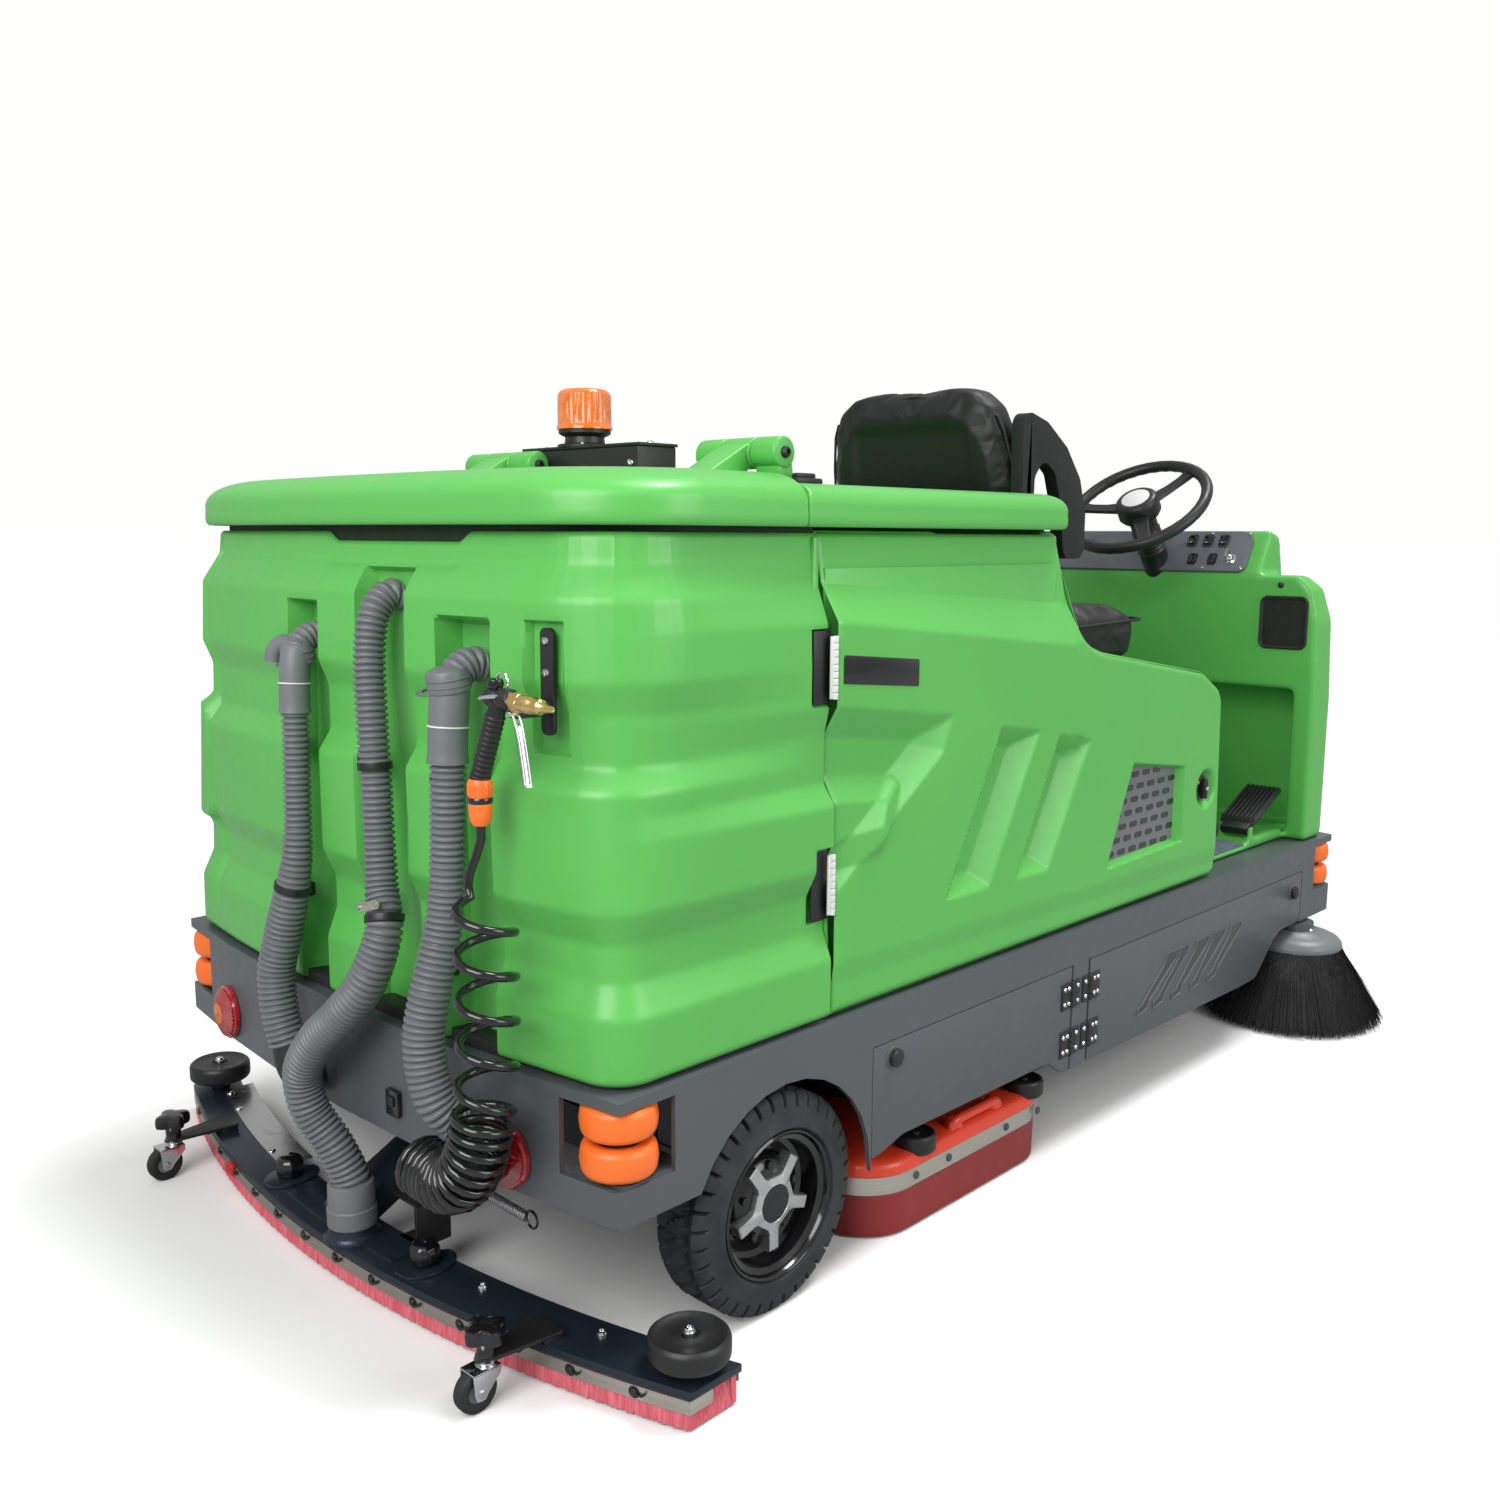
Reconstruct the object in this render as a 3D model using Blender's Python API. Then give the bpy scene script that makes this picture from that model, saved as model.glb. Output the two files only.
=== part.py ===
"""Ride-on sweeper-scrubber. +X is forward, +Y the machine's left, +Z up, and the floor is at Z = 0.

Lengths along X are measured from the rear axle. Everything hangs under one empty, which moves
the middle of the machine's box to X = 0.
"""
import math

import bmesh
import bpy
from mathutils import Matrix, Vector

GAP = 0.0004  # between faces that touch
RUN = 0.0005  # radial running clearance
SEAM = 0.0015  # round a door

# Chassis
HALF_WIDTH = 0.600
REAR_X = -0.360
FRONT_X = 2.000
REAR_BOW = 0.048
FRONT_BOW = 0.070
DECK_Z = 0.416
PLATE = 0.010
SKIN = 0.008
RAIL_Z = 0.352
POST_Z = 0.156
SKIRT_REAR_Z = 0.247
SKIRT_FRONT_Z = 0.232
MID_DOOR = (0.192, 0.760)
FRONT_DOOR = (0.822, 1.768)

# Wheels and rollers
WHEEL_RADIUS = 0.165
WHEEL_WIDTH = 0.098
AXLE_RADIUS = 0.025
ARCH_CLEARANCE = 0.023
FRONT_WHEEL_X = 1.620
FRONT_WHEEL_RADIUS = 0.130
FRONT_WHEEL_WIDTH = 0.085
ROLLER_RADIUS = 0.052
ROLLER_PROUD = 0.006
ROLLER_LOW = 0.300
ROLLER_HIGH = 0.400
ARCH = WHEEL_RADIUS + ARCH_CLEARANCE
SPINDLE = 0.008
AXLE_END = HALF_WIDTH - 0.024
HUB_INNER = HALF_WIDTH - 0.140
FORK_STEM = 0.030
EAR_HALF = 0.036
EAR_PIN = 0.008

# Body
TANK_INSET = 0.008
TANK_TOP = 1.1205
TANK_FRONT = 0.1015
TANK_CORNER = 0.065
TANK_CORNER_TOP = 0.150
CHANNEL_DEPTH = 0.055
CHANNELS = ((0.036, 0.123, 1.016), (-0.190, -0.070, 1.070), (-0.370, -0.265, 1.005))
LID_SPLIT = 0.0545
LID_INSET = 0.020
LID_CORNER = 0.160
LID_TOP = 1.203
FRONT_LID_TOP = 1.188
BODY_FRONT = 0.750
SEAT_DECK_Z = 0.800
SEAT_DECK_FRONT = 1.325
DOOR_THICK = 0.040
DOOR_FRONT = 1.337
HINGE_X = 0.085
HINGE_Z = 1.232
KNUCKLE = 0.0225
BEACON = (0.152, 0.015)
BEACON_RADIUS = 0.047
BEACON_LOW = 1.290
BEACON_TOP = 1.358
COWL_X = 1.800
COWL_TOP = 1.030
DASH_TOP = 1.135
DOOR_BARREL = 0.005
TANK_BANDS = (
    (0.0004, 0.008), (0.150, 0.008), (0.162, 0.022), (0.212, 0.022), (0.226, 0.008), (0.340, 0.008),
    (0.385, 0.027), (0.450, 0.027), (0.475, 0.021), (0.590, 0.025), (0.655, 0.049), (0.7045, 0.053),
)

# Driver's place
SEAT_Y = -0.170
SEAT_HALF = 0.235
WHEEL_CENTRE = (1.710, -0.170, 1.190)
STEER_TILT = math.radians(38)
STEER_RADIUS = 0.176
SLOPE = Vector((0.06, 0, DASH_TOP - COWL_TOP)).normalized()
OUT = Vector((-SLOPE.z, 0, SLOPE.x))
DASH_FACE = 0.010
STEER_AXIS = Vector((-math.sin(STEER_TILT), 0, math.cos(STEER_TILT)))
COLUMN_TOP = -0.030
ROCKERS = ((-0.255, 0.085), (-0.295, 0.085), (-0.335, 0.085))
KEY = (-0.365, 0.035)

# Cleaning gear
BROOM_X = 1.240
BROOM_RADIUS = 0.138
BROOM_HALF = 0.400
HOPPER = (0.845, 1.075)
SCRUB = (0.220, 0.760)
SCRUB_HALF = 0.577
SCRUB_TOP = 0.130
DISC_RADIUS = 0.250
SIDE_BRUSH_X = 1.800
SIDE_BRUSH_Y = 0.580
SIDE_BRUSH_RADIUS = 0.210
ARM_PIVOT = (1.880, 0.330)
SQUEEGEE_REAR = -0.405
SQUEEGEE_FRONT = -0.315
SQUEEGEE_HALF = 0.700
SQUEEGEE_BEND = 0.250
SQUEEGEE_TOP = 0.058
SQUEEGEE_PIVOT = (-0.095, 0.200)
END_WHEEL = (-0.247, 0.658)
END_WHEEL_RADIUS = 0.055
CASTER = (-0.424, 0.464)
CASTER_TRAIL = 0.018
CASTER_RADIUS = 0.029
HOSE_RADIUS = 0.029
GUIDE_PIN = 0.012
GUIDE_X = (SCRUB[0] + 0.08, SCRUB[1] - 0.08)

# Hoses
COIL_END = (-0.412, -0.310, 0.274)
PORT = (-0.372, -0.046, 0.118)
DRAIN_ROUTE = (
    (-0.3055, 0.080, 0.964), (-0.330, 0.080, 0.964), (-0.352, 0.078, 0.950), (-0.362, 0.074, 0.915),
    (-0.366, 0.072, 0.85), (-0.370, 0.068, 0.75), (-0.378, 0.064, 0.63), (-0.392, 0.090, 0.51),
    (-0.400, 0.102, 0.45), (-0.402, 0.094, 0.39), (-0.398, 0.078, 0.335),
)
SUCTION_ROUTE = (
    (-0.3055, -0.122, 1.030), (-0.322, -0.122, 1.030), (-0.344, -0.124, 1.005), (-0.356, -0.128, 0.95),
    (-0.362, -0.138, 0.87), (-0.364, -0.146, 0.78), (-0.366, -0.152, 0.70), (-0.372, -0.164, 0.63),
    (-0.384, -0.186, 0.57), (-0.402, -0.166, 0.495), (-0.412, -0.110, 0.435), (-0.418, -0.050, 0.385),
    (-0.420, -0.004, 0.325), (-0.412, -0.004, 0.265), (-0.388, -0.030, 0.205), (-0.372, -0.046, 0.152),
    (-0.372, -0.046, 0.1184),
)
DIRTY_ROUTE = (
    (-0.3055, -0.317, 0.945), (-0.325, -0.317, 0.945), (-0.348, -0.317, 0.925), (-0.356, -0.317, 0.87),
    (-0.360, -0.317, 0.78), (-0.364, -0.317, 0.68), (-0.372, -0.316, 0.60), (-0.392, -0.314, 0.52),
    (-0.404, -0.312, 0.46), (-0.406, -0.318, 0.41), (-0.400, -0.330, 0.368), (-0.384, -0.340, 0.345),
    (-0.372, -0.343, 0.340),
)
LEAD_ROUTE = (
    (-0.378, -0.4161, 0.7520), (-0.378, -0.4161, 0.735), (-0.383, -0.410, 0.710), (-0.389, -0.405, 0.690),
    (-0.391, -0.404, 0.675), (-0.391, -0.404, 0.6604),
)
COIL_ROUTE = (
    (-0.395, -0.445, 0.660), (-0.395, -0.445, 0.600), (-0.395, -0.445, 0.540), (-0.396, -0.445, 0.480),
    (-0.400, -0.445, 0.425), (-0.406, -0.444, 0.380), (-0.412, -0.438, 0.335), (-0.416, -0.415, 0.295),
    (-0.416, -0.380, 0.276), (-0.412, -0.345, 0.274), (-0.412, -0.310, 0.274),
)
LEAD_RADIUS = 0.006
COIL_RADIUS = 0.044

MACHINE_FRONT = SIDE_BRUSH_X + SIDE_BRUSH_RADIUS
MACHINE_REAR = CASTER[0] - CASTER_TRAIL - CASTER_RADIUS
ORIGIN_X = (MACHINE_FRONT + MACHINE_REAR) / 2

PAINTS = {
    "green": ((0.13, 0.58, 0.11), 0.42, 0.0),
    "slate": ((0.09, 0.105, 0.12), 0.45, 0.3),
    "black": ((0.015, 0.015, 0.016), 0.6, 0.0),
    "rubber": ((0.02, 0.02, 0.021), 0.75, 0.0),
    "vinyl": ((0.018, 0.018, 0.02), 0.55, 0.0),
    "grey": ((0.16, 0.165, 0.17), 0.55, 0.0),
    "orange": ((1.0, 0.2, 0.03), 0.4, 0.0),
    "amber": ((1.0, 0.35, 0.02), 0.15, 0.0),
    "red": ((0.75, 0.05, 0.03), 0.4, 0.0),
    "pink": ((0.75, 0.12, 0.15), 0.7, 0.0),
    "steel": ((0.6, 0.6, 0.6), 0.3, 1.0),
    "plate": ((0.03, 0.045, 0.06), 0.4, 0.6),
}

for old in list(bpy.data.objects):
    bpy.data.objects.remove(old, do_unlink=True)
machine = bpy.data.objects.new("machine", None)
machine.location = (-ORIGIN_X, 0, 0)
bpy.context.collection.objects.link(machine)


# ---- shapes -------------------------------------------------------------------------------

def solid(verts, faces):
    mesh = bpy.data.meshes.new("shape")
    mesh.from_pydata([tuple(v) for v in verts], [], faces)
    work = bmesh.new()
    work.from_mesh(mesh)
    bmesh.ops.recalc_face_normals(work, faces=work.faces)
    work.to_mesh(mesh)
    work.free()
    shape = bpy.data.objects.new("shape", mesh)
    bpy.context.collection.objects.link(shape)
    return shape


def loft(rings):
    count = len(rings[0])
    faces = [tuple(range(count)), tuple(range(count * (len(rings) - 1), count * len(rings)))]
    for r in range(len(rings) - 1):
        for i in range(count):
            j = (i + 1) % count
            faces.append((r * count + i, r * count + j, (r + 1) * count + j, (r + 1) * count + i))
    return solid([point for ring in rings for point in ring], faces)


def prism(outline, axis, low, high):
    place = {"x": lambda a, b, h: (h, a, b), "y": lambda a, b, h: (a, h, b), "z": lambda a, b, h: (a, b, h)}
    return loft([[place[axis](a, b, h) for a, b in outline] for h in (low, high)])


def box(low, high):
    (x0, y0, z0), (x1, y1, z1) = low, high
    return prism([(x0, y0), (x1, y0), (x1, y1), (x0, y1)], "z", z0, z1)


def lathe(profile, centre, axis=(0, 0, 1), segments=24):
    """Turns (radius, height) points round an axis: a closed ring, or a chain that ends on the axis."""
    turn = Vector((0, 0, 1)).rotation_difference(Vector(axis).normalized()).to_matrix()
    verts, rows = [], []
    for radius, height in profile:
        if radius < 1e-9:
            rows.append([len(verts)] * segments)
            verts.append(Vector((0, 0, height)))
            continue
        rows.append(list(range(len(verts), len(verts) + segments)))
        for k in range(segments):
            angle = 2 * math.pi * k / segments
            verts.append(Vector((radius * math.cos(angle), radius * math.sin(angle), height)))
    pairs = list(zip(rows, rows[1:]))
    if profile[0][0] > 1e-9:
        pairs.append((rows[-1], rows[0]))
    faces = []
    for a, b in pairs:
        for k in range(segments):
            m = (k + 1) % segments
            face = list(dict.fromkeys((a[k], a[m], b[m], b[k])))
            if len(face) > 2:
                faces.append(face)
    return solid([Vector(centre) + turn @ v for v in verts], faces)


def rod(centre, axis, radius, low, high, segments=16):
    return lathe([(0, low), (radius, low), (radius, high), (0, high)], centre, axis, segments)


def boolean(base, tools, operation):
    for tool in tools:
        step = base.modifiers.new(operation, "BOOLEAN")
        step.operation = operation
        step.solver = "EXACT"
        step.object = tool
        graph = bpy.context.evaluated_depsgraph_get()
        result = bpy.data.meshes.new_from_object(base.evaluated_get(graph))
        base.modifiers.remove(step)
        base.data = result
        bpy.data.objects.remove(tool)
    return base


def fuse(base, *tools):
    return boolean(base, tools, "UNION")


def carve(base, *tools):
    return boolean(base, tools, "DIFFERENCE")


def paint(name):
    found = bpy.data.materials.get(name)
    if found:
        return found
    colour, roughness, metallic = PAINTS[name]
    made = bpy.data.materials.new(name)
    made.use_nodes = True
    shader = made.node_tree.nodes["Principled BSDF"]
    shader.inputs["Base Color"].default_value = (*colour, 1)
    shader.inputs["Roughness"].default_value = roughness
    shader.inputs["Metallic"].default_value = metallic
    return made


def keep(shape, name, material, pivot=(0, 0, 0)):
    """Names a finished piece, paints it and puts its origin on its joint."""
    shape.name = name
    shape.data.name = name
    shape.data.materials.clear()
    shape.data.materials.append(paint(material))
    shape.data.transform(Matrix.Translation(-Vector(pivot)))
    shape.data.shade_smooth()
    shape.data.set_sharp_from_angle(angle=math.radians(35))
    shape.location = pivot
    shape.parent = machine
    return shape


def rounded(outline, radius, corners, steps=3):
    """The outline with the numbered corners rounded."""
    result = []
    for i, point in enumerate(outline):
        if i not in corners:
            result.append(point)
            continue
        here = Vector(point)
        before = (Vector(outline[i - 1]) - here).normalized()
        after = (Vector(outline[(i + 1) % len(outline)]) - here).normalized()
        half = before.angle(after) / 2
        centre = here + (before + after).normalized() * radius / math.sin(half)
        first = here + before * radius / math.tan(half) - centre
        last = here + after * radius / math.tan(half) - centre
        for k in range(steps + 1):
            spoke = (first * (1 - k / steps) + last * (k / steps)).normalized() * radius
            result.append(tuple(centre + spoke))
    return result


def rear_x(y, inset=0.0):
    return REAR_X + inset + REAR_BOW * (y / HALF_WIDTH) ** 2


def front_x(y, inset=0.0):
    return FRONT_X - inset - FRONT_BOW * (y / HALF_WIDTH) ** 2


def across(half, steps=6):
    return [half * (2 * k / steps - 1) for k in range(steps + 1)]


def footprint(inset):
    half = HALF_WIDTH - inset
    front = [(front_x(y, inset), y) for y in across(half)]
    rear = [(rear_x(y, inset), y) for y in reversed(across(half))]
    return front + rear


def rear_body(inset, front, corner=TANK_CORNER):
    """Outline of the tank or its lid: straight in front, bowed behind, with round rear corners."""
    half = HALF_WIDTH - inset
    rear = [(rear_x(y, inset), y) for y in reversed(across(half))]
    outline = [(front, -half), (front, half)] + rear
    return rounded(outline, corner, (2, len(outline) - 1))


def at_height(outline, z):
    return [(x, y, z) for x, y in outline]


def arc(centre, radius, start, end, steps):
    for k in range(steps + 1):
        angle = math.radians(start + (end - start) * k / steps)
        yield (centre[0] + radius * math.cos(angle), centre[1] + radius * math.sin(angle))


# ---- chassis ------------------------------------------------------------------------------

ROLLER_Y = HALF_WIDTH + ROLLER_PROUD - ROLLER_RADIUS
ROLLER_REAR_X = rear_x(ROLLER_Y) - ROLLER_PROUD + ROLLER_RADIUS
ROLLER_FRONT_X = front_x(ROLLER_Y) + ROLLER_PROUD - ROLLER_RADIUS


def skirt_cut():
    """What is removed below the skirts: wheel arch, door openings and the low ends."""
    drop = WHEEL_RADIUS - SKIRT_REAR_Z
    start = 180 - math.degrees(math.asin(-drop / ARCH))
    arch = list(arc((0, WHEEL_RADIUS), ARCH, start, 2, 12))
    doors = []
    for low, high in (MID_DOOR, FRONT_DOOR):
        doors += [(low - SEAM, POST_Z), (low - SEAM, RAIL_Z + SEAM)]
        doors += [(high + SEAM, RAIL_Z + SEAM), (high + SEAM, POST_Z)]
    doors[-1] = (FRONT_DOOR[1] + SEAM, SKIRT_FRONT_Z)
    rest = [(FRONT_X + 1, SKIRT_FRONT_Z), (FRONT_X + 1, 0), (REAR_X - 1, 0), (REAR_X - 1, SKIRT_REAR_Z)]
    return arch + doors + rest


def chassis():
    frame = prism(footprint(0), "z", POST_Z, DECK_Z - PLATE / 2)
    wide = HALF_WIDTH + 0.05
    carve(frame, prism(footprint(SKIN), "z", 0, DECK_Z), prism(skirt_cut(), "y", -wide, wide))
    fuse(frame, prism(footprint(0), "z", DECK_Z - PLATE, DECK_Z))
    top = DECK_Z - PLATE / 2
    beam = HUB_INNER - GAP
    fuse(frame, box((-0.035, -beam, WHEEL_RADIUS - 0.035), (0.035, beam, WHEEL_RADIUS + 0.035)))
    fuse(frame, rod((0, 0, WHEEL_RADIUS), (0, 1, 0), AXLE_RADIUS, -AXLE_END, AXLE_END))
    for side in (-1, 1):
        fuse(frame, box((-0.03, side * 0.38 - 0.02, WHEEL_RADIUS), (0.03, side * 0.38 + 0.02, top)))
        for x, inward in ((ROLLER_REAR_X, 1), (ROLLER_FRONT_X, -1)):
            y = side * ROLLER_Y
            reach = ROLLER_RADIUS + 0.005
            edge = sorted((x + inward * reach, x - inward * 0.3))
            ys = sorted((y - side * reach, y + side * 0.3))
            carve(frame, box((edge[0], ys[0], ROLLER_LOW - 0.004), (edge[1], ys[1], ROLLER_HIGH + GAP)))
            shelf_x = sorted((x + inward * 0.08, x - inward * 0.03))
            shelf_y = sorted((y - side * 0.06, side * (HALF_WIDTH - SKIN / 2)))
            low = ROLLER_LOW - GAP
            fuse(frame, box((shelf_x[0], shelf_y[0], low - 0.008), (shelf_x[1], shelf_y[1], low)))
            fuse(frame, rod((x, y, 0), (0, 0, 1), SPINDLE, low - 0.004, top, 12))
        ear_y = side * (EAR_HALF + GAP + 0.005)
        x, z = SQUEEGEE_PIVOT
        fuse(frame, box((x - 0.02, ear_y - 0.005, z - 0.02), (x + 0.02, ear_y + 0.005, top)))
        hang_y = side * (BROOM_HALF + 0.012)
        fuse(frame, box((BROOM_X - 0.03, hang_y - 0.006, 0.11), (BROOM_X + 0.03, hang_y + 0.006, top)))
        stub = sorted((side * (BROOM_HALF - 0.03), hang_y))
        fuse(frame, rod((BROOM_X, 0, BROOM_RADIUS + 0.002), (0, 1, 0), GUIDE_PIN, stub[0], stub[1], 12))
        pivot = (ARM_PIVOT[0], side * ARM_PIVOT[1], 0)
        fuse(frame, rod(pivot, (0, 0, 1), GUIDE_PIN, 0.204, top, 12))
        below = rod(pivot, (0, 0, 1), 0.022, 0.198, 0.2075, 12)
        above = rod(pivot, (0, 0, 1), 0.03, 0.2285, top, 12)
        fuse(frame, below, above)
        for x in (MID_DOOR[1], FRONT_DOOR[0]):
            barrel = rod((x, side * HALF_WIDTH, 0), (0, 0, 1), DOOR_BARREL + GAP, 0.1, RAIL_Z + 0.002, 12)
            carve(frame, barrel)
    x, z = SQUEEGEE_PIVOT
    fuse(frame, rod((x, 0, z), (0, 1, 0), EAR_PIN, -EAR_HALF - 0.006, EAR_HALF + 0.006, 12))
    for x in GUIDE_X:
        fuse(frame, rod((x, 0, 0), (0, 0, 1), GUIDE_PIN, SCRUB_TOP + 0.008, top, 12))
    boss = rod((FRONT_WHEEL_X, 0, 0), (0, 0, 1), 0.055, 0.320, top)
    fuse(frame, carve(boss, rod((FRONT_WHEEL_X, 0, 0), (0, 0, 1), FORK_STEM + 0.0009, 0.30, 0.395)))
    x, y, z = COIL_END
    fuse(frame, box((x - 0.012, y + GAP, z - 0.02), (REAR_X + 0.03, y + 0.014, z + 0.02)))
    return keep(frame, "chassis_frame", "slate")


def rear_wheel(side, name):
    outer = HALF_WIDTH - 0.0095
    inner = outer - WHEEL_WIDTH
    r = WHEEL_RADIUS
    bore = AXLE_RADIUS + RUN
    profile = [
        (bore, HUB_INNER), (0.050, HUB_INNER), (0.050, inner + 0.02), (r - 0.056, inner + 0.02),
        (r - 0.050, inner), (r - 0.016, inner), (r, inner + 0.013), (r, outer - 0.013), (r - 0.014, outer),
        (r - 0.052, outer - 0.003), (r - 0.060, outer - 0.030), (0.050, outer - 0.030),
        (0.045, outer - 0.012), (0, outer - 0.012), (0, AXLE_END + GAP), (bore, AXLE_END + GAP),
    ]
    wheel = lathe_closed_bore(profile, (0, 0, r), (0, side, 0), 32)
    return keep(wheel, name, "rubber", (0, 0, r))


def lathe_closed_bore(profile, centre, axis, segments):
    """A turned piece with a blind bore: its chain leaves the axis, runs round and comes back to it."""
    start = next(i for i, (radius, _) in enumerate(profile) if radius < 1e-9)
    chain = profile[start + 1:] + profile[:start + 1]
    return lathe(chain, centre, axis, segments)


def ring_piece(name, material, profile, centre, axis, segments):
    return keep(lathe(profile, centre, axis, segments), name, material, centre)


def corner_roller(name, x, y):
    low, high = ROLLER_LOW, ROLLER_HIGH
    middle = (low + high) / 2
    r = ROLLER_RADIUS
    profile = [
        (SPINDLE + RUN, low), (r - 0.008, low), (r, low + 0.010), (r, middle - 0.012),
        (r - 0.010, middle - 0.003), (r - 0.010, middle + 0.003), (r, middle + 0.012),
        (r, high - 0.010), (r - 0.008, high), (SPINDLE + RUN, high),
    ]
    shape = lathe([(radius, height) for radius, height in profile], (x, y, 0), (0, 0, 1), 20)
    return keep(shape, name, "orange", (x, y, 0))


def front_axle():
    x, r = FRONT_WHEEL_X, FRONT_WHEEL_RADIUS
    half = FRONT_WHEEL_WIDTH / 2
    leg = half + 0.006
    fork = box((x - 0.045, -leg - 0.012, 0.285), (x + 0.045, leg + 0.012, 0.3195))
    for side in (-1, 1):
        ys = sorted((side * leg, side * (leg + 0.012)))
        fuse(fork, box((x - 0.03, ys[0], r - 0.03), (x + 0.03, ys[1], 0.29)))
    fuse(fork, rod((x, 0, 0), (0, 0, 1), FORK_STEM, 0.30, 0.394))
    fuse(fork, rod((x, 0, r), (0, 1, 0), 0.012, -leg - 0.006, leg + 0.006, 12))
    keep(fork, "front_fork", "slate", (x, 0, 0))
    profile = [
        (0.012 + RUN, -half), (r - 0.012, -half), (r, -half + 0.012), (r, half - 0.012), (r - 0.012, half),
        (0.012 + RUN, half),
    ]
    ring_piece("front_wheel", "rubber", profile, (x, 0, r), (0, 1, 0), 28)


# ---- body ---------------------------------------------------------------------------------

def recovery_tank():
    high = TANK_TOP - DECK_Z
    scale = high / TANK_BANDS[-1][0]
    rings = []
    for height, inset in TANK_BANDS:
        lift = GAP if height < 0.001 else height * scale
        share = height / TANK_BANDS[-1][0]
        corner = TANK_CORNER + (TANK_CORNER_TOP - TANK_CORNER) * share
        rings.append(at_height(rear_body(inset, TANK_FRONT, corner), DECK_Z + lift))
    tank = loft(rings)
    half = HALF_WIDTH - 0.085
    rear = REAR_X + CHANNEL_DEPTH + 0.035
    front = TANK_FRONT - 0.02
    hollow = rounded([(front, -half), (front, half), (rear, half), (rear, -half)], 0.06, (2, 3))
    carve(tank, prism(hollow, "z", DECK_Z + 0.05, TANK_TOP + 0.1))
    for low, high_y, top in CHANNELS:
        carve(tank, box((REAR_X - 0.2, low, DECK_Z - 0.1), (REAR_X + CHANNEL_DEPTH, high_y, top)))
    y = -0.4685
    back = rear_x(y, 0.03)
    fuse(tank, box((back - 0.020, y - 0.0135, 0.866), (back + 0.006, y + 0.0135, 1.003)))
    fuse(tank, box((-0.3648, y - 0.0135, 0.890), (back - 0.002, y + 0.0135, 0.915)))
    for side in (-1, 1):
        barrel = (TANK_FRONT + SEAM, side * (HALF_WIDTH - TANK_INSET), 0)
        carve(tank, rod(barrel, (0, 0, 1), DOOR_BARREL + GAP, 0.3, TANK_TOP + 0.1, 12))
    return keep(tank, "recovery_tank", "green")


def hinge_rows():
    """Middle and half length of each of the lid's two hinges."""
    return ((0.147, 0.092), (-0.426, 0.080))


def tank_lid():
    low = TANK_TOP + GAP
    steps = ((low, 0.006), (low + 0.014, 0), (low + 0.045, 0), (LID_TOP - 0.013, 0.023), (LID_TOP, 0.073))
    front = LID_SPLIT - SEAM
    lid = loft([at_height(rear_body(LID_INSET + inset, front, LID_CORNER), z) for z, inset in steps])
    hollow = rear_body(LID_INSET + 0.05, front - 0.03, LID_CORNER - 0.03)
    carve(lid, prism(hollow, "z", low - 0.01, low + 0.045))
    for y, half in hinge_rows():
        third = half * 0.38
        knuckle = rod((HINGE_X, y, HINGE_Z), (0, 1, 0), KNUCKLE, -third, third)
        arm = box((-0.03, y - third, LID_TOP - 0.005), (HINGE_X, y + third, HINGE_Z - 0.002))
        fuse(lid, fuse(knuckle, arm))
        carve(lid, rod((HINGE_X, y, HINGE_Z), (0, 1, 0), 0.006 + RUN, -half, half, 12))
    return keep(lid, "tank_lid", "green", (HINGE_X, 0, HINGE_Z))


def front_lid():
    low = TANK_TOP + GAP
    rings = []
    for z, inset in ((low, 0.006), (low + 0.014, 0), (low + 0.045, 0), (FRONT_LID_TOP, 0.035)):
        half = HALF_WIDTH - LID_INSET - inset
        rear = LID_SPLIT + SEAM
        front = BODY_FRONT - inset
        outline = [(rear, -half), (front, -half), (front, half), (rear, half)]
        rings.append(at_height(rounded(outline, 0.04, (1, 2)), z))
    lid = loft(rings)
    half = HALF_WIDTH - LID_INSET - 0.06
    carve(lid, box((LID_SPLIT + 0.035, -half, low - 0.01), (BODY_FRONT - 0.04, half, low + 0.045)))
    for y, half in hinge_rows():
        inner = half * 0.38 + GAP
        fuse(lid, rod((HINGE_X, y, HINGE_Z), (0, 1, 0), 0.006, -half + 0.004, half - 0.004, 12))
        for side in (-1, 1):
            ends = sorted((side * inner, side * half))
            fuse(lid, rod((HINGE_X, y, HINGE_Z), (0, 1, 0), KNUCKLE, ends[0], ends[1]))
            low_y, high_y = y + ends[0], y + ends[1]
            fuse(lid, box((HINGE_X - 0.01, low_y, FRONT_LID_TOP - 0.01), (HINGE_X + 0.017, high_y, HINGE_Z)))
    return keep(lid, "front_lid", "green")


def beacon():
    x, y = BEACON
    bracket_top = 1.262
    base = box((x - 0.042, y - 0.185, FRONT_LID_TOP + GAP), (x + 0.043, y + 0.120, bracket_top))
    neck = rod((x, y, 0), (0, 0, 1), 0.034, bracket_top - 0.012, bracket_top + 0.006)
    collar = rod((x, y, 0), (0, 0, 1), BEACON_RADIUS - 0.004, bracket_top + 0.002, BEACON_LOW, 24)
    fuse(base, neck, collar)
    keep(base, "beacon_base", "black")
    low, r = BEACON_LOW + GAP, BEACON_RADIUS
    profile = [(0, low), (r, low), (r - 0.002, BEACON_TOP - 0.013), (r - 0.012, BEACON_TOP), (0, BEACON_TOP)]
    keep(lathe(profile, (x, y, 0), (0, 0, 1), 24), "beacon_lens", "amber")


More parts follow.
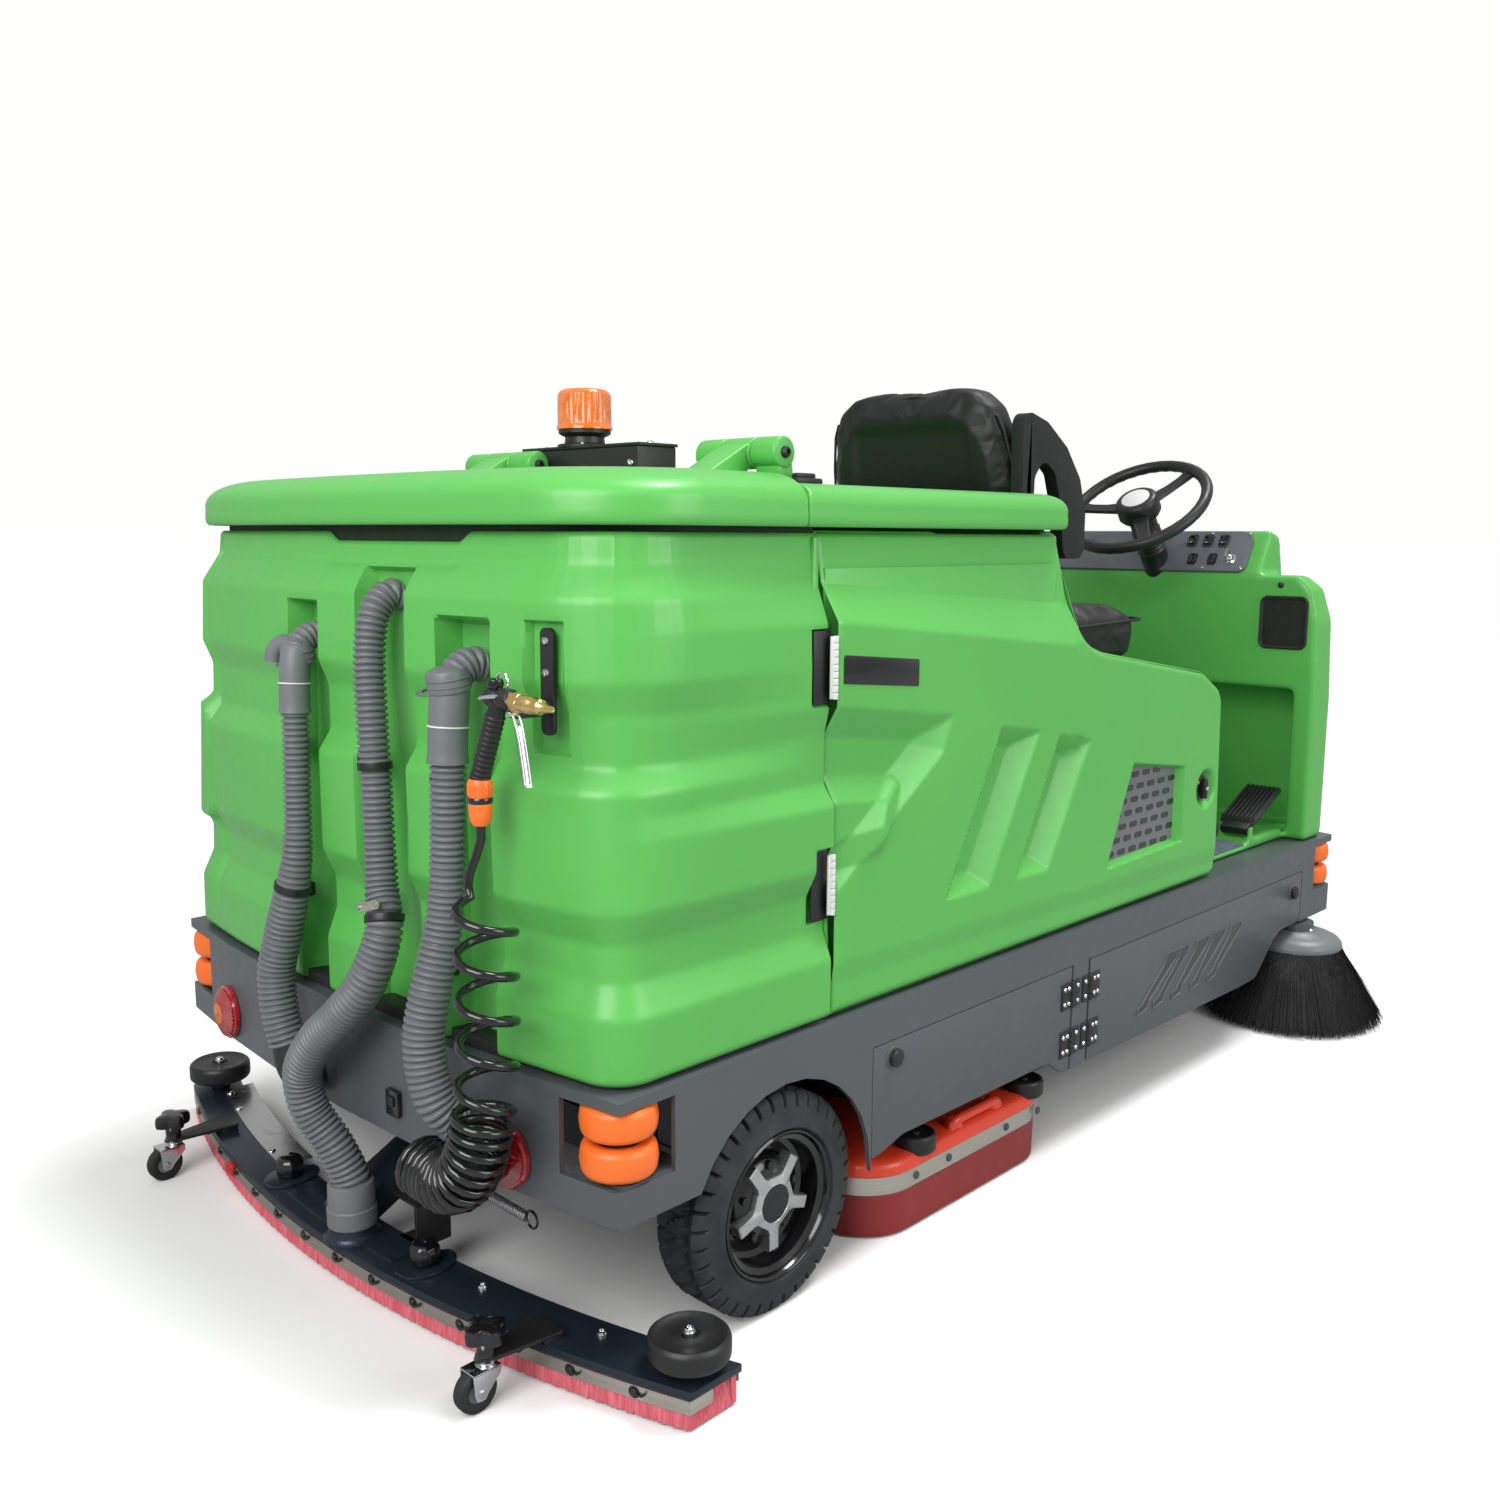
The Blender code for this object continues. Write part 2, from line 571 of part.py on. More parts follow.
def solution_tank():
    half = HALF_WIDTH - TANK_INSET - DOOR_THICK - 0.004
    back = TANK_FRONT + 0.003
    front = BODY_FRONT - 0.008
    tank = box((back, -half, DECK_Z + GAP), (front, half, TANK_TOP))
    carve(tank, box((back + 0.02, -half + 0.02, DECK_Z + 0.02), (front - 0.02, half - 0.02, TANK_TOP - 0.02)))
    carve(tank, rod((0.42, 0.25, 0), (0, 0, 1), 0.08, TANK_TOP - 0.05, TANK_TOP + 0.01))
    return keep(tank, "solution_tank", "green")


def seat_base():
    half = HALF_WIDTH - TANK_INSET - DOOR_THICK - 0.004
    back, front = BODY_FRONT - 0.007, SEAT_DECK_FRONT
    base = box((back, -half, DECK_Z + GAP), (front, half, SEAT_DECK_Z))
    carve(base, box((back + 0.015, -half + 0.015, 0.3), (front - 0.015, half - 0.015, SEAT_DECK_Z - 0.02)))
    for side in (-1, 1):
        y = SEAT_Y + side * 0.16
        fuse(base, box((0.90, y - 0.02, SEAT_DECK_Z - 0.005), (1.29, y + 0.02, SEAT_DECK_Z + 0.014)))
    keep(base, "seat_base", "green")
    battery = box((back + 0.06, -0.34, DECK_Z + GAP), (front - 0.06, 0.34, SEAT_DECK_Z - 0.10))
    keep(battery, "battery_pack", "black")


def side_door(side, name):
    outer = HALF_WIDTH - TANK_INSET
    inner = outer - DOOR_THICK
    rear = TANK_FRONT + SEAM + 0.001
    low, top = DECK_Z + 0.004, TANK_TOP - 0.003
    outline = [
        (rear, low), (DOOR_FRONT, low), (DOOR_FRONT - 0.017, 0.803), (1.230, 0.852), (0.822, 0.913),
        (0.783, 0.926), (BODY_FRONT + 0.003, top - 0.06), (BODY_FRONT - 0.011, top), (rear, top),
    ]
    ends = sorted((side * inner, side * outer))
    door = prism(outline, "y", ends[0], ends[1])
    pocket = [
        (rear + 0.04, low + 0.04), (DOOR_FRONT - 0.05, low + 0.04), (DOOR_FRONT - 0.06, 0.78), (1.20, 0.81),
        (0.76, 0.87), (0.70, 1.00), (rear + 0.04, 1.02),
    ]
    depth = sorted((side * (inner - 0.01), side * (outer - 0.012)))
    carve(door, prism(pocket, "y", depth[0], depth[1]))
    beyond = side * (outer + 0.01)
    lean = [(beyond, 1.035), (beyond, top + 0.02), (side * (outer - 0.05), top + 0.02)]
    carve(door, prism(lean, "x", 0, 1.5))
    x, y = TANK_FRONT + SEAM, side * outer
    for z in (0.575, 0.888):
        fuse(door, rod((x, y, 0), (0, 0, 1), DOOR_BARREL, z, z + 0.09, 12))
    latch = sorted((side * (outer - 0.006), side * (outer + 0.006)))
    fuse(door, rod((1.269, 0, 0.610), (0, 1, 0), 0.024, latch[0], latch[1]))
    return keep(door, name, "green", (x, y, 0))


def skirt_door(side, name, outline, hinge_x, knob):
    ends = sorted((side * HALF_WIDTH, side * (HALF_WIDTH - SKIN)))
    door = prism(outline, "y", ends[0], ends[1])
    y = side * HALF_WIDTH
    for z in (0.185, 0.275):
        fuse(door, rod((hinge_x, y, 0), (0, 0, 1), DOOR_BARREL, z, z + 0.05, 12))
    out = sorted((side * (HALF_WIDTH - 0.004), side * (HALF_WIDTH + 0.012)))
    fuse(door, rod((knob[0], 0, knob[1]), (0, 1, 0), 0.015, out[0], out[1], 12))
    return keep(door, name, "slate", (hinge_x, y, 0))


def skirt_doors(side, label):
    low, high = MID_DOOR
    outline = [
        (low, RAIL_Z), (low, 0.174), (low + 0.029, 0.178), (low + 0.077, 0.191), (high - 0.070, 0.188),
        (high - 0.024, 0.157), (high - 0.001, 0.157), (high - 0.001, RAIL_Z),
    ]
    skirt_door(side, "mid_skirt_door_" + label, outline, high, (low + 0.05, 0.325))
    low, high = FRONT_DOOR
    outline = [
        (low + 0.001, RAIL_Z), (low + 0.001, 0.156), (high - 0.303, 0.145), (high - 0.222, 0.147),
        (high - 0.137, 0.218), (high - 0.102, 0.233), (high, 0.234), (high, RAIL_Z),
    ]
    skirt_door(side, "front_skirt_door_" + label, outline, low, (high - 0.048, 0.311))


def front_cowl():
    rings = []
    shoulders = (
        (DECK_Z + GAP, 0.012), (0.75, 0.012), (0.93, 0.018), (COWL_TOP - 0.03, 0.035), (COWL_TOP, 0.065),
    )
    for z, inset in shoulders:
        half = HALF_WIDTH - inset
        front = [(front_x(y, inset), y) for y in across(half)]
        outline = [(COWL_X, -half)] + front + [(COWL_X, half)]
        rings.append(at_height(rounded(outline, 0.05, (1, len(outline) - 2)), z))
    cowl = loft(rings)
    front = front_x(0, 0.05)
    tower = [
        (COWL_X, COWL_TOP - 0.05), (COWL_X, COWL_TOP), (COWL_X + 0.06, DASH_TOP),
        (front - 0.04, DASH_TOP - 0.015),
        (front, COWL_TOP - 0.05),
    ]
    fuse(cowl, prism(tower, "y", -0.44, 0.44))
    wall = HALF_WIDTH - 0.063
    back = COWL_X - 0.01
    carve(cowl, box((back, -wall, DECK_Z + 0.013), (front - 0.02, wall, 0.769)))
    carve(cowl, box((COWL_X + 0.03, -0.41, 0.75), (front - 0.04, 0.41, COWL_TOP + 0.01)))
    fuse(cowl, box((SEAT_DECK_FRONT + 0.02, -wall, DECK_Z + GAP), (COWL_X + 0.01, wall, DECK_Z + 0.013)))
    pad = [(1.62, DECK_Z + 0.01), (1.79, DECK_Z + 0.01), (1.79, 0.442), (1.62, 0.442)]
    fuse(cowl, prism(pad, "y", -0.55 + 0.015, -0.455))
    for side in (-1, 1):
        y = -0.495 + side * 0.036
        fuse(cowl, box((1.615, y - 0.003, 0.435), (1.645, y + 0.003, 0.470)))
    fuse(cowl, rod((1.630, -0.495, 0.458), (0, 1, 0), 0.004, -0.037, 0.037, 10))
    return keep(cowl, "front_cowl", "green")


# ---- driver's place -----------------------------------------------------------------------

def on_dash(y, up, out=0.0):
    """A point on the sloping dash, up from its lower edge and out from its face."""
    return Vector((COWL_X, y, COWL_TOP)) + SLOPE * up + OUT * out


def dash_block(y, half, low, high, back, face):
    corners = [on_dash(y, u, o) for u, o in ((low, back), (high, back), (high, face), (low, face))]
    return prism([(c.x, c.z) for c in corners], "y", y - half, y + half)


def dash_panel():
    panel = dash_block(0, 0.405, 0.004, 0.112, GAP, DASH_FACE)
    column = rod(WHEEL_CENTRE, STEER_AXIS, 0.032, COLUMN_TOP - 0.170, COLUMN_TOP)
    fuse(panel, column)
    carve(panel, dash_block(0, 0.6, -0.2, 0.3, -0.2, GAP))
    carve(panel, rod(WHEEL_CENTRE, STEER_AXIS, 0.010 + RUN, COLUMN_TOP - 0.03, COLUMN_TOP + 0.01, 12))
    for y, up in ROCKERS:
        carve(panel, dash_block(y, 0.010 + GAP, up - 0.014 - GAP, up + 0.014 + GAP, 0.004, 0.05))
    key = on_dash(KEY[0], KEY[1])
    carve(panel, rod(key, OUT, 0.006 + GAP, 0.003, 0.05, 12))
    return keep(panel, "dash_panel", "grey")


def dash_controls():
    side = (
        (-0.010, 0.0062), (0.010, 0.0062), (0.0125, 0.012), (0.0125, 0.016), (0, 0.0135), (-0.0125, 0.019),
        (-0.0125, 0.012),
    )
    for number, (y, up) in enumerate(ROCKERS, 1):
        corners = [on_dash(y, up + u, o) for u, o in side]
        rocker = prism([(c.x, c.z) for c in corners], "y", y - 0.010, y + 0.010)
        keep(rocker, "rocker_%d" % number, "black", on_dash(y, up, 0.012))
    y, up = KEY
    shape = rod(on_dash(y, up), OUT, 0.006, 0.0035, 0.022, 12)
    bow = dash_block(y, 0.0015, up - 0.012, up + 0.012, 0.020, 0.045)
    keep(fuse(shape, bow), "ignition_key", "steel", on_dash(y, up))


def steering_wheel():
    steps = 8
    tube = 0.0135
    turns = [2 * math.pi * k / steps for k in range(steps)]
    profile = [(STEER_RADIUS - tube + tube * math.cos(turn), tube * math.sin(turn)) for turn in turns]
    wheel = lathe(profile, (0, 0, 0), (0, 0, 1), 28)
    fuse(wheel, rod((0, 0, 0), (0, 0, 1), 0.042, COLUMN_TOP + GAP, 0.026, 20))
    for angle in (90, 210, 330):
        spoke = box((0.03, -0.016, -0.010), (STEER_RADIUS - tube, 0.016, 0.002))
        spoke.data.transform(Matrix.Rotation(math.radians(angle), 4, "Z"))
        fuse(wheel, spoke)
    fuse(wheel, rod((0, 0, 0), (0, 0, 1), 0.010, COLUMN_TOP - 0.028, 0, 12))
    turn = Vector((0, 0, 1)).rotation_difference(STEER_AXIS).to_matrix().to_4x4()
    wheel.data.transform(Matrix.Translation(WHEEL_CENTRE) @ turn)
    return keep(wheel, "steering_wheel", "black", WHEEL_CENTRE)


def seat():
    z = SEAT_DECK_Z + 0.014 + GAP
    frame = box((0.91, SEAT_Y - 0.19, z), (1.28, SEAT_Y + 0.19, z + 0.045))
    fuse(frame, box((0.855, SEAT_Y - 0.05, z + 0.01), (0.92, SEAT_Y + 0.05, z + 0.045)))
    fuse(frame, box((0.846, SEAT_Y - 0.05, z + 0.01), (0.856, SEAT_Y + 0.05, 0.915)))
    keep(frame, "seat_frame", "black")
    low = z + 0.045 + GAP
    rings = []
    for z, inset in ((low, 0.02), (low + 0.02, 0), (low + 0.08, 0), (low + 0.112, 0.03)):
        half = SEAT_HALF - inset
        back, front = 0.905 + inset, 1.355 - inset
        left, right = SEAT_Y + half, SEAT_Y - half
        outline = [(back, right), (front, right), (front, left), (back, left)]
        rings.append(at_height(rounded(outline, 0.05, (0, 1, 2, 3)), z))
    keep(loft(rings), "seat_cushion", "vinyl")
    rings = []
    for z, back, front, half in (
        (0.905, 0.8565, 0.903, 0.16), (0.96, 0.846, 0.900, 0.205), (1.00, 0.838, 0.955, 0.225),
        (1.12, 0.815, 0.975, 0.235),
        (1.25, 0.785, 0.955, 0.225), (1.355, 0.760, 0.900, 0.195), (1.395, 0.770, 0.860, 0.150),
    ):
        left, right = SEAT_Y + half, SEAT_Y - half
        outline = [(back, right), (front, right), (front, left), (back, left)]
        rings.append(at_height(rounded(outline, 0.02, (0, 1, 2, 3), 2), z))
    back = loft(rings)
    carve(back, box((0.80, SEAT_Y - 0.055, 0.80), (0.8565, SEAT_Y + 0.055, 0.9155)))
    keep(back, "back_cushion", "vinyl")


def pedal():
    """Ribbed treadle that turns on the pin above its heel."""
    rise = math.radians(24)
    length = 0.165
    x, y, z = 1.630, -0.495, 0.458
    plate = box((0.022, -0.042, 0.0095), (length, 0.042, 0.0185))
    fuse(plate, box((-0.010, -0.032, -0.010), (0.030, 0.032, 0.012)))
    carve(plate, rod((0, 0, 0), (0, 1, 0), 0.004 + RUN, -0.05, 0.05, 10))
    turn = Matrix.Rotation(-rise, 4, "Y")
    plate.data.transform(Matrix.Translation((x, y, z)) @ turn)
    return keep(plate, "accelerator_pedal", "black", (x, y, z))


# ---- cleaning gear ------------------------------------------------------------------------

def side_brush(side, label):
    x, y = SIDE_BRUSH_X, side * SIDE_BRUSH_Y
    px, py = ARM_PIVOT[0], side * ARM_PIVOT[1]
    ahead = Vector((x - px, y - py, 0)).normalized()
    across_arm = Vector((-ahead.y, ahead.x, 0)) * 0.028
    ends = (Vector((px, py, 0)), Vector((x, y, 0)))
    outline = [ends[0] - across_arm, ends[1] - across_arm, ends[1] + across_arm, ends[0] + across_arm]
    arm = prism([(p.x, p.y) for p in outline], "z", 0.210, 0.226)
    fuse(arm, rod((px, py, 0), (0, 0, 1), 0.035, 0.2085, 0.2275))
    fuse(arm, rod((x, y, 0), (0, 0, 1), 0.040, 0.210, 0.226))
    middle = ends[0] + (ends[1] - ends[0]) * 0.50
    fuse(arm, rod((middle.x, middle.y, 0), (0, 0, 1), 0.045, 0.22, 0.285))
    fuse(arm, rod((x, y, 0), (0, 0, 1), 0.012, 0.180, 0.215, 12))
    carve(arm, rod((px, py, 0), (0, 0, 1), GUIDE_PIN + RUN, 0.1, 0.4, 12))
    keep(arm, "side_brush_arm_" + label, "slate", (px, py, 0))
    r = SIDE_BRUSH_RADIUS
    profile = [
        (0.012 + RUN, 0.176), (0.012 + RUN, 0.2095), (0.055, 0.2095), (0.095, 0.195), (0.105, 0.170),
        (0.150, 0.100), (r, 0.003), (r * 0.55, 0.003), (0.070, 0.120), (0.030, 0.150), (0.030, 0.176),
    ]
    ring_piece("side_brush_" + label, "black", profile, (x, y, 0), (0, 0, 1), 28)


def main_broom():
    y, r = BROOM_HALF, BROOM_RADIUS
    bore = GUIDE_PIN + RUN
    profile = [(bore, -y), (0.05, -y), (r, -y), (r, y), (bore, y)]
    ring_piece("main_broom", "black", profile, (BROOM_X, 0, r + 0.002), (0, 1, 0), 24)
    low, high = HOPPER
    top = DECK_Z - PLATE - GAP
    hopper = box((low, -0.43, 0.060), (high, 0.43, top))
    carve(hopper, box((low + 0.008, -0.422, 0.068), (high + 0.05, 0.422, top - 0.03)))
    keep(hopper, "debris_hopper", "grey")


def scrub_deck():
    low, high = SCRUB
    half = SCRUB_HALF
    outline = rounded([(low, -half), (high, -half), (high, half), (low, half)], 0.10, (0, 1, 2, 3))
    wall = 0.014
    back, front, side = low + wall, high - wall, half - wall
    inner = [(back, -side), (front, -side), (front, side), (back, side)]
    deck = prism(outline, "z", 0.004, SCRUB_TOP)
    carve(deck, prism(rounded(inner, 0.088, (0, 1, 2, 3)), "z", -0.1, SCRUB_TOP - 0.014))
    middle = (low + high) / 2
    for side in (-1, 1):
        y = side * half / 2
        fuse(deck, rod((middle, y, 0), (0, 0, 1), 0.020, 0.045, SCRUB_TOP))
        fuse(deck, rod((middle, y, 0), (0, 0, 1), 0.08, SCRUB_TOP - 0.005, 0.25))
        for x in (low + 0.147, high - 0.07):
            fuse(deck, rod((x, side * (half - 0.026), 0), (0, 0, 1), 0.033, 0.12, 0.150, 20))
    for x in GUIDE_X:
        fuse(deck, rod((x, 0, 0), (0, 0, 1), 0.030, SCRUB_TOP - 0.004, 0.200))
        carve(deck, rod((x, 0, 0), (0, 0, 1), GUIDE_PIN + RUN, SCRUB_TOP - 0.05, 0.3, 12))
    keep(deck, "scrub_deck", "red")
    for side, label in ((-1, "right"), (1, "left")):
        r = min(DISC_RADIUS, half / 2 - 0.02)
        bore = 0.020 + RUN
        profile = [
            (bore, 0.112), (0.050, 0.112), (0.050, 0.075), (r - 0.03, 0.065), (r, 0.003), (r * 0.45, 0.003),
            (r * 0.40, 0.040), (bore, 0.046),
        ]
        ring_piece("disc_brush_" + label, "black", profile, (middle, side * half / 2, 0), (0, 0, 1), 28)


def squeegee_edge(y, base):
    return base + SQUEEGEE_BEND * y * y


def squeegee_band(rear, front, half):
    ys = across(half, 12)
    outline = [(squeegee_edge(y, rear), y) for y in ys]
    return outline + [(squeegee_edge(y, front), y) for y in reversed(ys)]


def squeegee():
    z = SQUEEGEE_TOP
    half = SQUEEGEE_HALF
    plate = prism(squeegee_band(SQUEEGEE_REAR, SQUEEGEE_FRONT, half), "z", z - 0.012, z)
    x, pz = SQUEEGEE_PIVOT
    arm = [
        (SQUEEGEE_REAR + 0.03, z - 0.004), (SQUEEGEE_FRONT - 0.02, z - 0.004), (x + 0.015, pz - 0.016),
        (x + 0.015, pz + 0.012), (x - 0.02, pz + 0.016), (SQUEEGEE_REAR + 0.03, z + 0.030),
    ]
    fuse(plate, prism(arm, "y", -EAR_HALF, EAR_HALF), rod((x, 0, pz), (0, 1, 0), 0.020, -EAR_HALF, EAR_HALF))
    carve(plate, rod((x, 0, pz), (0, 1, 0), EAR_PIN + RUN, -0.1, 0.1, 12))
    fuse(plate, rod(PORT, (0, 0, 1), 0.038, z - 0.006 - PORT[2], 0.0, 20))
    for side in (-1, 1):
        cx, cy = CASTER[0], side * CASTER[1]
        tail = squeegee_edge(cy, SQUEEGEE_REAR) + 0.03
        fuse(plate, box((cx - 0.012, cy - 0.014, z + 0.0075), (tail, cy + 0.014, z + 0.0135)))
        fuse(plate, box((tail - 0.02, cy - 0.014, z - 0.004), (tail, cy + 0.014, z + 0.0135)))
        fuse(plate, rod((cx, cy, 0), (0, 0, 1), 0.009, z + 0.010, z + 0.040, 10))
        fuse(plate, rod((cx, cy, 0), (0, 0, 1), 0.030, z + 0.034, z + 0.056, 10))
        fuse(plate, rod((END_WHEEL[0], side * END_WHEEL[1], 0), (0, 0, 1), 0.009, z - 0.006, 0.112, 10))
        fuse(plate, rod((-0.345, side * 0.20, 0), (0, 0, 1), 0.024, z - 0.004, z + 0.034, 12))
    keep(plate, "squeegee_frame", "plate", (x, 0, pz))
    outer = squeegee_band(SQUEEGEE_REAR + 0.004, SQUEEGEE_FRONT - 0.004, half - 0.004)
    inner = squeegee_band(SQUEEGEE_REAR + 0.014, SQUEEGEE_FRONT - 0.014, half - 0.014)
    ring = prism(outer, "z", 0.003, z - 0.012 - GAP)
    carve(ring, prism(inner, "z", -0.1, 0.2))
    keep(ring, "squeegee_blade", "pink", (x, 0, pz))
    for side, label in ((-1, "right"), (1, "left")):
        bore = 0.009 + RUN
        r, neck, top = END_WHEEL_RADIUS, 0.018, 0.110
        profile = [
            (bore, z + GAP), (neck, z + GAP), (neck, z + 0.016), (r - 0.003, z + 0.018), (r, z + 0.023),
            (r, top - 0.010), (r - 0.007, top), (bore, top),
        ]
        place = (END_WHEEL[0], side * END_WHEEL[1], 0)
        ring_piece("squeegee_wheel_" + label, "black", profile, place, (0, 0, 1), 24)
        caster(side, label)


def caster(side, label):
    x, y = CASTER[0], side * CASTER[1]
    r = CASTER_RADIUS
    axle = x - CASTER_TRAIL
    fork = box((axle - 0.012, y - 0.0165, r + 0.0315), (x + 0.014, y + 0.0165, SQUEEGEE_TOP + 0.0075 - GAP))
    for edge in (-1, 1):
        ys = sorted((y + edge * 0.0135, y + edge * 0.0165))
        fuse(fork, box((axle - 0.010, ys[0], r - 0.008), (axle + 0.012, ys[1], r + 0.033)))
    fuse(fork, rod((axle, y, r), (0, 1, 0), 0.004, -0.015, 0.015, 10))
    keep(fork, "caster_fork_" + label, "steel", (x, y, 0))
    bore = 0.004 + RUN
    profile = [
        (bore, -0.010), (r - 0.002, -0.010), (r, -0.007), (r, 0.007), (r - 0.002, 0.010), (bore, 0.010),
    ]
    ring_piece("caster_wheel_" + label, "rubber", profile, (axle, y, r), (0, 1, 0), 20)


# ---- hoses and spray gun ------------------------------------------------------------------

def smooth(points, spacing):
    """Points along the Catmull-Rom curve through the route's own points."""
    route = [Vector(p) for p in points]
    padded = [route[0] * 2 - route[1]] + route + [route[-1] * 2 - route[-2]]
    result = []
    for i in range(1, len(padded) - 2):
        a, b, c, d = padded[i - 1:i + 3]
        steps = max(1, round((c - b).length / spacing))
        for k in range(steps):
            t = k / steps
            bend = (2 * a - 5 * b + 4 * c - d) * t * t + (3 * b - a - 3 * c + d) * t ** 3
            result.append(0.5 * (2 * b + (c - a) * t + bend))
    return result + [route[-1]]


def hose(name, route, radius, spacing, material, resolution=3):
    curve = bpy.data.curves.new(name, "CURVE")
    curve.dimensions = "3D"
    curve.bevel_depth = radius
    curve.bevel_resolution = resolution
    curve.use_fill_caps = True
    points = smooth(route, spacing)
    spline = curve.splines.new("POLY")
    spline.points.add(len(points) - 1)
    for target, point in zip(spline.points, points):
        target.co = (*point, 1)
    curve.materials.append(paint(material))
    tube = bpy.data.objects.new(name, curve)
    bpy.context.collection.objects.link(tube)
    tube.parent = machine
    return tube


def hoses():
    hose("drain_hose", DRAIN_ROUTE, HOSE_RADIUS, 0.05, "grey")
    hose("vacuum_hose", SUCTION_ROUTE, HOSE_RADIUS, 0.05, "grey")
    hose("dirty_water_hose", DIRTY_ROUTE, HOSE_RADIUS, 0.05, "grey")
    hose("gun_hose", LEAD_ROUTE, LEAD_RADIUS, 0.014, "black", 2)
    hose("curly_hose", COIL_ROUTE, COIL_RADIUS, 0.05, "black", 4)


def spray_gun():
    head = Vector((-0.378, -0.462, 0.918))
    gun = rod(head, (0, -1, -0.05), 0.011, -0.020, 0.045, 12)
    fuse(gun, rod(head, (0, -1, -0.05), 0.007, 0.04, 0.105, 12))
    grip = Vector((0, 0.050, -0.115)).normalized()
    fuse(gun, rod(head, grip, 0.013, 0, 0.120, 12))
    foot = head + grip * 0.115
    fuse(gun, rod(foot, (0, 0, -1), 0.016, 0, 0.060, 12))
    keep(gun, "spray_gun", "black")
    pivot = head + Vector((0, -0.026, -0.0171))
    side = ((0.004, 0.004), (-0.008, 0.002), (-0.030, -0.085), (-0.022, -0.088))
    lever = [(pivot.y + across, pivot.z + up) for across, up in side]
    shape = prism(lever, "x", head.x - 0.006, head.x + 0.006)
    keep(shape, "gun_trigger", "steel", pivot)


def tail_light(side, label):
    y, z = side * 0.400, 0.295
    lean = Vector((-1, 2 * REAR_BOW * y / HALF_WIDTH ** 2, 0)).normalized()
    centre = Vector((rear_x(y), y, z))
    profile = [(0, GAP + 0.0004), (0.046, GAP + 0.0004), (0.046, 0.010), (0.034, 0.020), (0, 0.024)]
    keep(lathe(profile, centre, lean, 24), "tail_light_" + label, "red")


def build():
    chassis()
    recovery_tank()
    tank_lid()
    front_lid()
    beacon()
    solution_tank()
    seat_base()
    front_cowl()
    dash_panel()
    dash_controls()
    steering_wheel()
    seat()
    pedal()
    front_axle()
    main_broom()
    scrub_deck()
    squeegee()
    hoses()
    spray_gun()
    for side, label in ((-1, "right"), (1, "left")):
        rear_wheel(side, "rear_wheel_" + label)
        side_door(side, "side_door_" + label)
        skirt_doors(side, label)
        side_brush(side, label)
        tail_light(side, label)
        corner_roller("rear_roller_" + label, ROLLER_REAR_X, side * ROLLER_Y)
        corner_roller("front_roller_" + label, ROLLER_FRONT_X, side * ROLLER_Y)


build()
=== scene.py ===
"""Looks of the ride-on sweeper-scrubber. Metres, +X forward, +Y the machine's left, +Z up, floor at Z = 0.

Shapes are worked out from the rear axle, as in the CAD model, and moved into the frame by AXLE.
"""
import math

import bmesh
import bpy
import numpy as np
from mathutils import Matrix, Vector


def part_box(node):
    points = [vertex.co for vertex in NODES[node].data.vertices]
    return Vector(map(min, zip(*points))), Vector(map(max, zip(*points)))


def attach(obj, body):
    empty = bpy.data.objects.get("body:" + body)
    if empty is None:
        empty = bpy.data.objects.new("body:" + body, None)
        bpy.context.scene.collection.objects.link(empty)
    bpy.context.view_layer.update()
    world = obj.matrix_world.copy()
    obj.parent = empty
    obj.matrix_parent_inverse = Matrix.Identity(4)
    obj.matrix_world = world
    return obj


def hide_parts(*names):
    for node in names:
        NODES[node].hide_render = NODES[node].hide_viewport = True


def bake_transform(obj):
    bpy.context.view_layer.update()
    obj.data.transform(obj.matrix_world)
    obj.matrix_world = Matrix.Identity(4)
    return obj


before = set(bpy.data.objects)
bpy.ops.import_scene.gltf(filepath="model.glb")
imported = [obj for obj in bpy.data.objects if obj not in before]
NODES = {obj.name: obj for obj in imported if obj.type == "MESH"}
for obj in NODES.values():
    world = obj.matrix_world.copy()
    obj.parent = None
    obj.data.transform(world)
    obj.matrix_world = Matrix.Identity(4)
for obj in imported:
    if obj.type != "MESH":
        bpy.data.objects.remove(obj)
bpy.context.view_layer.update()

TURN = 2 * math.pi


def middle(node):
    low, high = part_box(node)
    return (low + high) / 2


AXLE = Vector((middle("rear_wheel_left").x, 0, 0))


# ---- shapes: each maker returns (points, faces), measured from the rear axle ------------------

def shifted(part, matrix):
    points, faces = part
    return [matrix @ Vector(p) for p in points], faces


def moved(part, x=0.0, y=0.0, z=0.0):
    return shifted(part, Matrix.Translation((x, y, z)))


def mirrored(part):
    """The same part on the other side of the machine."""
    points, faces = part
    return [(p[0], -p[1], p[2]) for p in points], [tuple(reversed(f)) for f in faces]


def sided(part, side):
    return mirrored(part) if side > 0 else part


def grid(rows, round_rows=False, caps=False):
    """Faces between rows of points. round_rows joins each row's end to its start."""
    count = len(rows[0])
    faces = []
    for r in range(len(rows) - 1):
        for i in range(count if round_rows else count - 1):
            j = (i + 1) % count
            faces.append((r * count + i, r * count + j, (r + 1) * count + j, (r + 1) * count + i))
    if caps:
        faces.append(tuple(reversed(range(count))))
        faces.append(tuple(range(count * (len(rows) - 1), count * len(rows))))
    return [p for row in rows for p in row], faces


def at_height(outline, z):
    return [(x, y, z) for x, y in outline]


def from_bmesh(work):
    work.verts.ensure_lookup_table()
    points = [v.co.copy() for v in work.verts]
    faces = [tuple(v.index for v in f.verts) for f in work.faces]
    work.free()
    return points, faces


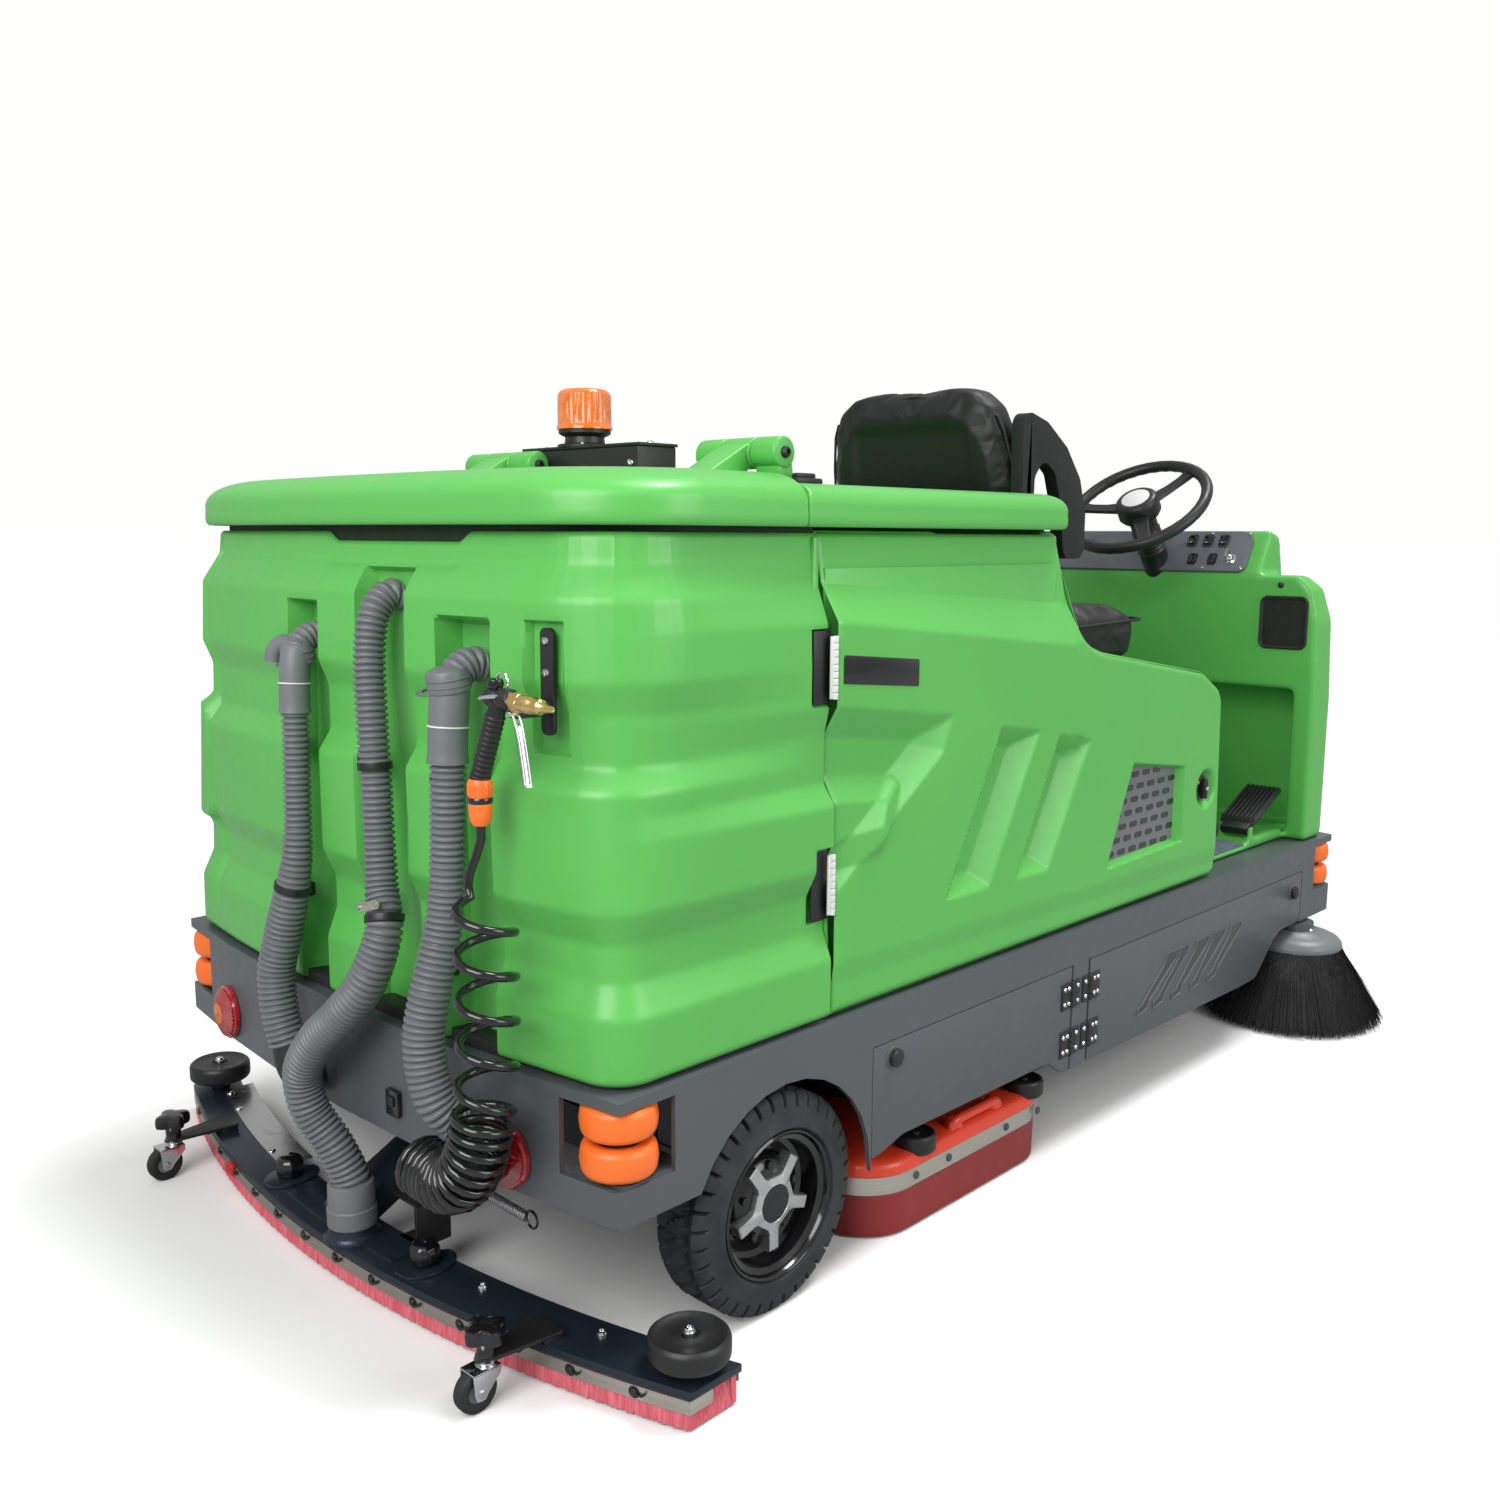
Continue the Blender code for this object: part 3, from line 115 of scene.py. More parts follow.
def softened(part, width, segments=2, angle=30):
    """The part with its edges rounded off."""
    points, faces = part
    work = bmesh.new()
    made = [work.verts.new(p) for p in points]
    for face in faces:
        work.faces.new([made[i] for i in face])
    bmesh.ops.remove_doubles(work, verts=work.verts, dist=1e-6)
    bmesh.ops.recalc_face_normals(work, faces=work.faces)
    edges = [e for e in work.edges if e.is_manifold and e.calc_face_angle(0) > math.radians(angle)]
    if width > 0:
        bmesh.ops.bevel(
            work, geom=edges, offset=width, segments=segments, profile=0.5, affect="EDGES",
            clamp_overlap=True
        )
    work.verts.index_update()
    return from_bmesh(work)


def prism(outline, axis, low, high, soft=0.0, segments=2):
    place = {"x": lambda a, b, h: (h, a, b), "y": lambda a, b, h: (a, h, b), "z": lambda a, b, h: (a, b, h)}
    rows = [[place[axis](a, b, h) for a, b in outline] for h in (low, high)]
    return softened(grid(rows, True, True), soft, segments)


def rect(a0, b0, a1, b1):
    return [(a0, b0), (a1, b0), (a1, b1), (a0, b1)]


def block(low, high, soft=0.0015, segments=2):
    (x0, y0, z0), (x1, y1, z1) = low, high
    return prism(rect(x0, y0, x1, y1), "z", z0, z1, soft, segments)


def facing(axis):
    return Vector((0, 0, 1)).rotation_difference(Vector(axis).normalized()).to_matrix().to_4x4()


def lathe(profile, centre=(0, 0, 0), axis=(0, 0, 1), segments=48, wobble=None):
    """Turns (radius, height) points round an axis. wobble(angle, radius, height) gives new ones."""
    rows = []
    for k in range(segments):
        angle = TURN * k / segments
        row = []
        for radius, height in profile:
            r, h = wobble(angle, radius, height) if wobble else (radius, height)
            row.append((r * math.cos(angle), r * math.sin(angle), h))
        rows.append(row)
    points, faces = grid(rows + [rows[0]])
    count = len(profile)
    total = segments * count
    faces = [tuple(dict.fromkeys(i % total for i in f)) for f in faces]
    return shifted((points[:total], faces), Matrix.Translation(Vector(centre)) @ facing(axis))


def bead(radius, low, high, soft, steps=3, inner=0.0):
    """Profile of a disc or ring with rounded rims, for lathe."""
    low_arc = [
        (radius - soft + soft * math.sin(a), low + soft - soft * math.cos(a))
        for a in np.linspace(0, math.pi / 2, steps + 1)
    ]
    high_arc = [(r, low + high - h) for r, h in reversed(low_arc)]
    chain = [(inner, low)] + low_arc + high_arc + [(inner, high)]
    return chain + [(inner, low)] if inner else chain


def disc(radius, low, high, centre=(0, 0, 0), axis=(0, 0, 1), soft=0.001, segments=32, inner=0.0):
    return lathe(bead(radius, low, high, soft, 3, inner), centre, axis, segments)


def smooth(route, spacing):
    """Points along the Catmull-Rom curve through the route's own points."""
    route = [Vector(p) for p in route]
    padded = [route[0] * 2 - route[1]] + route + [route[-1] * 2 - route[-2]]
    result = []
    for i in range(1, len(padded) - 2):
        a, b, c, d = padded[i - 1:i + 3]
        steps = max(1, round((c - b).length / spacing))
        for k in range(steps):
            t = k / steps
            bend = (2 * a - 5 * b + 4 * c - d) * t * t + (3 * b - a - 3 * c + d) * t ** 3
            result.append(0.5 * (2 * b + (c - a) * t + bend))
    return result + [route[-1]]


def along(points):
    """Distance of each point from the first, along the line."""
    total, result = 0.0, [0.0]
    for a, b in zip(points, points[1:]):
        total += (b - a).length
        result.append(total)
    return result


def sweep(points, radius, sides=16, closed=False):
    """A tube round a line. radius is a number, or a function of the distance along the line."""
    points = [Vector(p) for p in points]
    far = along(points)
    ahead = [(b - a).normalized() for a, b in zip(points, points[1:])]
    ahead = [ahead[0]] + [(a + b).normalized() for a, b in zip(ahead, ahead[1:])] + [ahead[-1]]
    normal = ahead[0].orthogonal().normalized()
    rows = []
    for point, tangent, distance in zip(points, ahead, far):
        normal = (normal - tangent * normal.dot(tangent)).normalized()
        other = tangent.cross(normal)
        r = radius(distance) if callable(radius) else radius
        turn = [TURN * k / sides for k in range(sides)]
        rows.append([point + normal * (r * math.cos(a)) + other * (r * math.sin(a)) for a in turn])
    return grid(rows, True, not closed)


def rounded(outline, radius, corners=None, steps=5):
    """The outline with the numbered corners, or all of them, rounded."""
    result = []
    for i, point in enumerate(outline):
        size = radius[i] if isinstance(radius, (list, tuple)) else radius
        if (corners is not None and i not in corners) or size <= 0:
            result.append(tuple(point))
            continue
        here = Vector(point)
        before = (Vector(outline[i - 1]) - here).normalized()
        after = (Vector(outline[(i + 1) % len(outline)]) - here).normalized()
        half = before.angle(after) / 2
        centre = here + (before + after).normalized() * size / math.sin(half)
        first = here + before * size / math.tan(half) - centre
        last = here + after * size / math.tan(half) - centre
        for k in range(steps + 1):
            spoke = (first * (1 - k / steps) + last * (k / steps)).normalized() * size
            result.append(tuple(centre + spoke))
    return result


def polygon_depth(x, z, outline):
    """Signed distance from each grid point to the polygon's edge, positive inside. x and z are arrays."""
    best = np.full(x.shape, 1e9)
    inside = np.zeros(x.shape, bool)
    for (ax, az), (bx, bz) in zip(outline, outline[1:] + outline[:1]):
        ex, ez = bx - ax, bz - az
        t = np.clip(((x - ax) * ex + (z - az) * ez) / (ex * ex + ez * ez), 0, 1)
        best = np.minimum(best, np.hypot(x - ax - t * ex, z - az - t * ez))
        if az != bz:
            inside ^= ((az > z) != (bz > z)) & (x < (bx - ax) * (z - az) / (bz - az) + ax)
    return np.where(inside, best, -best)


def step(value, low, high):
    t = np.clip((value - low) / (high - low), 0, 1)
    return t * t * (3 - 2 * t)


# ---- pieces -------------------------------------------------------------------------------

SMOOTH_ANGLE = math.radians(38)


def piece(name, body, parts, replaces=(), angle=SMOOTH_ANGLE):
    """Joins (part, material name) pairs into one named object that rides on a body."""
    points, faces, finishes, used = [], [], [], []
    for (part_points, part_faces), material in parts:
        if material not in used:
            used.append(material)
        base = len(points)
        points += [tuple(Vector(p) + AXLE) for p in part_points]
        faces += [tuple(i + base for i in face) for face in part_faces]
        finishes += [used.index(material)] * len(part_faces)
    mesh = bpy.data.meshes.new(name)
    mesh.from_pydata(points, [], faces)
    mesh.polygons.foreach_set("material_index", finishes)
    mesh.validate()
    mesh.shade_smooth()
    mesh.set_sharp_from_angle(angle=angle)
    for material in used:
        mesh.materials.append(MATERIALS[material])
    made = bpy.data.objects.new(name, mesh)
    bpy.context.scene.collection.objects.link(made)
    if body:
        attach(made, body)
    if replaces:
        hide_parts(*replaces)
    return made


# ---- materials ----------------------------------------------------------------------------

MATERIALS = {}


class Nodes:
    """A short way to write one material's node tree."""

    def __init__(self, name):
        self.material = bpy.data.materials.new(name)
        self.material.use_nodes = True
        self.tree = self.material.node_tree
        self.shader = self.tree.nodes["Principled BSDF"]
        self.place = self.tree.nodes.new("ShaderNodeTexCoord").outputs["Object"]
        MATERIALS[name] = self.material

    def add(self, kind, values=(), **settings):
        node = self.tree.nodes.new(kind)
        for key, value in settings.items():
            setattr(node, key, value)
        for key, value in dict(values).items():
            self.put(node.inputs[key], value)
        return node

    def put(self, socket, value):
        if isinstance(value, bpy.types.NodeSocket):
            self.tree.links.new(value, socket)
        else:
            socket.default_value = value

    def set(self, **values):
        for key, value in values.items():
            self.put(self.shader.inputs[key.replace("_", " ")], value)

    def scaled(self, scale):
        return self.add("ShaderNodeMapping", {"Vector": self.place, "Scale": scale}).outputs["Vector"]

    def noise(self, scale, detail=3.0, rough=0.5, where=None):
        values = {"Vector": where or self.place, "Scale": scale, "Detail": detail, "Roughness": rough}
        return self.add("ShaderNodeTexNoise", values).outputs["Fac"]

    def cells(self, scale, feature="F1", where=None):
        node = self.add(
            "ShaderNodeTexVoronoi", {"Vector": where or self.place, "Scale": scale}, feature=feature
        )
        return node.outputs["Distance"]

    def ramp(self, value, low, high, start=0.0, end=1.0):
        values = {"Value": value, "From Min": low, "From Max": high, "To Min": start, "To Max": end}
        return self.add("ShaderNodeMapRange", values).outputs["Result"]

    def mix(self, share, first, second):
        node = self.add("ShaderNodeMix", data_type="RGBA")
        for socket, value in ((node.inputs[0], share), (node.inputs[6], first), (node.inputs[7], second)):
            if isinstance(value, tuple):
                value = (*value, 1)
            self.put(socket, value)
        return node.outputs[2]

    def maths(self, operation, first, second=0.0):
        return self.add("ShaderNodeMath", {0: first, 1: second}, operation=operation).outputs[0]

    def bump(self, height, strength, distance=0.001, under=None):
        values = {"Height": height, "Strength": strength, "Distance": distance}
        if under:
            values["Normal"] = under
        return self.add("ShaderNodeBump", values).outputs["Normal"]


def shade(colour, factor):
    return tuple(min(1.0, c * factor) for c in colour)


def plastic(
    name, colour, roughness, grain=900.0, grain_depth=0.25, mottle=0.06, coat=0.0, scuff=0.0, metallic=0.0,
    wave=0.0
):
    """Moulded or painted surface: fine grain, slow drift of colour, and rubbed patches."""
    n = Nodes(name)
    drift = n.noise(3.2, 4.0)
    fleck = n.noise(160.0, 2.0)
    tint = n.mix(n.ramp(drift, 0.3, 0.7), shade(colour, 1 - mottle), shade(colour, 1 + mottle))
    tint = n.mix(n.ramp(fleck, 0.55, 0.8, 0, 0.25), tint, shade(colour, 1 - 2.5 * mottle))
    if scuff:
        streaks = n.noise(26.0, 6.0, 0.65, n.scaled((1.0, 1.0, 4.0)))
        tint = n.mix(n.ramp(streaks, 0.62, 0.78, 0, scuff), tint, shade(colour, 1.9))
    rough = n.ramp(n.noise(38.0, 5.0), 0.25, 0.75, roughness - 0.05, roughness + 0.07)
    normal = n.bump(n.noise(grain, 2.0), grain_depth, 0.0004)
    if wave:
        normal = n.bump(n.noise(5.5, 2.0), wave, 0.01, normal)
    n.set(Base_Color=tint, Roughness=rough, Metallic=metallic, Normal=normal, Coat_Weight=coat)
    return n


def brushed(name, colour, roughness, stretch=(12.0, 900.0, 900.0), depth=0.08):
    n = Nodes(name)
    lines = n.noise(1.0, 4.0, 0.6, n.scaled(stretch))
    marks = n.noise(45.0, 5.0)
    tint = n.mix(n.ramp(lines, 0.3, 0.7), shade(colour, 0.86), shade(colour, 1.08))
    rough = n.maths(
        "ADD", n.ramp(lines, 0.3, 0.7, roughness - 0.06, roughness + 0.06),
        n.ramp(marks, 0.55, 0.75, 0, 0.12)
    )
    n.set(Base_Color=tint, Roughness=rough, Metallic=1.0, Normal=n.bump(lines, depth, 0.0003))
    return n


def lens(name, colour, roughness=0.08):
    n = Nodes(name)
    deep = n.noise(60.0, 3.0)
    tint = n.mix(n.ramp(deep, 0.3, 0.7), shade(colour, 0.8), shade(colour, 1.15))
    n.set(Base_Color=tint, Roughness=n.ramp(n.noise(200.0), 0.3, 0.7, roughness, roughness + 0.06))
    n.set(Transmission_Weight=0.12, IOR=1.49, Coat_Weight=0.6, Normal=n.bump(n.noise(90.0), 0.06, 0.0006))
    return n


def bristles(name, colour, bright, stretch):
    """Fine strands that run along the axis given the small stretch."""
    n = Nodes(name)
    strands = n.noise(1.0, 3.0, 0.7, n.scaled(stretch))
    clumps = n.noise(1.0, 2.0, 0.5, n.scaled(tuple(s / 9 for s in stretch)))
    tint = n.mix(n.ramp(strands, 0.35, 0.65), colour, bright)
    tint = n.mix(n.ramp(clumps, 0.4, 0.65, 0, 0.6), tint, colour)
    n.set(
        Base_Color=tint, Roughness=n.ramp(strands, 0.3, 0.7, 0.45, 0.7), Normal=n.bump(strands, 0.6, 0.0015)
    )
    return n


def leather(name, colour):
    n = Nodes(name)
    grain = n.cells(520.0)
    creases = n.noise(14.0, 5.0, 0.6)
    tint = n.mix(n.ramp(grain, 0.0, 0.6), shade(colour, 0.6), shade(colour, 1.3))
    rough = n.ramp(n.noise(30.0, 4.0), 0.3, 0.7, 0.42, 0.56)
    normal = n.bump(creases, 0.12, 0.004, n.bump(grain, 0.35, 0.0005))
    n.set(Base_Color=tint, Roughness=rough, Normal=normal, Specular_IOR_Level=0.45)
    return n


def mat_fabric(name, colour, pale):
    """Looped floor mat with pale streaks."""
    n = Nodes(name)
    loops = n.cells(330.0)
    streaks = n.noise(1.0, 5.0, 0.7, n.scaled((30.0, 150.0, 150.0)))
    tint = n.mix(n.ramp(streaks, 0.48, 0.66), colour, pale)
    tint = n.mix(n.ramp(loops, 0.0, 0.5, 0.0, 0.5), tint, shade(colour, 0.4))
    n.set(Base_Color=tint, Roughness=0.9, Normal=n.bump(loops, 0.8, 0.002), Sheen_Weight=0.3)
    return n


FLOOR_BOUNCE = (0.34, 0.345, 0.35)  # what the floor throws back on the machine


def floor_finish():
    n = Nodes("floor")
    pale = (0.92, 0.92, 0.915)
    seen = n.tree.nodes.new("ShaderNodeLightPath").outputs["Is Camera Ray"]
    tint = n.mix(n.ramp(n.noise(1.5, 4.0), 0.3, 0.7), shade(pale, 0.99), shade(pale, 1.01))
    tint = n.mix(seen, FLOOR_BOUNCE, tint)
    n.set(Base_Color=tint, Roughness=0.75, Specular_IOR_Level=0.15)


def tyre_rubber():
    """Dusty black rubber, with a faint cloth pattern and greyer worn faces."""
    n = Nodes("tyre")
    dust = n.noise(18.0, 6.0, 0.65)
    tint = n.mix(n.ramp(dust, 0.35, 0.7), (0.010, 0.011, 0.012), (0.034, 0.038, 0.040))
    grain = n.noise(700.0, 3.0)
    rough = n.ramp(dust, 0.3, 0.7, 0.5, 0.68)
    n.set(Base_Color=tint, Roughness=rough, Normal=n.bump(grain, 0.4, 0.0006))


def materials():
    green = (0.100, 0.455, 0.082)
    plastic("green", green, 0.36, 1100.0, 0.22, 0.035, 0.08, 0.0, 0.0, 0.05)
    plastic("green_edge", green, 0.40, 1100.0, 0.30, 0.05)
    plastic("slate", (0.092, 0.103, 0.113), 0.38, 1500.0, 0.30, 0.05, 0.06, 0.05, 0.15)
    plastic("black", (0.012, 0.012, 0.013), 0.42, 1200.0, 0.30, 0.2, 0.05, 0.03)
    plastic("gloss_black", (0.006, 0.006, 0.007), 0.16, 500.0, 0.05, 0.2, 0.5)
    plastic("rubber", (0.016, 0.017, 0.018), 0.58, 600.0, 0.4, 0.25)
    plastic("grey", (0.155, 0.165, 0.175), 0.40, 1100.0, 0.2, 0.07)
    plastic("dark_grey", (0.055, 0.060, 0.065), 0.45, 900.0, 0.3, 0.1)
    plastic("orange", (0.95, 0.175, 0.020), 0.38, 900.0, 0.2, 0.05, 0.1)
    plastic("red_cover", (0.78, 0.055, 0.022), 0.33, 900.0, 0.2, 0.05, 0.15)
    plastic("red_skirt", (0.26, 0.022, 0.020), 0.5, 600.0, 0.3, 0.1)
    plastic("plate", (0.022, 0.036, 0.050), 0.30, 1400.0, 0.2, 0.12, 0.1, 0.05, 0.5)
    # dark copy of the tank green: painted shade for the gaps below the lids
    plastic("lid_gap_shade_green", (0.004, 0.022, 0.005), 0.7, 500.0, 0.2, 0.1)
    plastic("white", (0.72, 0.72, 0.71), 0.45, 700.0, 0.1, 0.04)
    plastic("display", (0.05, 0.055, 0.06), 0.12, 400.0, 0.03, 0.1, 0.6)
    plastic("latch_red", (0.6, 0.02, 0.02), 0.35)
    brushed("steel", (0.62, 0.62, 0.63), 0.24)
    brushed("chrome", (0.80, 0.80, 0.82), 0.10, (300.0, 300.0, 300.0), 0.02)
    brushed("strip", (0.63, 0.60, 0.53), 0.36, (6.0, 6.0, 900.0), 0.1)
    brushed("brass", (0.80, 0.58, 0.24), 0.22, (300.0, 300.0, 300.0), 0.04)
    brushed("cast", (0.62, 0.63, 0.63), 0.42, (400.0, 400.0, 400.0), 0.4)
    plastic("panel_grey", (0.150, 0.156, 0.180), 0.40, 1300.0, 0.2, 0.06, 0.1, 0.02, 0.3)
    lens("amber", (0.98, 0.18, 0.003))
    lens("red_lens", (0.42, 0.004, 0.008))
    bristles("pink_bristle", (0.62, 0.085, 0.12), (0.86, 0.24, 0.28), (420.0, 420.0, 12.0))
    bristles("black_bristle", (0.006, 0.006, 0.006), (0.05, 0.05, 0.052), (300.0, 300.0, 12.0))
    leather("vinyl", (0.006, 0.0066, 0.0066))
    plastic("piping", (0.010, 0.010, 0.011), 0.5, 700.0, 0.4, 0.2)
    mat_fabric("mat", (0.012, 0.050, 0.085), (0.10, 0.22, 0.30))
    floor_finish()
    tyre_rubber()


NODE_FINISH = {
    "slate": ("chassis_frame", "front_fork", "side_brush_arm_left", "side_brush_arm_right"),
    "black": ("battery_pack",),
    "dark_grey": ("debris_hopper",),
}


# ---- camera, light and floor ----------------------------------------------------------------

CAMERA_PLACE = Vector((-1.3743, -1.8461, 1.1156))  # from the rear axle
CAMERA_YAW = math.radians(43.92)
CAMERA_PITCH = math.radians(8.81)
CAMERA_ROLL = math.radians(0.297)
CAMERA_LENS = 33.195


def camera():
    data = bpy.data.cameras.new("camera")
    data.lens = CAMERA_LENS
    view = bpy.data.objects.new("camera", data)
    bpy.context.scene.collection.objects.link(view)
    ahead = Vector((math.cos(CAMERA_YAW), math.sin(CAMERA_YAW), 0)) * math.cos(CAMERA_PITCH)
    ahead.z = -math.sin(CAMERA_PITCH)
    right = Vector((math.sin(CAMERA_YAW), -math.cos(CAMERA_YAW), 0))
    up = right.cross(ahead)
    turned = right * math.cos(CAMERA_ROLL) + up * math.sin(CAMERA_ROLL)
    upward = up * math.cos(CAMERA_ROLL) - right * math.sin(CAMERA_ROLL)
    turn = Matrix((turned, upward, -ahead)).transposed()
    view.matrix_world = Matrix.Translation(CAMERA_PLACE + AXLE) @ turn.to_4x4()
    bpy.context.scene.camera = view


def area_light(name, place, target, size, power):
    data = bpy.data.lights.new(name, "AREA")
    data.shape = "SQUARE"
    data.size = size
    data.energy = power
    lamp = bpy.data.objects.new(name, data)
    bpy.context.scene.collection.objects.link(lamp)
    lamp.location = place
    lamp.rotation_mode = "QUATERNION"
    lamp.rotation_quaternion = (Vector(target) - Vector(place)).to_track_quat("-Z", "Y")


def soft_sun(name, toward, strength, spread):
    data = bpy.data.lights.new(name, "SUN")
    data.energy = strength
    data.angle = math.radians(spread)
    lamp = bpy.data.objects.new(name, data)
    bpy.context.scene.collection.objects.link(lamp)
    lamp.rotation_mode = "QUATERNION"
    lamp.rotation_quaternion = Vector(toward).to_track_quat("-Z", "Y")


def studio():
    """White all round, dimmer for what it lights than for what the camera sees of it."""
    world = bpy.data.worlds.new("studio")
    bpy.context.scene.world = world
    world.use_nodes = True
    tree = world.node_tree
    seen = tree.nodes.new("ShaderNodeLightPath").outputs["Is Camera Ray"]
    strength = tree.nodes.new("ShaderNodeMapRange")
    strength.inputs["To Min"].default_value = SKY_LIGHT
    strength.inputs["To Max"].default_value = 1.0
    tree.links.new(seen, strength.inputs["Value"])
    background = tree.nodes["Background"]
    background.inputs["Color"].default_value = (1, 1, 0.992, 1)
    tree.links.new(strength.outputs["Result"], background.inputs["Strength"])
    soft_sun("key", (-0.32, 0.16, -0.93), 2.15, 20)
    area_light("rear_fill", (-3.6, -1.2, 2.6), (-0.8, 0, 0.6), 2.4, 105)
    area_light("side_fill", (0.6, -4.4, 2.4), (0.3, 0, 0.6), 2.4, 70)
    bpy.context.scene.view_settings.view_transform = "Standard"


SKY_LIGHT = 0.50
FLOOR_REACH = 300.0


def floor():
    corners = [(x, y, 0) for x, y in ((-1, -1), (1, -1), (1, 1), (-1, 1))]
    mesh = bpy.data.meshes.new("floor")
    mesh.from_pydata([Vector(c) * FLOOR_REACH for c in corners], [], [(0, 1, 2, 3)])
    ground = bpy.data.objects.new("floor", mesh)
    bpy.context.scene.collection.objects.link(ground)
    mesh.materials.append(MATERIALS["floor"])


# ---- cords ----------------------------------------------------------------------------------

HOSE_RADIUS = 0.029
RIB_PITCH = 0.0092
RIB_DEPTH = 0.0046
LEAD_RADIUS = 0.006
HELIX_RADIUS = 0.037
HELIX_STEPS = 16
DRAIN_ROUTE = (
    (-0.3055, 0.080, 0.964), (-0.330, 0.080, 0.964), (-0.352, 0.078, 0.950), (-0.362, 0.074, 0.915),
    (-0.366, 0.072, 0.85), (-0.370, 0.068, 0.75), (-0.378, 0.064, 0.63), (-0.392, 0.090, 0.51),
    (-0.400, 0.102, 0.45), (-0.402, 0.094, 0.39), (-0.398, 0.078, 0.335),
)
SUCTION_ROUTE = (
    (-0.3055, -0.122, 1.030), (-0.322, -0.122, 1.030), (-0.344, -0.124, 1.005), (-0.356, -0.128, 0.95),
    (-0.362, -0.138, 0.87), (-0.364, -0.146, 0.78), (-0.366, -0.152, 0.70), (-0.372, -0.164, 0.63),
    (-0.384, -0.186, 0.57), (-0.402, -0.166, 0.495), (-0.412, -0.110, 0.435), (-0.418, -0.050, 0.385),
    (-0.420, -0.004, 0.325), (-0.412, -0.004, 0.265), (-0.388, -0.030, 0.205), (-0.372, -0.046, 0.152),
    (-0.372, -0.046, 0.1184),
)
DIRTY_ROUTE = (
    (-0.3055, -0.317, 0.945), (-0.325, -0.317, 0.945), (-0.348, -0.317, 0.925), (-0.356, -0.317, 0.87),
    (-0.360, -0.317, 0.78), (-0.364, -0.317, 0.68), (-0.372, -0.316, 0.60), (-0.392, -0.314, 0.52),
    (-0.404, -0.312, 0.46), (-0.406, -0.318, 0.41), (-0.400, -0.330, 0.368), (-0.384, -0.340, 0.345),
    (-0.372, -0.343, 0.340),
)
LEAD_ROUTE = (
    (-0.378, -0.4161, 0.7520), (-0.378, -0.4161, 0.735), (-0.383, -0.410, 0.710), (-0.389, -0.405, 0.690),
    (-0.391, -0.404, 0.675), (-0.391, -0.404, 0.6604),
)
COIL_ROUTE = (
    (-0.395, -0.445, 0.660), (-0.395, -0.445, 0.600), (-0.395, -0.445, 0.540), (-0.396, -0.445, 0.480),
    (-0.400, -0.445, 0.425), (-0.406, -0.444, 0.380), (-0.412, -0.438, 0.335), (-0.416, -0.415, 0.295),
    (-0.416, -0.380, 0.276), (-0.412, -0.345, 0.274), (-0.412, -0.310, 0.274),
)
DRAIN_SIZE = (0.0205, (0.30, 0.50))
SUCTION_SIZE = (0.0225, (0.35, 0.60))
DIRTY_SIZE = (0.0240, (0.30, 0.50))
OPEN_PITCH = 0.058
TIGHT_PITCH = 0.0140
OPEN_LENGTH = 0.255  # of the coil's axis, from its top, before its turns close up


def coil_turns(distance):
    """How many turns the curly hose has made at this distance down its axis."""
    closing = 0.05
    t = min(max((distance - OPEN_LENGTH) / closing, 0.0), 1.0)
    opened = min(distance, OPEN_LENGTH) / OPEN_PITCH
    part = closing * (t - t ** 3 + t ** 4 / 2) / OPEN_PITCH + closing * (t ** 3 - t ** 4 / 2) / TIGHT_PITCH
    after = max(distance - OPEN_LENGTH - closing, 0.0) / TIGHT_PITCH
    return opened + part + after


def curly_line():
    """Centreline of the lead and the curly hose: from the gun, round the coil, into the chassis."""
    lead = smooth(LEAD_ROUTE, 0.012)
    axis = smooth(COIL_ROUTE, 0.0012)
    far = along(axis)
    ahead = [(b - a).normalized() for a, b in zip(axis, axis[1:])]
    ahead.append(ahead[-1])
    turns = [coil_turns(d) for d in far]
    total = turns[-1]
    normal = Vector((0.1, 1, 0)).normalized()
    frames = []
    for point, tangent in zip(axis, ahead):
        normal = (normal - tangent * normal.dot(tangent)).normalized()
        frames.append((point, normal, tangent.cross(normal)))
    steps = math.ceil(total * HELIX_STEPS)
    line = lead[:-1]
    for k in range(steps + 1):
        turn = total * k / steps
        place = float(np.interp(turn, turns, range(len(axis))))
        i = min(int(place), len(axis) - 2)
        mixed = place - i
        point = frames[i][0].lerp(frames[i + 1][0], mixed)
        a = TURN * turn
        line.append(
            point + frames[i][1] * (
                HELIX_RADIUS * math.cos(a)
            ) - frames[i][2] * (HELIX_RADIUS * math.sin(a))
        )
    return line


def cord_curve(name, points, radius, material):
    curve = bpy.data.curves.new(name, "CURVE")
    curve.dimensions = "3D"
    curve.bevel_depth = radius
    curve.bevel_resolution = 3
    curve.use_fill_caps = True
    spline = curve.splines.new("POLY")
    spline.points.add(len(points) - 1)
    for target, point in zip(spline.points, points):
        target.co = (*(point + AXLE), 1)
    curve.materials.append(MATERIALS[material])
    made = bpy.data.objects.new(name, curve)
    bpy.context.scene.collection.objects.link(made)
    return made


def curly_hose():
    line = curly_line()
    hose = cord_curve("curly_air_hose", line, LEAD_RADIUS, "gloss_black")
    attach(hose, "root")
    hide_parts("gun_hose", "curly_hose")
    length = along(line)[-1]


def hose_size(distance, narrow, swell):
    """The hose's outer radius: narrow where it is stretched at the top, full size from swell down."""
    t = min(max((distance - swell[0]) / (swell[1] - swell[0]), 0.0), 1.0)
    return narrow + (HOSE_RADIUS - narrow) * t * t * (3 - 2 * t)


def ribbed(route, narrow, swell):
    """A corrugated hose with sharp grooves between round ribs."""
    def radius(distance):
        groove = (0.5 - 0.5 * math.cos(TURN * distance / RIB_PITCH)) ** 2.2
        return hose_size(distance, narrow, swell) - RIB_DEPTH * groove
    return sweep(smooth(route, RIB_PITCH / 8), radius, 28)


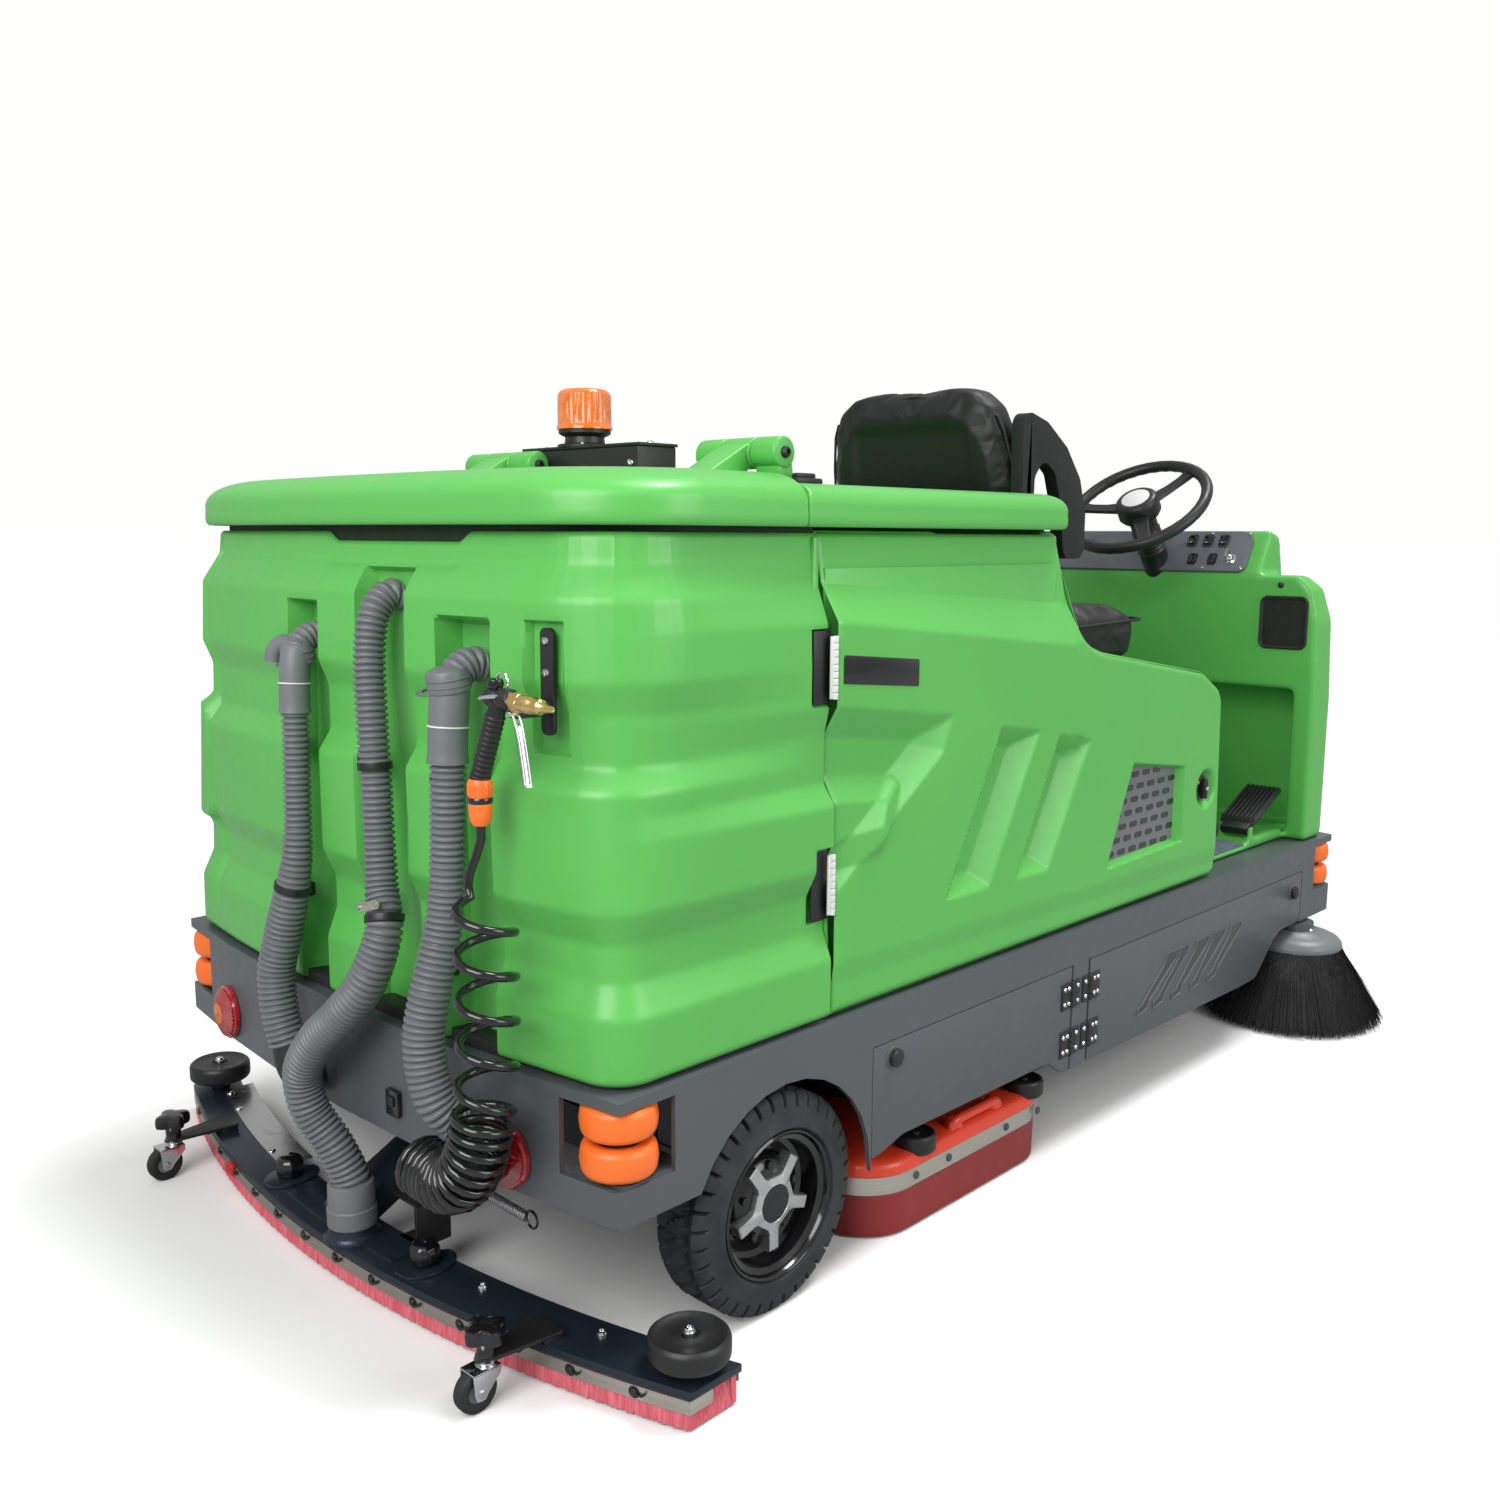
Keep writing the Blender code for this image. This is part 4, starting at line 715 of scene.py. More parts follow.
def hoses():
    piece(
        "drain_hose_ribbed", "root", [(ribbed(DRAIN_ROUTE, *DRAIN_SIZE), "grey")],
        ["drain_hose"]
    )
    piece(
        "dirty_water_hose_ribbed", "root", [(ribbed(DIRTY_ROUTE, *DIRTY_SIZE), "grey")],
        ["dirty_water_hose"]
    )
    suction = piece(
        "suction_hose_ribbed", None, [(ribbed(SUCTION_ROUTE, *SUCTION_SIZE), "grey")],
        ["vacuum_hose"]
    )
    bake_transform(suction)


# ---- recovery tank --------------------------------------------------------------------------

HALF_WIDTH = 0.600
REAR_X = -0.360
REAR_BOW = 0.048
FRONT_X = 2.000
FRONT_BOW = 0.070
DECK_Z = 0.416
TANK_TOP = 1.1205
TANK_FRONT = 0.1015
TANK_CORNER = 0.073
TANK_CORNER_TOP = 0.170
TANK_STEP = 0.0045
CORNER_ROOM = 0.205
CREASE = 0.0028
BODY_LIFT = 0.006  # dark gap between the chassis and the body
LID_LIFT = 0.0075  # and between the tank and its lid
CHANNELS = ((0.036, 0.123, 1.016), (-0.190, -0.070, 1.070), (-0.370, -0.265, 1.005))
CHANNEL_DEPTH = 0.055
CHANNEL_ROUND = 0.010
NOTCH = 0.014
GUN_POCKET = (-0.496, -0.440, 0.845, 1.006, 0.014)  # y, y, z, z and depth
HINGES = ((0.575, 0.665), (0.888, 0.978))  # low and high of each side door hinge

REAR_BANDS = (  # height above the deck and inset, round the back and the rear corners
    (0.0, 0.010), (0.093, 0.010), (0.137, 0.028), (0.185, 0.028), (0.230, 0.008), (0.380, 0.008),
    (0.410, 0.029), (0.477, 0.029), (0.516, 0.013), (0.619, 0.016), (0.665, 0.045), (0.7045, 0.049),
)
SEAM_BANDS = (  # the same at the side's front seam
    (0.0, 0.010), (0.093, 0.010), (0.134, 0.027), (0.190, 0.027), (0.228, 0.008), (0.320, 0.008),
    (0.350, 0.029), (0.421, 0.029), (0.459, 0.020), (0.578, 0.024), (0.634, 0.046), (0.7045, 0.049),
)


def rear_x(y, inset=0.0):
    return REAR_X + inset + REAR_BOW * (y / HALF_WIDTH) ** 2


def front_x(y, inset=0.0):
    return FRONT_X - inset - FRONT_BOW * (y / HALF_WIDTH) ** 2


def rear_outline(inset, front, corner, steps=10):
    """Right front, round the back, to the left front, as (x, y) points."""
    half = HALF_WIDTH - inset
    bowed = np.linspace(-half + CORNER_ROOM, half - CORNER_ROOM, 21)
    back = [(rear_x(y, inset), y) for y in (-half, *bowed, half)]
    chain = [(front, -half)] + back + [(front, half)]
    return rounded(chain, corner, (1, len(chain) - 2), steps)


def evenly(chain, spacing):
    """The open chain of (x, y) points spaced evenly, as an array."""
    chain = np.array(chain)
    far = np.concatenate([[0], np.cumsum(np.hypot(*np.diff(chain, axis=0).T))])
    places = np.linspace(0, far[-1], round(far[-1] / spacing) + 1)
    return np.stack([np.interp(places, far, chain[:, 0]), np.interp(places, far, chain[:, 1])], 1)


def band_inset(height, bands, crease=CREASE):
    """The bands' inset at these heights, with each crease rounded over."""
    fine = np.arange(bands[0][0] - 0.05, bands[-1][0] + 0.05, 0.001)
    raw = np.interp(fine, [b[0] for b in bands], [b[1] for b in bands])
    reach = np.arange(-3 * crease, 3 * crease + 1e-6, 0.001)
    weights = np.exp(-(reach / crease) ** 2 / 2)
    soft = np.convolve(np.pad(raw, len(reach) // 2, "edge"), weights / weights.sum(), "valid")
    return np.interp(height, fine, soft[:len(fine)])


def box_relief(a, b, low_a, high_a, low_b, high_b, wall):
    """1 inside the box in the (a, b) plane, 0 outside, with walls of that width and round corners."""
    outside = np.hypot(
        np.maximum(np.maximum(low_a - a, a - high_a), 0), np.maximum(np.maximum(low_b - b, b - high_b), 0)
    )
    return 1 - step(outside, 0, wall)


def tank_shell():
    low_path = evenly(rear_outline(0.0, TANK_FRONT, TANK_CORNER), TANK_STEP)
    high_path = evenly(rear_outline(0.0, TANK_FRONT, TANK_CORNER_TOP), TANK_STEP)
    count = min(len(low_path), len(high_path))
    ends = [np.linspace(0, len(p) - 1, count) for p in (low_path, high_path)]
    low_path, high_path = [
        np.stack([np.interp(e, range(len(p)), p[:, c]) for c in (0, 1)], 1) for e,
        p in zip(ends, (low_path, high_path))
    ]
    heights = np.concatenate([
        np.array([0.0004, 0.003, 0.007]) + BODY_LIFT,
        np.arange(0.012 + BODY_LIFT, TANK_TOP - DECK_Z - 0.008, TANK_STEP),
        TANK_TOP - DECK_Z - np.array([0.006, 0.003, 0.001])
    ])
    rows = []
    for height in heights:
        z = DECK_Z + height
        rise = step(height, 0.0, TANK_TOP - DECK_Z)
        path = low_path * (1 - rise) + high_path * rise
        ahead = np.gradient(path, axis=0)
        normal = np.stack([-ahead[:, 1], ahead[:, 0]], 1)
        normal /= np.hypot(*normal.T)[:, None]
        if normal[len(path) // 2, 0] < 0:
            normal = -normal
        x, y = path[:, 0], path[:, 1]
        rear = np.abs(y) < HALF_WIDTH - 0.03
        along_side = np.clip((x + 0.30) / 0.40, 0, 1)
        behind, beside = band_inset(height, REAR_BANDS), band_inset(height, SEAM_BANDS)
        inset = behind * (1 - along_side) + beside * along_side
        edge = min(height - BODY_LIFT, TANK_TOP - DECK_Z - height)
        inset += 0.006 * (1 - min(edge / 0.008, 1)) ** 2
        for low, high, top in CHANNELS:
            deep = box_relief(y, z, low + 0.006, high - 0.006, 0.0, top - 0.006, CHANNEL_ROUND)
            inset = np.where(rear & (x < -0.2), inset * (1 - deep) + CHANNEL_DEPTH * deep, inset)
        y0, y1, z0, z1, depth = GUN_POCKET
        inset += np.where(x < -0.2, depth * box_relief(y, z, y0, y1, z0, z1, 0.005), 0)
        left = np.where((y > 0) & (x < -0.24), 1, 0)
        groove = np.exp(-((y - 0.475) / 0.012) ** 2) * step(z, 0.46, 0.52) * (1 - step(z, 1.08, 1.12))
        inset += 0.016 * left * groove
        lug = box_relief(y, z, 0.500, 0.700, 0.640, 0.815, 0.030)
        inset -= np.where((y > 0.45), 0.020 * lug, 0)
        for low, high in HINGES:
            pocket = box_relief(
                x, z, TANK_FRONT - 0.030, TANK_FRONT + 0.1, low - 0.006, high + 0.006, 0.004
            )
            inset += np.where(x > 0, 0.016 * pocket, 0)
        inset = np.maximum(inset, 0.0078)
        dip = NOTCH * rear_notch(y) * (x < -0.2) * step(height, 0.640, 0.700)
        rows.append([
            (px, py, pz) for px, py, pz in zip(x + normal[:, 0] * inset, y + normal[:, 1] * inset, z - dip)
        ])
    return grid([list(row) for row in rows])


def rear_notch(y):
    """1 where the tank's rear rim is cut lower, 0 outside."""
    return step(y, -0.300, -0.268) * (1 - step(y, 0.025, 0.058))


def tank_rim():
    """The inner lip, the front wall and the dark inside seen under the lid."""
    wall = 0.010
    high = TANK_TOP
    outer = rear_outline(0.049 + wall, TANK_FRONT, TANK_CORNER_TOP - 0.05)
    inner = [
        (x, y) for x, y in rear_outline(0.049 + 2 * wall, TANK_FRONT - 2 * wall, TANK_CORNER_TOP - 0.06)
    ]
    rows = [
        at_height(outer, high - 0.002),
        at_height([((a + c) / 2, (b + d) / 2) for (a, b), (c, d) in zip(outer, inner)], high)
    ]
    rows += [at_height(inner, high - 0.004), at_height(inner, DECK_Z + 0.08)]
    return grid(rows, True)


def gap_strips():
    """Dark strips recessed in the gaps: a black strip below the body, and dark green strips below the lids
    that are painted shade for the lid gaps.
    """
    sill = rear_outline(0.022, TANK_FRONT, 0.055)
    neck = rear_outline(0.055, TANK_FRONT, TANK_CORNER_TOP - 0.02)
    sill_ring = grid(
        [at_height(sill, DECK_Z + 0.0003), at_height(sill, DECK_Z + BODY_LIFT + 0.012)], True, True
    )
    # neck_ring: dark green strip in the gap below the rear lid, painted shade
    neck_ring = grid(
        [at_height(neck, TANK_TOP - 0.022), at_height(neck, TANK_TOP + LID_LIFT + 0.004)], True
    )
    # long_neck: the same painted shade in the gap below the front lid
    long_neck = []
    half = HALF_WIDTH - 0.078
    outline = rect(TANK_FRONT + 0.004, -half, BODY_FRONT - 0.02, half)
    for z in (TANK_TOP - 0.020, TANK_TOP + LID_LIFT + 0.004):
        long_neck.append(at_height(rounded(outline, 0.01), z))
    return [(sill_ring, "rubber"), (neck_ring, "lid_gap_shade_green"), (grid(long_neck, True, True), "lid_gap_shade_green")]


def tank_front_wall():
    half = HALF_WIDTH - 0.012
    return block(
        (TANK_FRONT - 0.012, -half + 0.03, DECK_Z + 0.001), (TANK_FRONT, half - 0.03, TANK_TOP - 0.006),
        0.003
    )


def gun_bracket():
    y = -0.4685
    back = rear_x(y, 0.022)
    outline = rounded(rect(y - 0.0125, 0.866, y + 0.0125, 1.001), 0.009, None, 6)
    parts = [(prism(outline, "x", back - 0.0025, back + 0.004, 0.0008), "black")]
    for z in (0.985, 0.945):
        parts.append((screw((back - 0.0025, y, z), (-1, 0, 0), 0.0055), "steel"))
    parts.append((block((-0.3648, y - 0.011, 0.892), (back + 0.002, y + 0.011, 0.911), 0.003), "black"))
    return parts


def screw(place, axis, radius):
    """Pan head with a hexagon socket, its seat at place and its top along the axis."""
    height = radius * 0.75
    profile = [
        (0, height * 0.45), (radius * 0.42, height * 0.45), (radius * 0.48, height),
        (radius * 0.8, height * 0.86)
    ]
    profile += [(radius, height * 0.35), (radius, -0.001), (0, -0.001)]
    return lathe(profile, place, axis, 18)


def recovery_tank():
    parts = [(tank_shell(), "green"), (tank_rim(), "green"), (tank_front_wall(), "green")]
    piece(
        "recovery_tank_shell", "root", parts + gap_strips() + gun_bracket(), ["recovery_tank"]
    )


# ---- lids -----------------------------------------------------------------------------------

LID_SPLIT = 0.0545
LID_INSET = 0.020
LID_CORNER = 0.175
LID_TOP = 1.203
FRONT_LID_TOP = 1.188
SEAM = 0.0015
BODY_FRONT = 0.750
HINGE_X = 0.085
HINGE_Z = 1.232
KNUCKLE = 0.0225
LID_HINGES = ((0.147, 0.092), (-0.426, 0.080))


def dome(low, top, inset_top, lip=0.010):
    """(height, inset) down a lid's side: rounded lip below, long round shoulder above."""
    chain = [(low, 0.012), (low + 0.0008, 0.007)]
    chain += [
        (low + lip - lip * math.cos(a), 0.006 - 0.006 * math.sin(a))
        for a in np.linspace(0.2, math.pi / 2, 5)
    ]
    chain += [(low + 0.018, 0.0), (low + 0.024, 0.0006)]
    rise = top - (low + 0.024)
    for t in np.linspace(0.1, 1.0, 16):
        chain.append((
            low + 0.024 + rise * math.sin(t * math.pi / 2) ** 0.9,
            inset_top * (1 - math.cos(t * math.pi / 2)) ** 1.15
        ))
    return chain


def rear_lid():
    low = TANK_TOP + LID_LIFT
    front = LID_SPLIT - SEAM
    rows = []
    for z, inset in dome(low, LID_TOP, 0.085):
        corner = LID_CORNER
        x_front = front - 0.004 * min(1, inset / 0.02)
        rows.append(at_height(rear_outline(LID_INSET + inset, x_front, corner, 8), z))
    for share in (0.3, 0.7):
        rows.append([
            (x * (1 - share) - 0.14 * share, y * (1 - share), z + 0.0006 * share) for x, y, z in rows[-1]
        ])
    shell = grid(rows, True, True)
    parts = [(shell, "green")]
    hollow = rear_outline(LID_INSET + 0.010, front - 0.01, LID_CORNER, 8)
    parts.append((
        grid([at_height(hollow, low - 0.0003), at_height(hollow, low + 0.02)], True, True), "dark_grey"
    ))
    for y, half in LID_HINGES:
        third = half * 0.38
        parts.append((
            disc(KNUCKLE, -third + 0.0005, third - 0.0005, (HINGE_X, y, HINGE_Z), (0, 1, 0), 0.004), "green"
        ))
        arm = [
            (-0.035, LID_TOP - 0.004), (-0.012, LID_TOP + 0.001), (HINGE_X - 0.030, HINGE_Z + 0.008),
            (HINGE_X, HINGE_Z + KNUCKLE - 0.001), (HINGE_X, HINGE_Z - 0.010),
            (HINGE_X - 0.03, LID_TOP - 0.004)
        ]
        parts.append((prism(arm, "y", y - third + 0.003, y + third - 0.003, 0.004, 3), "green"))
    piece("tank_lid_shell", "tank_lid", parts, ["tank_lid"])


def front_lid():
    low = TANK_TOP + LID_LIFT
    rows = []
    for z, inset in dome(low, FRONT_LID_TOP, 0.040):
        half = HALF_WIDTH - LID_INSET - inset
        rear, front = LID_SPLIT + SEAM + min(inset, 0.006), BODY_FRONT - inset
        outline = rect(rear, -half, front, half)
        rows.append(at_height(rounded(outline, [0.004, 0.045, 0.045, 0.004], None, 8), z))
    centre = (LID_SPLIT + BODY_FRONT) / 2
    for share in (0.3, 0.7):
        rows.append([(x * (1 - share) + centre * share, y * (1 - share), z) for x, y, z in rows[-1]])
    parts = [(grid(rows, True, True), "green")]
    for y, half in LID_HINGES:
        inner = half * 0.38 + 0.0008
        for side in (-1, 1):
            ends = sorted((side * inner, side * half))
            parts.append((
                disc(KNUCKLE, ends[0], ends[1], (HINGE_X, y, HINGE_Z), (0, 1, 0), 0.004), "green"
            ))
            foot = [
                (HINGE_X - 0.008, FRONT_LID_TOP - 0.004), (HINGE_X - 0.014, HINGE_Z),
                (HINGE_X + 0.016, HINGE_Z), (HINGE_X + 0.024, FRONT_LID_TOP - 0.004)
            ]
            parts.append((prism(foot, "y", y + ends[0] + 0.002, y + ends[1] - 0.002, 0.003), "green"))
            tip = y + side * half
            parts.append((screw((HINGE_X, tip, HINGE_Z), (0, side, 0), 0.0085), "black"))
    parts += filler_latch()
    piece("front_lid_shell", "root", parts, ["front_lid"])


def filler_latch():
    """The small black latch on the right edge of the front lid."""
    x, y, z = 0.105, -0.520, FRONT_LID_TOP - 0.001
    return [
        (block((x - 0.026, y - 0.018, z), (x + 0.026, y + 0.012, z + 0.009), 0.003), "black"),
        (block((x - 0.018, y - 0.010, z + 0.008), (x + 0.020, y + 0.004, z + 0.016), 0.003), "black"),
    ]


# ---- side doors -----------------------------------------------------------------------------

DOOR_OUT = 0.592
DOOR_REAR = 0.104
DOOR_FRONT = 1.337
LATCH = (1.269, 0.611)
RELIEF = ((0.080, 0.881), (0.434, 0.835), (0.363, 0.785), (0.262, 0.520), (0.080, 0.520))
RAISED = ((0.070, 0.778), (0.258, 0.758), (0.269, 0.744), (0.211, 0.649), (0.070, 0.629))
SLOTS = (
    ((0.524, 0.811), (0.637, 0.793), (0.499, 0.545), (0.378, 0.544)),
    ((0.702, 0.780), (0.807, 0.759), (0.678, 0.543), (0.579, 0.545)),
)
GRILLE = ((0.969, 0.693), (1.165, 0.665), (1.165, 0.520), (0.887, 0.513))
DOOR_STEP = 0.0040


def door_outline():
    low, top = DECK_Z + BODY_LIFT, TANK_TOP + 0.003
    outline = [
        (DOOR_REAR, low), (DOOR_FRONT, low), (DOOR_FRONT - 0.015, 0.803), (1.230, 0.852), (0.840, 0.913),
        (0.783, 0.930), (BODY_FRONT + 0.003, top - 0.06), (BODY_FRONT - 0.011, top),
        (0.700, top), (0.680, top - 0.011), (0.420, top - 0.011), (0.385, top), (DOOR_REAR, top),
    ]
    return rounded(
        outline, [0.006, 0.020, 0.045, 0.10, 0.03, 0.04, 0.03, 0.012, 0.02, 0.02, 0.02, 0.02, 0.006]
    )


def inward(x, z, outline, widths):
    """Height, 0 to 1, of a facet-sided hollow. Each edge's wall has its own width."""
    closed = list(outline) + [outline[0]]
    centre = np.mean(outline, axis=0)
    result = np.full(x.shape, 1.0)
    for ((ax, az), (bx, bz)), width in zip(zip(closed, closed[1:]), widths):
        length = math.hypot(bx - ax, bz - az)
        nx, nz = -(bz - az) / length, (bx - ax) / length
        if (centre[0] - ax) * nx + (centre[1] - az) * nz < 0:
            nx, nz = -nx, -nz
        result = np.minimum(result, ((x - ax) * nx + (z - az) * nz) / width)
    return np.clip(result, 0, 1)


def door_depth(x, z):
    """How far each point lies in from the door's outer plane."""
    upper = np.interp(x, [0.079, 0.754], [1.054, 1.003])
    lower = np.interp(x, [0.084, 0.783], [0.999, 0.927])
    depth = 0.034 * np.clip((z - lower) / (upper - lower), 0, 1)
    depth += 0.012 * np.clip((z - upper) / (TANK_TOP - upper), 0, 1)
    depth += 0.027 * inward(
        x, z, RELIEF, (0.045, 0.045, 0.060, 0.045, 0.006)
    ) * (1 - 0.25 * step(z, 0.60, 0.52))
    depth -= 0.022 * inward(x, z, RAISED, (0.035, 0.012, 0.030, 0.045, 0.006))
    for slot in SLOTS:
        depth += 0.026 * inward(x, z, slot, (0.034, 0.042, 0.026, 0.005))
    foot = np.interp(x, [0.10, 1.337], [0.490, 0.470])
    depth += 0.004 * (1 - np.clip((z - foot + 0.02) / 0.03, 0, 1))
    d = polygon_depth(x, z, list(GRILLE))
    depth += 0.020 * step(d, -0.006, 0.004)
    r = np.hypot(x - LATCH[0], z - LATCH[1])
    depth += 0.022 * (1 - step(r, 0.024, 0.044))
    return depth


def door_panel():
    """Outer skin of the right door, as a grid fitted to the outline, with a turned-in edge."""
    outline = door_outline()
    edges = [x for x, _ in outline]
    xs = np.linspace(min(edges) + 1e-5, max(edges) - 1e-5, round((DOOR_FRONT - DOOR_REAR) / DOOR_STEP) + 1)
    closed = outline + outline[:1]
    lows, highs = [], []
    for x in xs:
        crossing = []
        for (ax, az), (bx, bz) in zip(closed, closed[1:]):
            if min(ax, bx) - 1e-9 <= x <= max(ax, bx) + 1e-9:
                crossing += [az, bz] if ax == bx else [az + (bz - az) * (x - ax) / (bx - ax)]
        lows.append(min(crossing))
        highs.append(max(crossing))
    lows, highs = np.array(lows), np.array(highs)
    count = round((TANK_TOP - DECK_Z) / DOOR_STEP)
    rim = 0.004
    share = np.linspace(0, 1, count + 1)[:, None]
    z = lows + rim + (highs - lows - 2 * rim) * share
    x = np.broadcast_to(xs, z.shape).copy()
    x = np.clip(x, DOOR_REAR + rim, DOOR_FRONT - rim)
    depth = door_depth(x, z)
    edge = np.minimum(polygon_depth(x, z, outline), 0.012)
    depth += 0.006 * (1 - edge / 0.012) ** 2
    y = -(DOOR_OUT - depth)
    rows = [list(zip(x[i], y[i], z[i])) for i in range(len(z))]
    return grid(rows)


def door_frame():
    """The thick edge round the panel and its back."""
    outline = door_outline()
    rows = []
    for inset, y in (
        (0.0045, DOOR_OUT - 0.0035), (0.0015, DOOR_OUT - 0.0045), (0.0, DOOR_OUT - 0.0080),
        (0.0, DOOR_OUT - 0.030)
    ):
        ring = []
        for x, z in outline:
            lean = float(door_depth(np.array([x]), np.array([z]))[0])
            cx, cz = 0.62, 0.72
            reach = math.hypot(x - cx, z - cz)
            ring.append((x - (x - cx) / reach * inset, -(y - lean), z - (z - cz) / reach * inset))
        rows.append(ring)
    return grid(rows, True)


def grille_plate():
    """Grey plate with a brick pattern of oblong openings, each drawn as a gloss black oblong set into the
    plate: painted shade for the dark seen through the opening.
    """
    y = -(DOOR_OUT - 0.0175)
    outline = [(x, z) for x, z in GRILLE]
    plate = prism(outline, "y", y, y + 0.0015)
    hole_shades = []
    across_step, up_step = 0.0415, 0.0240
    for row in range(9):
        for column in range(9):
            x = 0.880 + column * across_step + (row % 2) * across_step / 2
            z = 0.5265 + row * up_step
            corners = rect(x - 0.014, z - 0.0055, x + 0.014, z + 0.0055)
            room = polygon_depth(
                np.array([c[0] for c in corners]), np.array([c[1] for c in corners]), outline
            )
            if room.max() > 0.003:
                kept = [(cx, cz) for cx, cz in corners]
                # each opening is a gloss black oblong on the plate: painted shade, not a cut
                hole_shades.append(prism(rounded(kept, 0.005, None, 3), "y", y - 0.0007, y + 0.0005))
    return [(plate, "grey")] + [(hole_shade, "gloss_black") for hole_shade in clipped(hole_shades, outline)]


def clipped(hole_shades, outline):
    """Leaves out the painted hole shades whose middle lies outside the outline, and pulls the rest inside
    it.
    """
    result = []
    for points, faces in hole_shades:
        x = np.array([p[0] for p in points])
        z = np.array([p[2] for p in points])
        if polygon_depth(np.array([x.mean()]), np.array([z.mean()]), outline)[0] < 0.002:
            continue
        centre = Vector((x.mean(), 0, z.mean()))
        pulled = []
        for p in points:
            share = 1.0
            while share > 0.1:
                q = centre + (Vector((p[0], 0, p[2])) - centre) * share
                if polygon_depth(np.array([q.x]), np.array([q.z]), outline)[0] > 0.002:
                    break
                share -= 0.1
            pulled.append((q.x, p[1], q.z))
        result.append((pulled, faces))
    return result


def door_latch():
    """Round turn-latch sunk in its dish: black body and finger piece, with a small chrome pin."""
    y = -(DOOR_OUT - 0.020)
    place = (LATCH[0], y, LATCH[1])
    body = lathe(
        [
            (0, 0.006), (0.012, 0.006), (0.015, 0.011), (0.022, 0.013), (0.026, 0.009), (0.027, -0.004),
            (0, -0.004)
        ],
        place, (0, -1, 0)
    )
    finger = block(
        (LATCH[0] - 0.005, y - 0.022, LATCH[1] - 0.021), (LATCH[0] + 0.005, y - 0.005, LATCH[1] + 0.021),
        0.003, 3
    )
    return [
        (body, "gloss_black"), (finger, "black"),
        (disc(0.004, 0.0, 0.008, (LATCH[0], y - 0.016, LATCH[1]), (0, -1, 0)), "chrome")
    ]


def bare_plate():
    """The plain black plate, lettered on the real machine."""
    depth = 0.0012
    corners = [(0.118, 0.909), (0.293, 0.893), (0.293, 0.934), (0.118, 0.950)]
    return prism(rounded(corners, 0.003), "y", -(DOOR_OUT + depth), -(DOOR_OUT - 0.004), 0.0006)


def hinge_leaf(low, high):
    """White piano hinge in its dark pocket between the tank and the door."""
    x, y = TANK_FRONT + SEAM, -DOOR_OUT
    parts = []
    count = 9
    pitch = (high - low) / count
    for k in range(count):
        z = low + k * pitch
        parts.append((
            disc(0.0042, z + 0.0004, z + pitch - 0.0004, (x, y + 0.0025, 0), (0, 0, 1), 0.0008, 14), "white"
        ))
    parts.append((
        block((x - 0.0085, y + 0.003, low + 0.001), (x + 0.003, y + 0.006, high - 0.001), 0.0005), "white"
    ))
    parts.append((
        block((x - 0.034, y + 0.013, low - 0.007), (x + 0.001, y + 0.016, high + 0.007), 0.001), "black"
    ))
    return parts


def side_doors():
    panel, frame_ring = door_panel(), door_frame()
    grille, latch = grille_plate(), door_latch()
    for side, label in ((-1, "right"), (1, "left")):
        node = "side_door_" + label
        parts = [(panel, "green"), (frame_ring, "green")] + grille + latch
        if side < 0:
            parts = parts + [(bare_plate(), "gloss_black")]
        back = block(
            (DOOR_REAR + 0.01, -(DOOR_OUT - 0.033), DECK_Z + 0.012),
            (BODY_FRONT - 0.03, -(DOOR_OUT - 0.038), TANK_TOP - 0.05), 0.001
        )
        parts.append((back, "green"))
        made = [(sided(part, side), finish) for part, finish in parts]
        piece(node + "_panel", node, made, [node])
        leaves = [
            (sided(part, side), finish) for low, high in HINGES for part, finish in hinge_leaf(low, high)
        ]
        piece("door_hinge_" + label, "root", leaves)


# ---- wheels, rollers and lamps --------------------------------------------------------------

WHEEL_RADIUS = 0.165
WHEEL_OUT = 0.5905
WHEEL_WIDTH = 0.098
LUGS = 36
STAR_ARMS = 5


def tyre_profile(sink):
    """(radius, height) round the tyre. Height 0 is its outer plane, and sink lowers the tread."""
    r = WHEEL_RADIUS - sink
    w = WHEEL_WIDTH
    side = [
        (0.109, -0.006), (0.114, 0.0), (0.120, -0.0005), (0.126, -0.003), (0.136, -0.0035), (0.143, -0.005)
    ]
    shoulder = [
        (0.1455, -0.0055 - sink), (0.155 - sink * 0.5, -0.0075 - sink), (r - 0.002, -0.012 - sink),
        (r, -0.016)
    ]
    crown = [(r, -0.030), (r, -0.0315), (r, -w / 2 - 0.004), (r, -w / 2 + 0.004)]
    chain = side + shoulder + crown[:2]
    other = [(a, -w - h) for a, h in reversed(side + shoulder + crown[:2])]
    return chain + [(r, -w / 2 + 0.010), (r, -w / 2), (r, -w / 2 - 0.010)] + other


def tread_depth(angle, height):
    """1 in a groove of the tread, 0 on a lug. Lugs are straight outside and slanted at the middle."""
    across = abs(height + WHEEL_WIDTH / 2) / (WHEEL_WIDTH / 2)
    turn = angle * LUGS / TURN
    if across > 0.42:
        place = turn + (0.5 if height > -WHEEL_WIDTH / 2 else 0.0)
        wide = 0.24
    else:
        place = turn + across * 1.1 * (1 if height > -WHEEL_WIDTH / 2 else -1)
        wide = 0.22
    far = abs(place - round(place))
    return 1.0 if far < wide / 2 else 0.0


def tyre():
    """One segment for each side of each groove, so that lugs have steep walls."""
    profile = tyre_profile(0.0)
    low = tyre_profile(0.0075)
    steps = LUGS * 8
    rows = []
    for k in range(steps):
        angle = TURN * k / steps
        row = []
        for (r, h), (rl, hl) in zip(profile, low):
            groove = tread_depth(angle, h) if r > 0.144 else 0.0
            if r > 0.15 and 0.38 < abs(h + WHEEL_WIDTH / 2) / (WHEEL_WIDTH / 2) < 0.44:
                groove = 1.0
            r, h = (rl, hl) if groove else (r, h)
            row.append((r * math.cos(angle), r * math.sin(angle), h))
        rows.append(row)
    return grid(rows + [rows[0]])


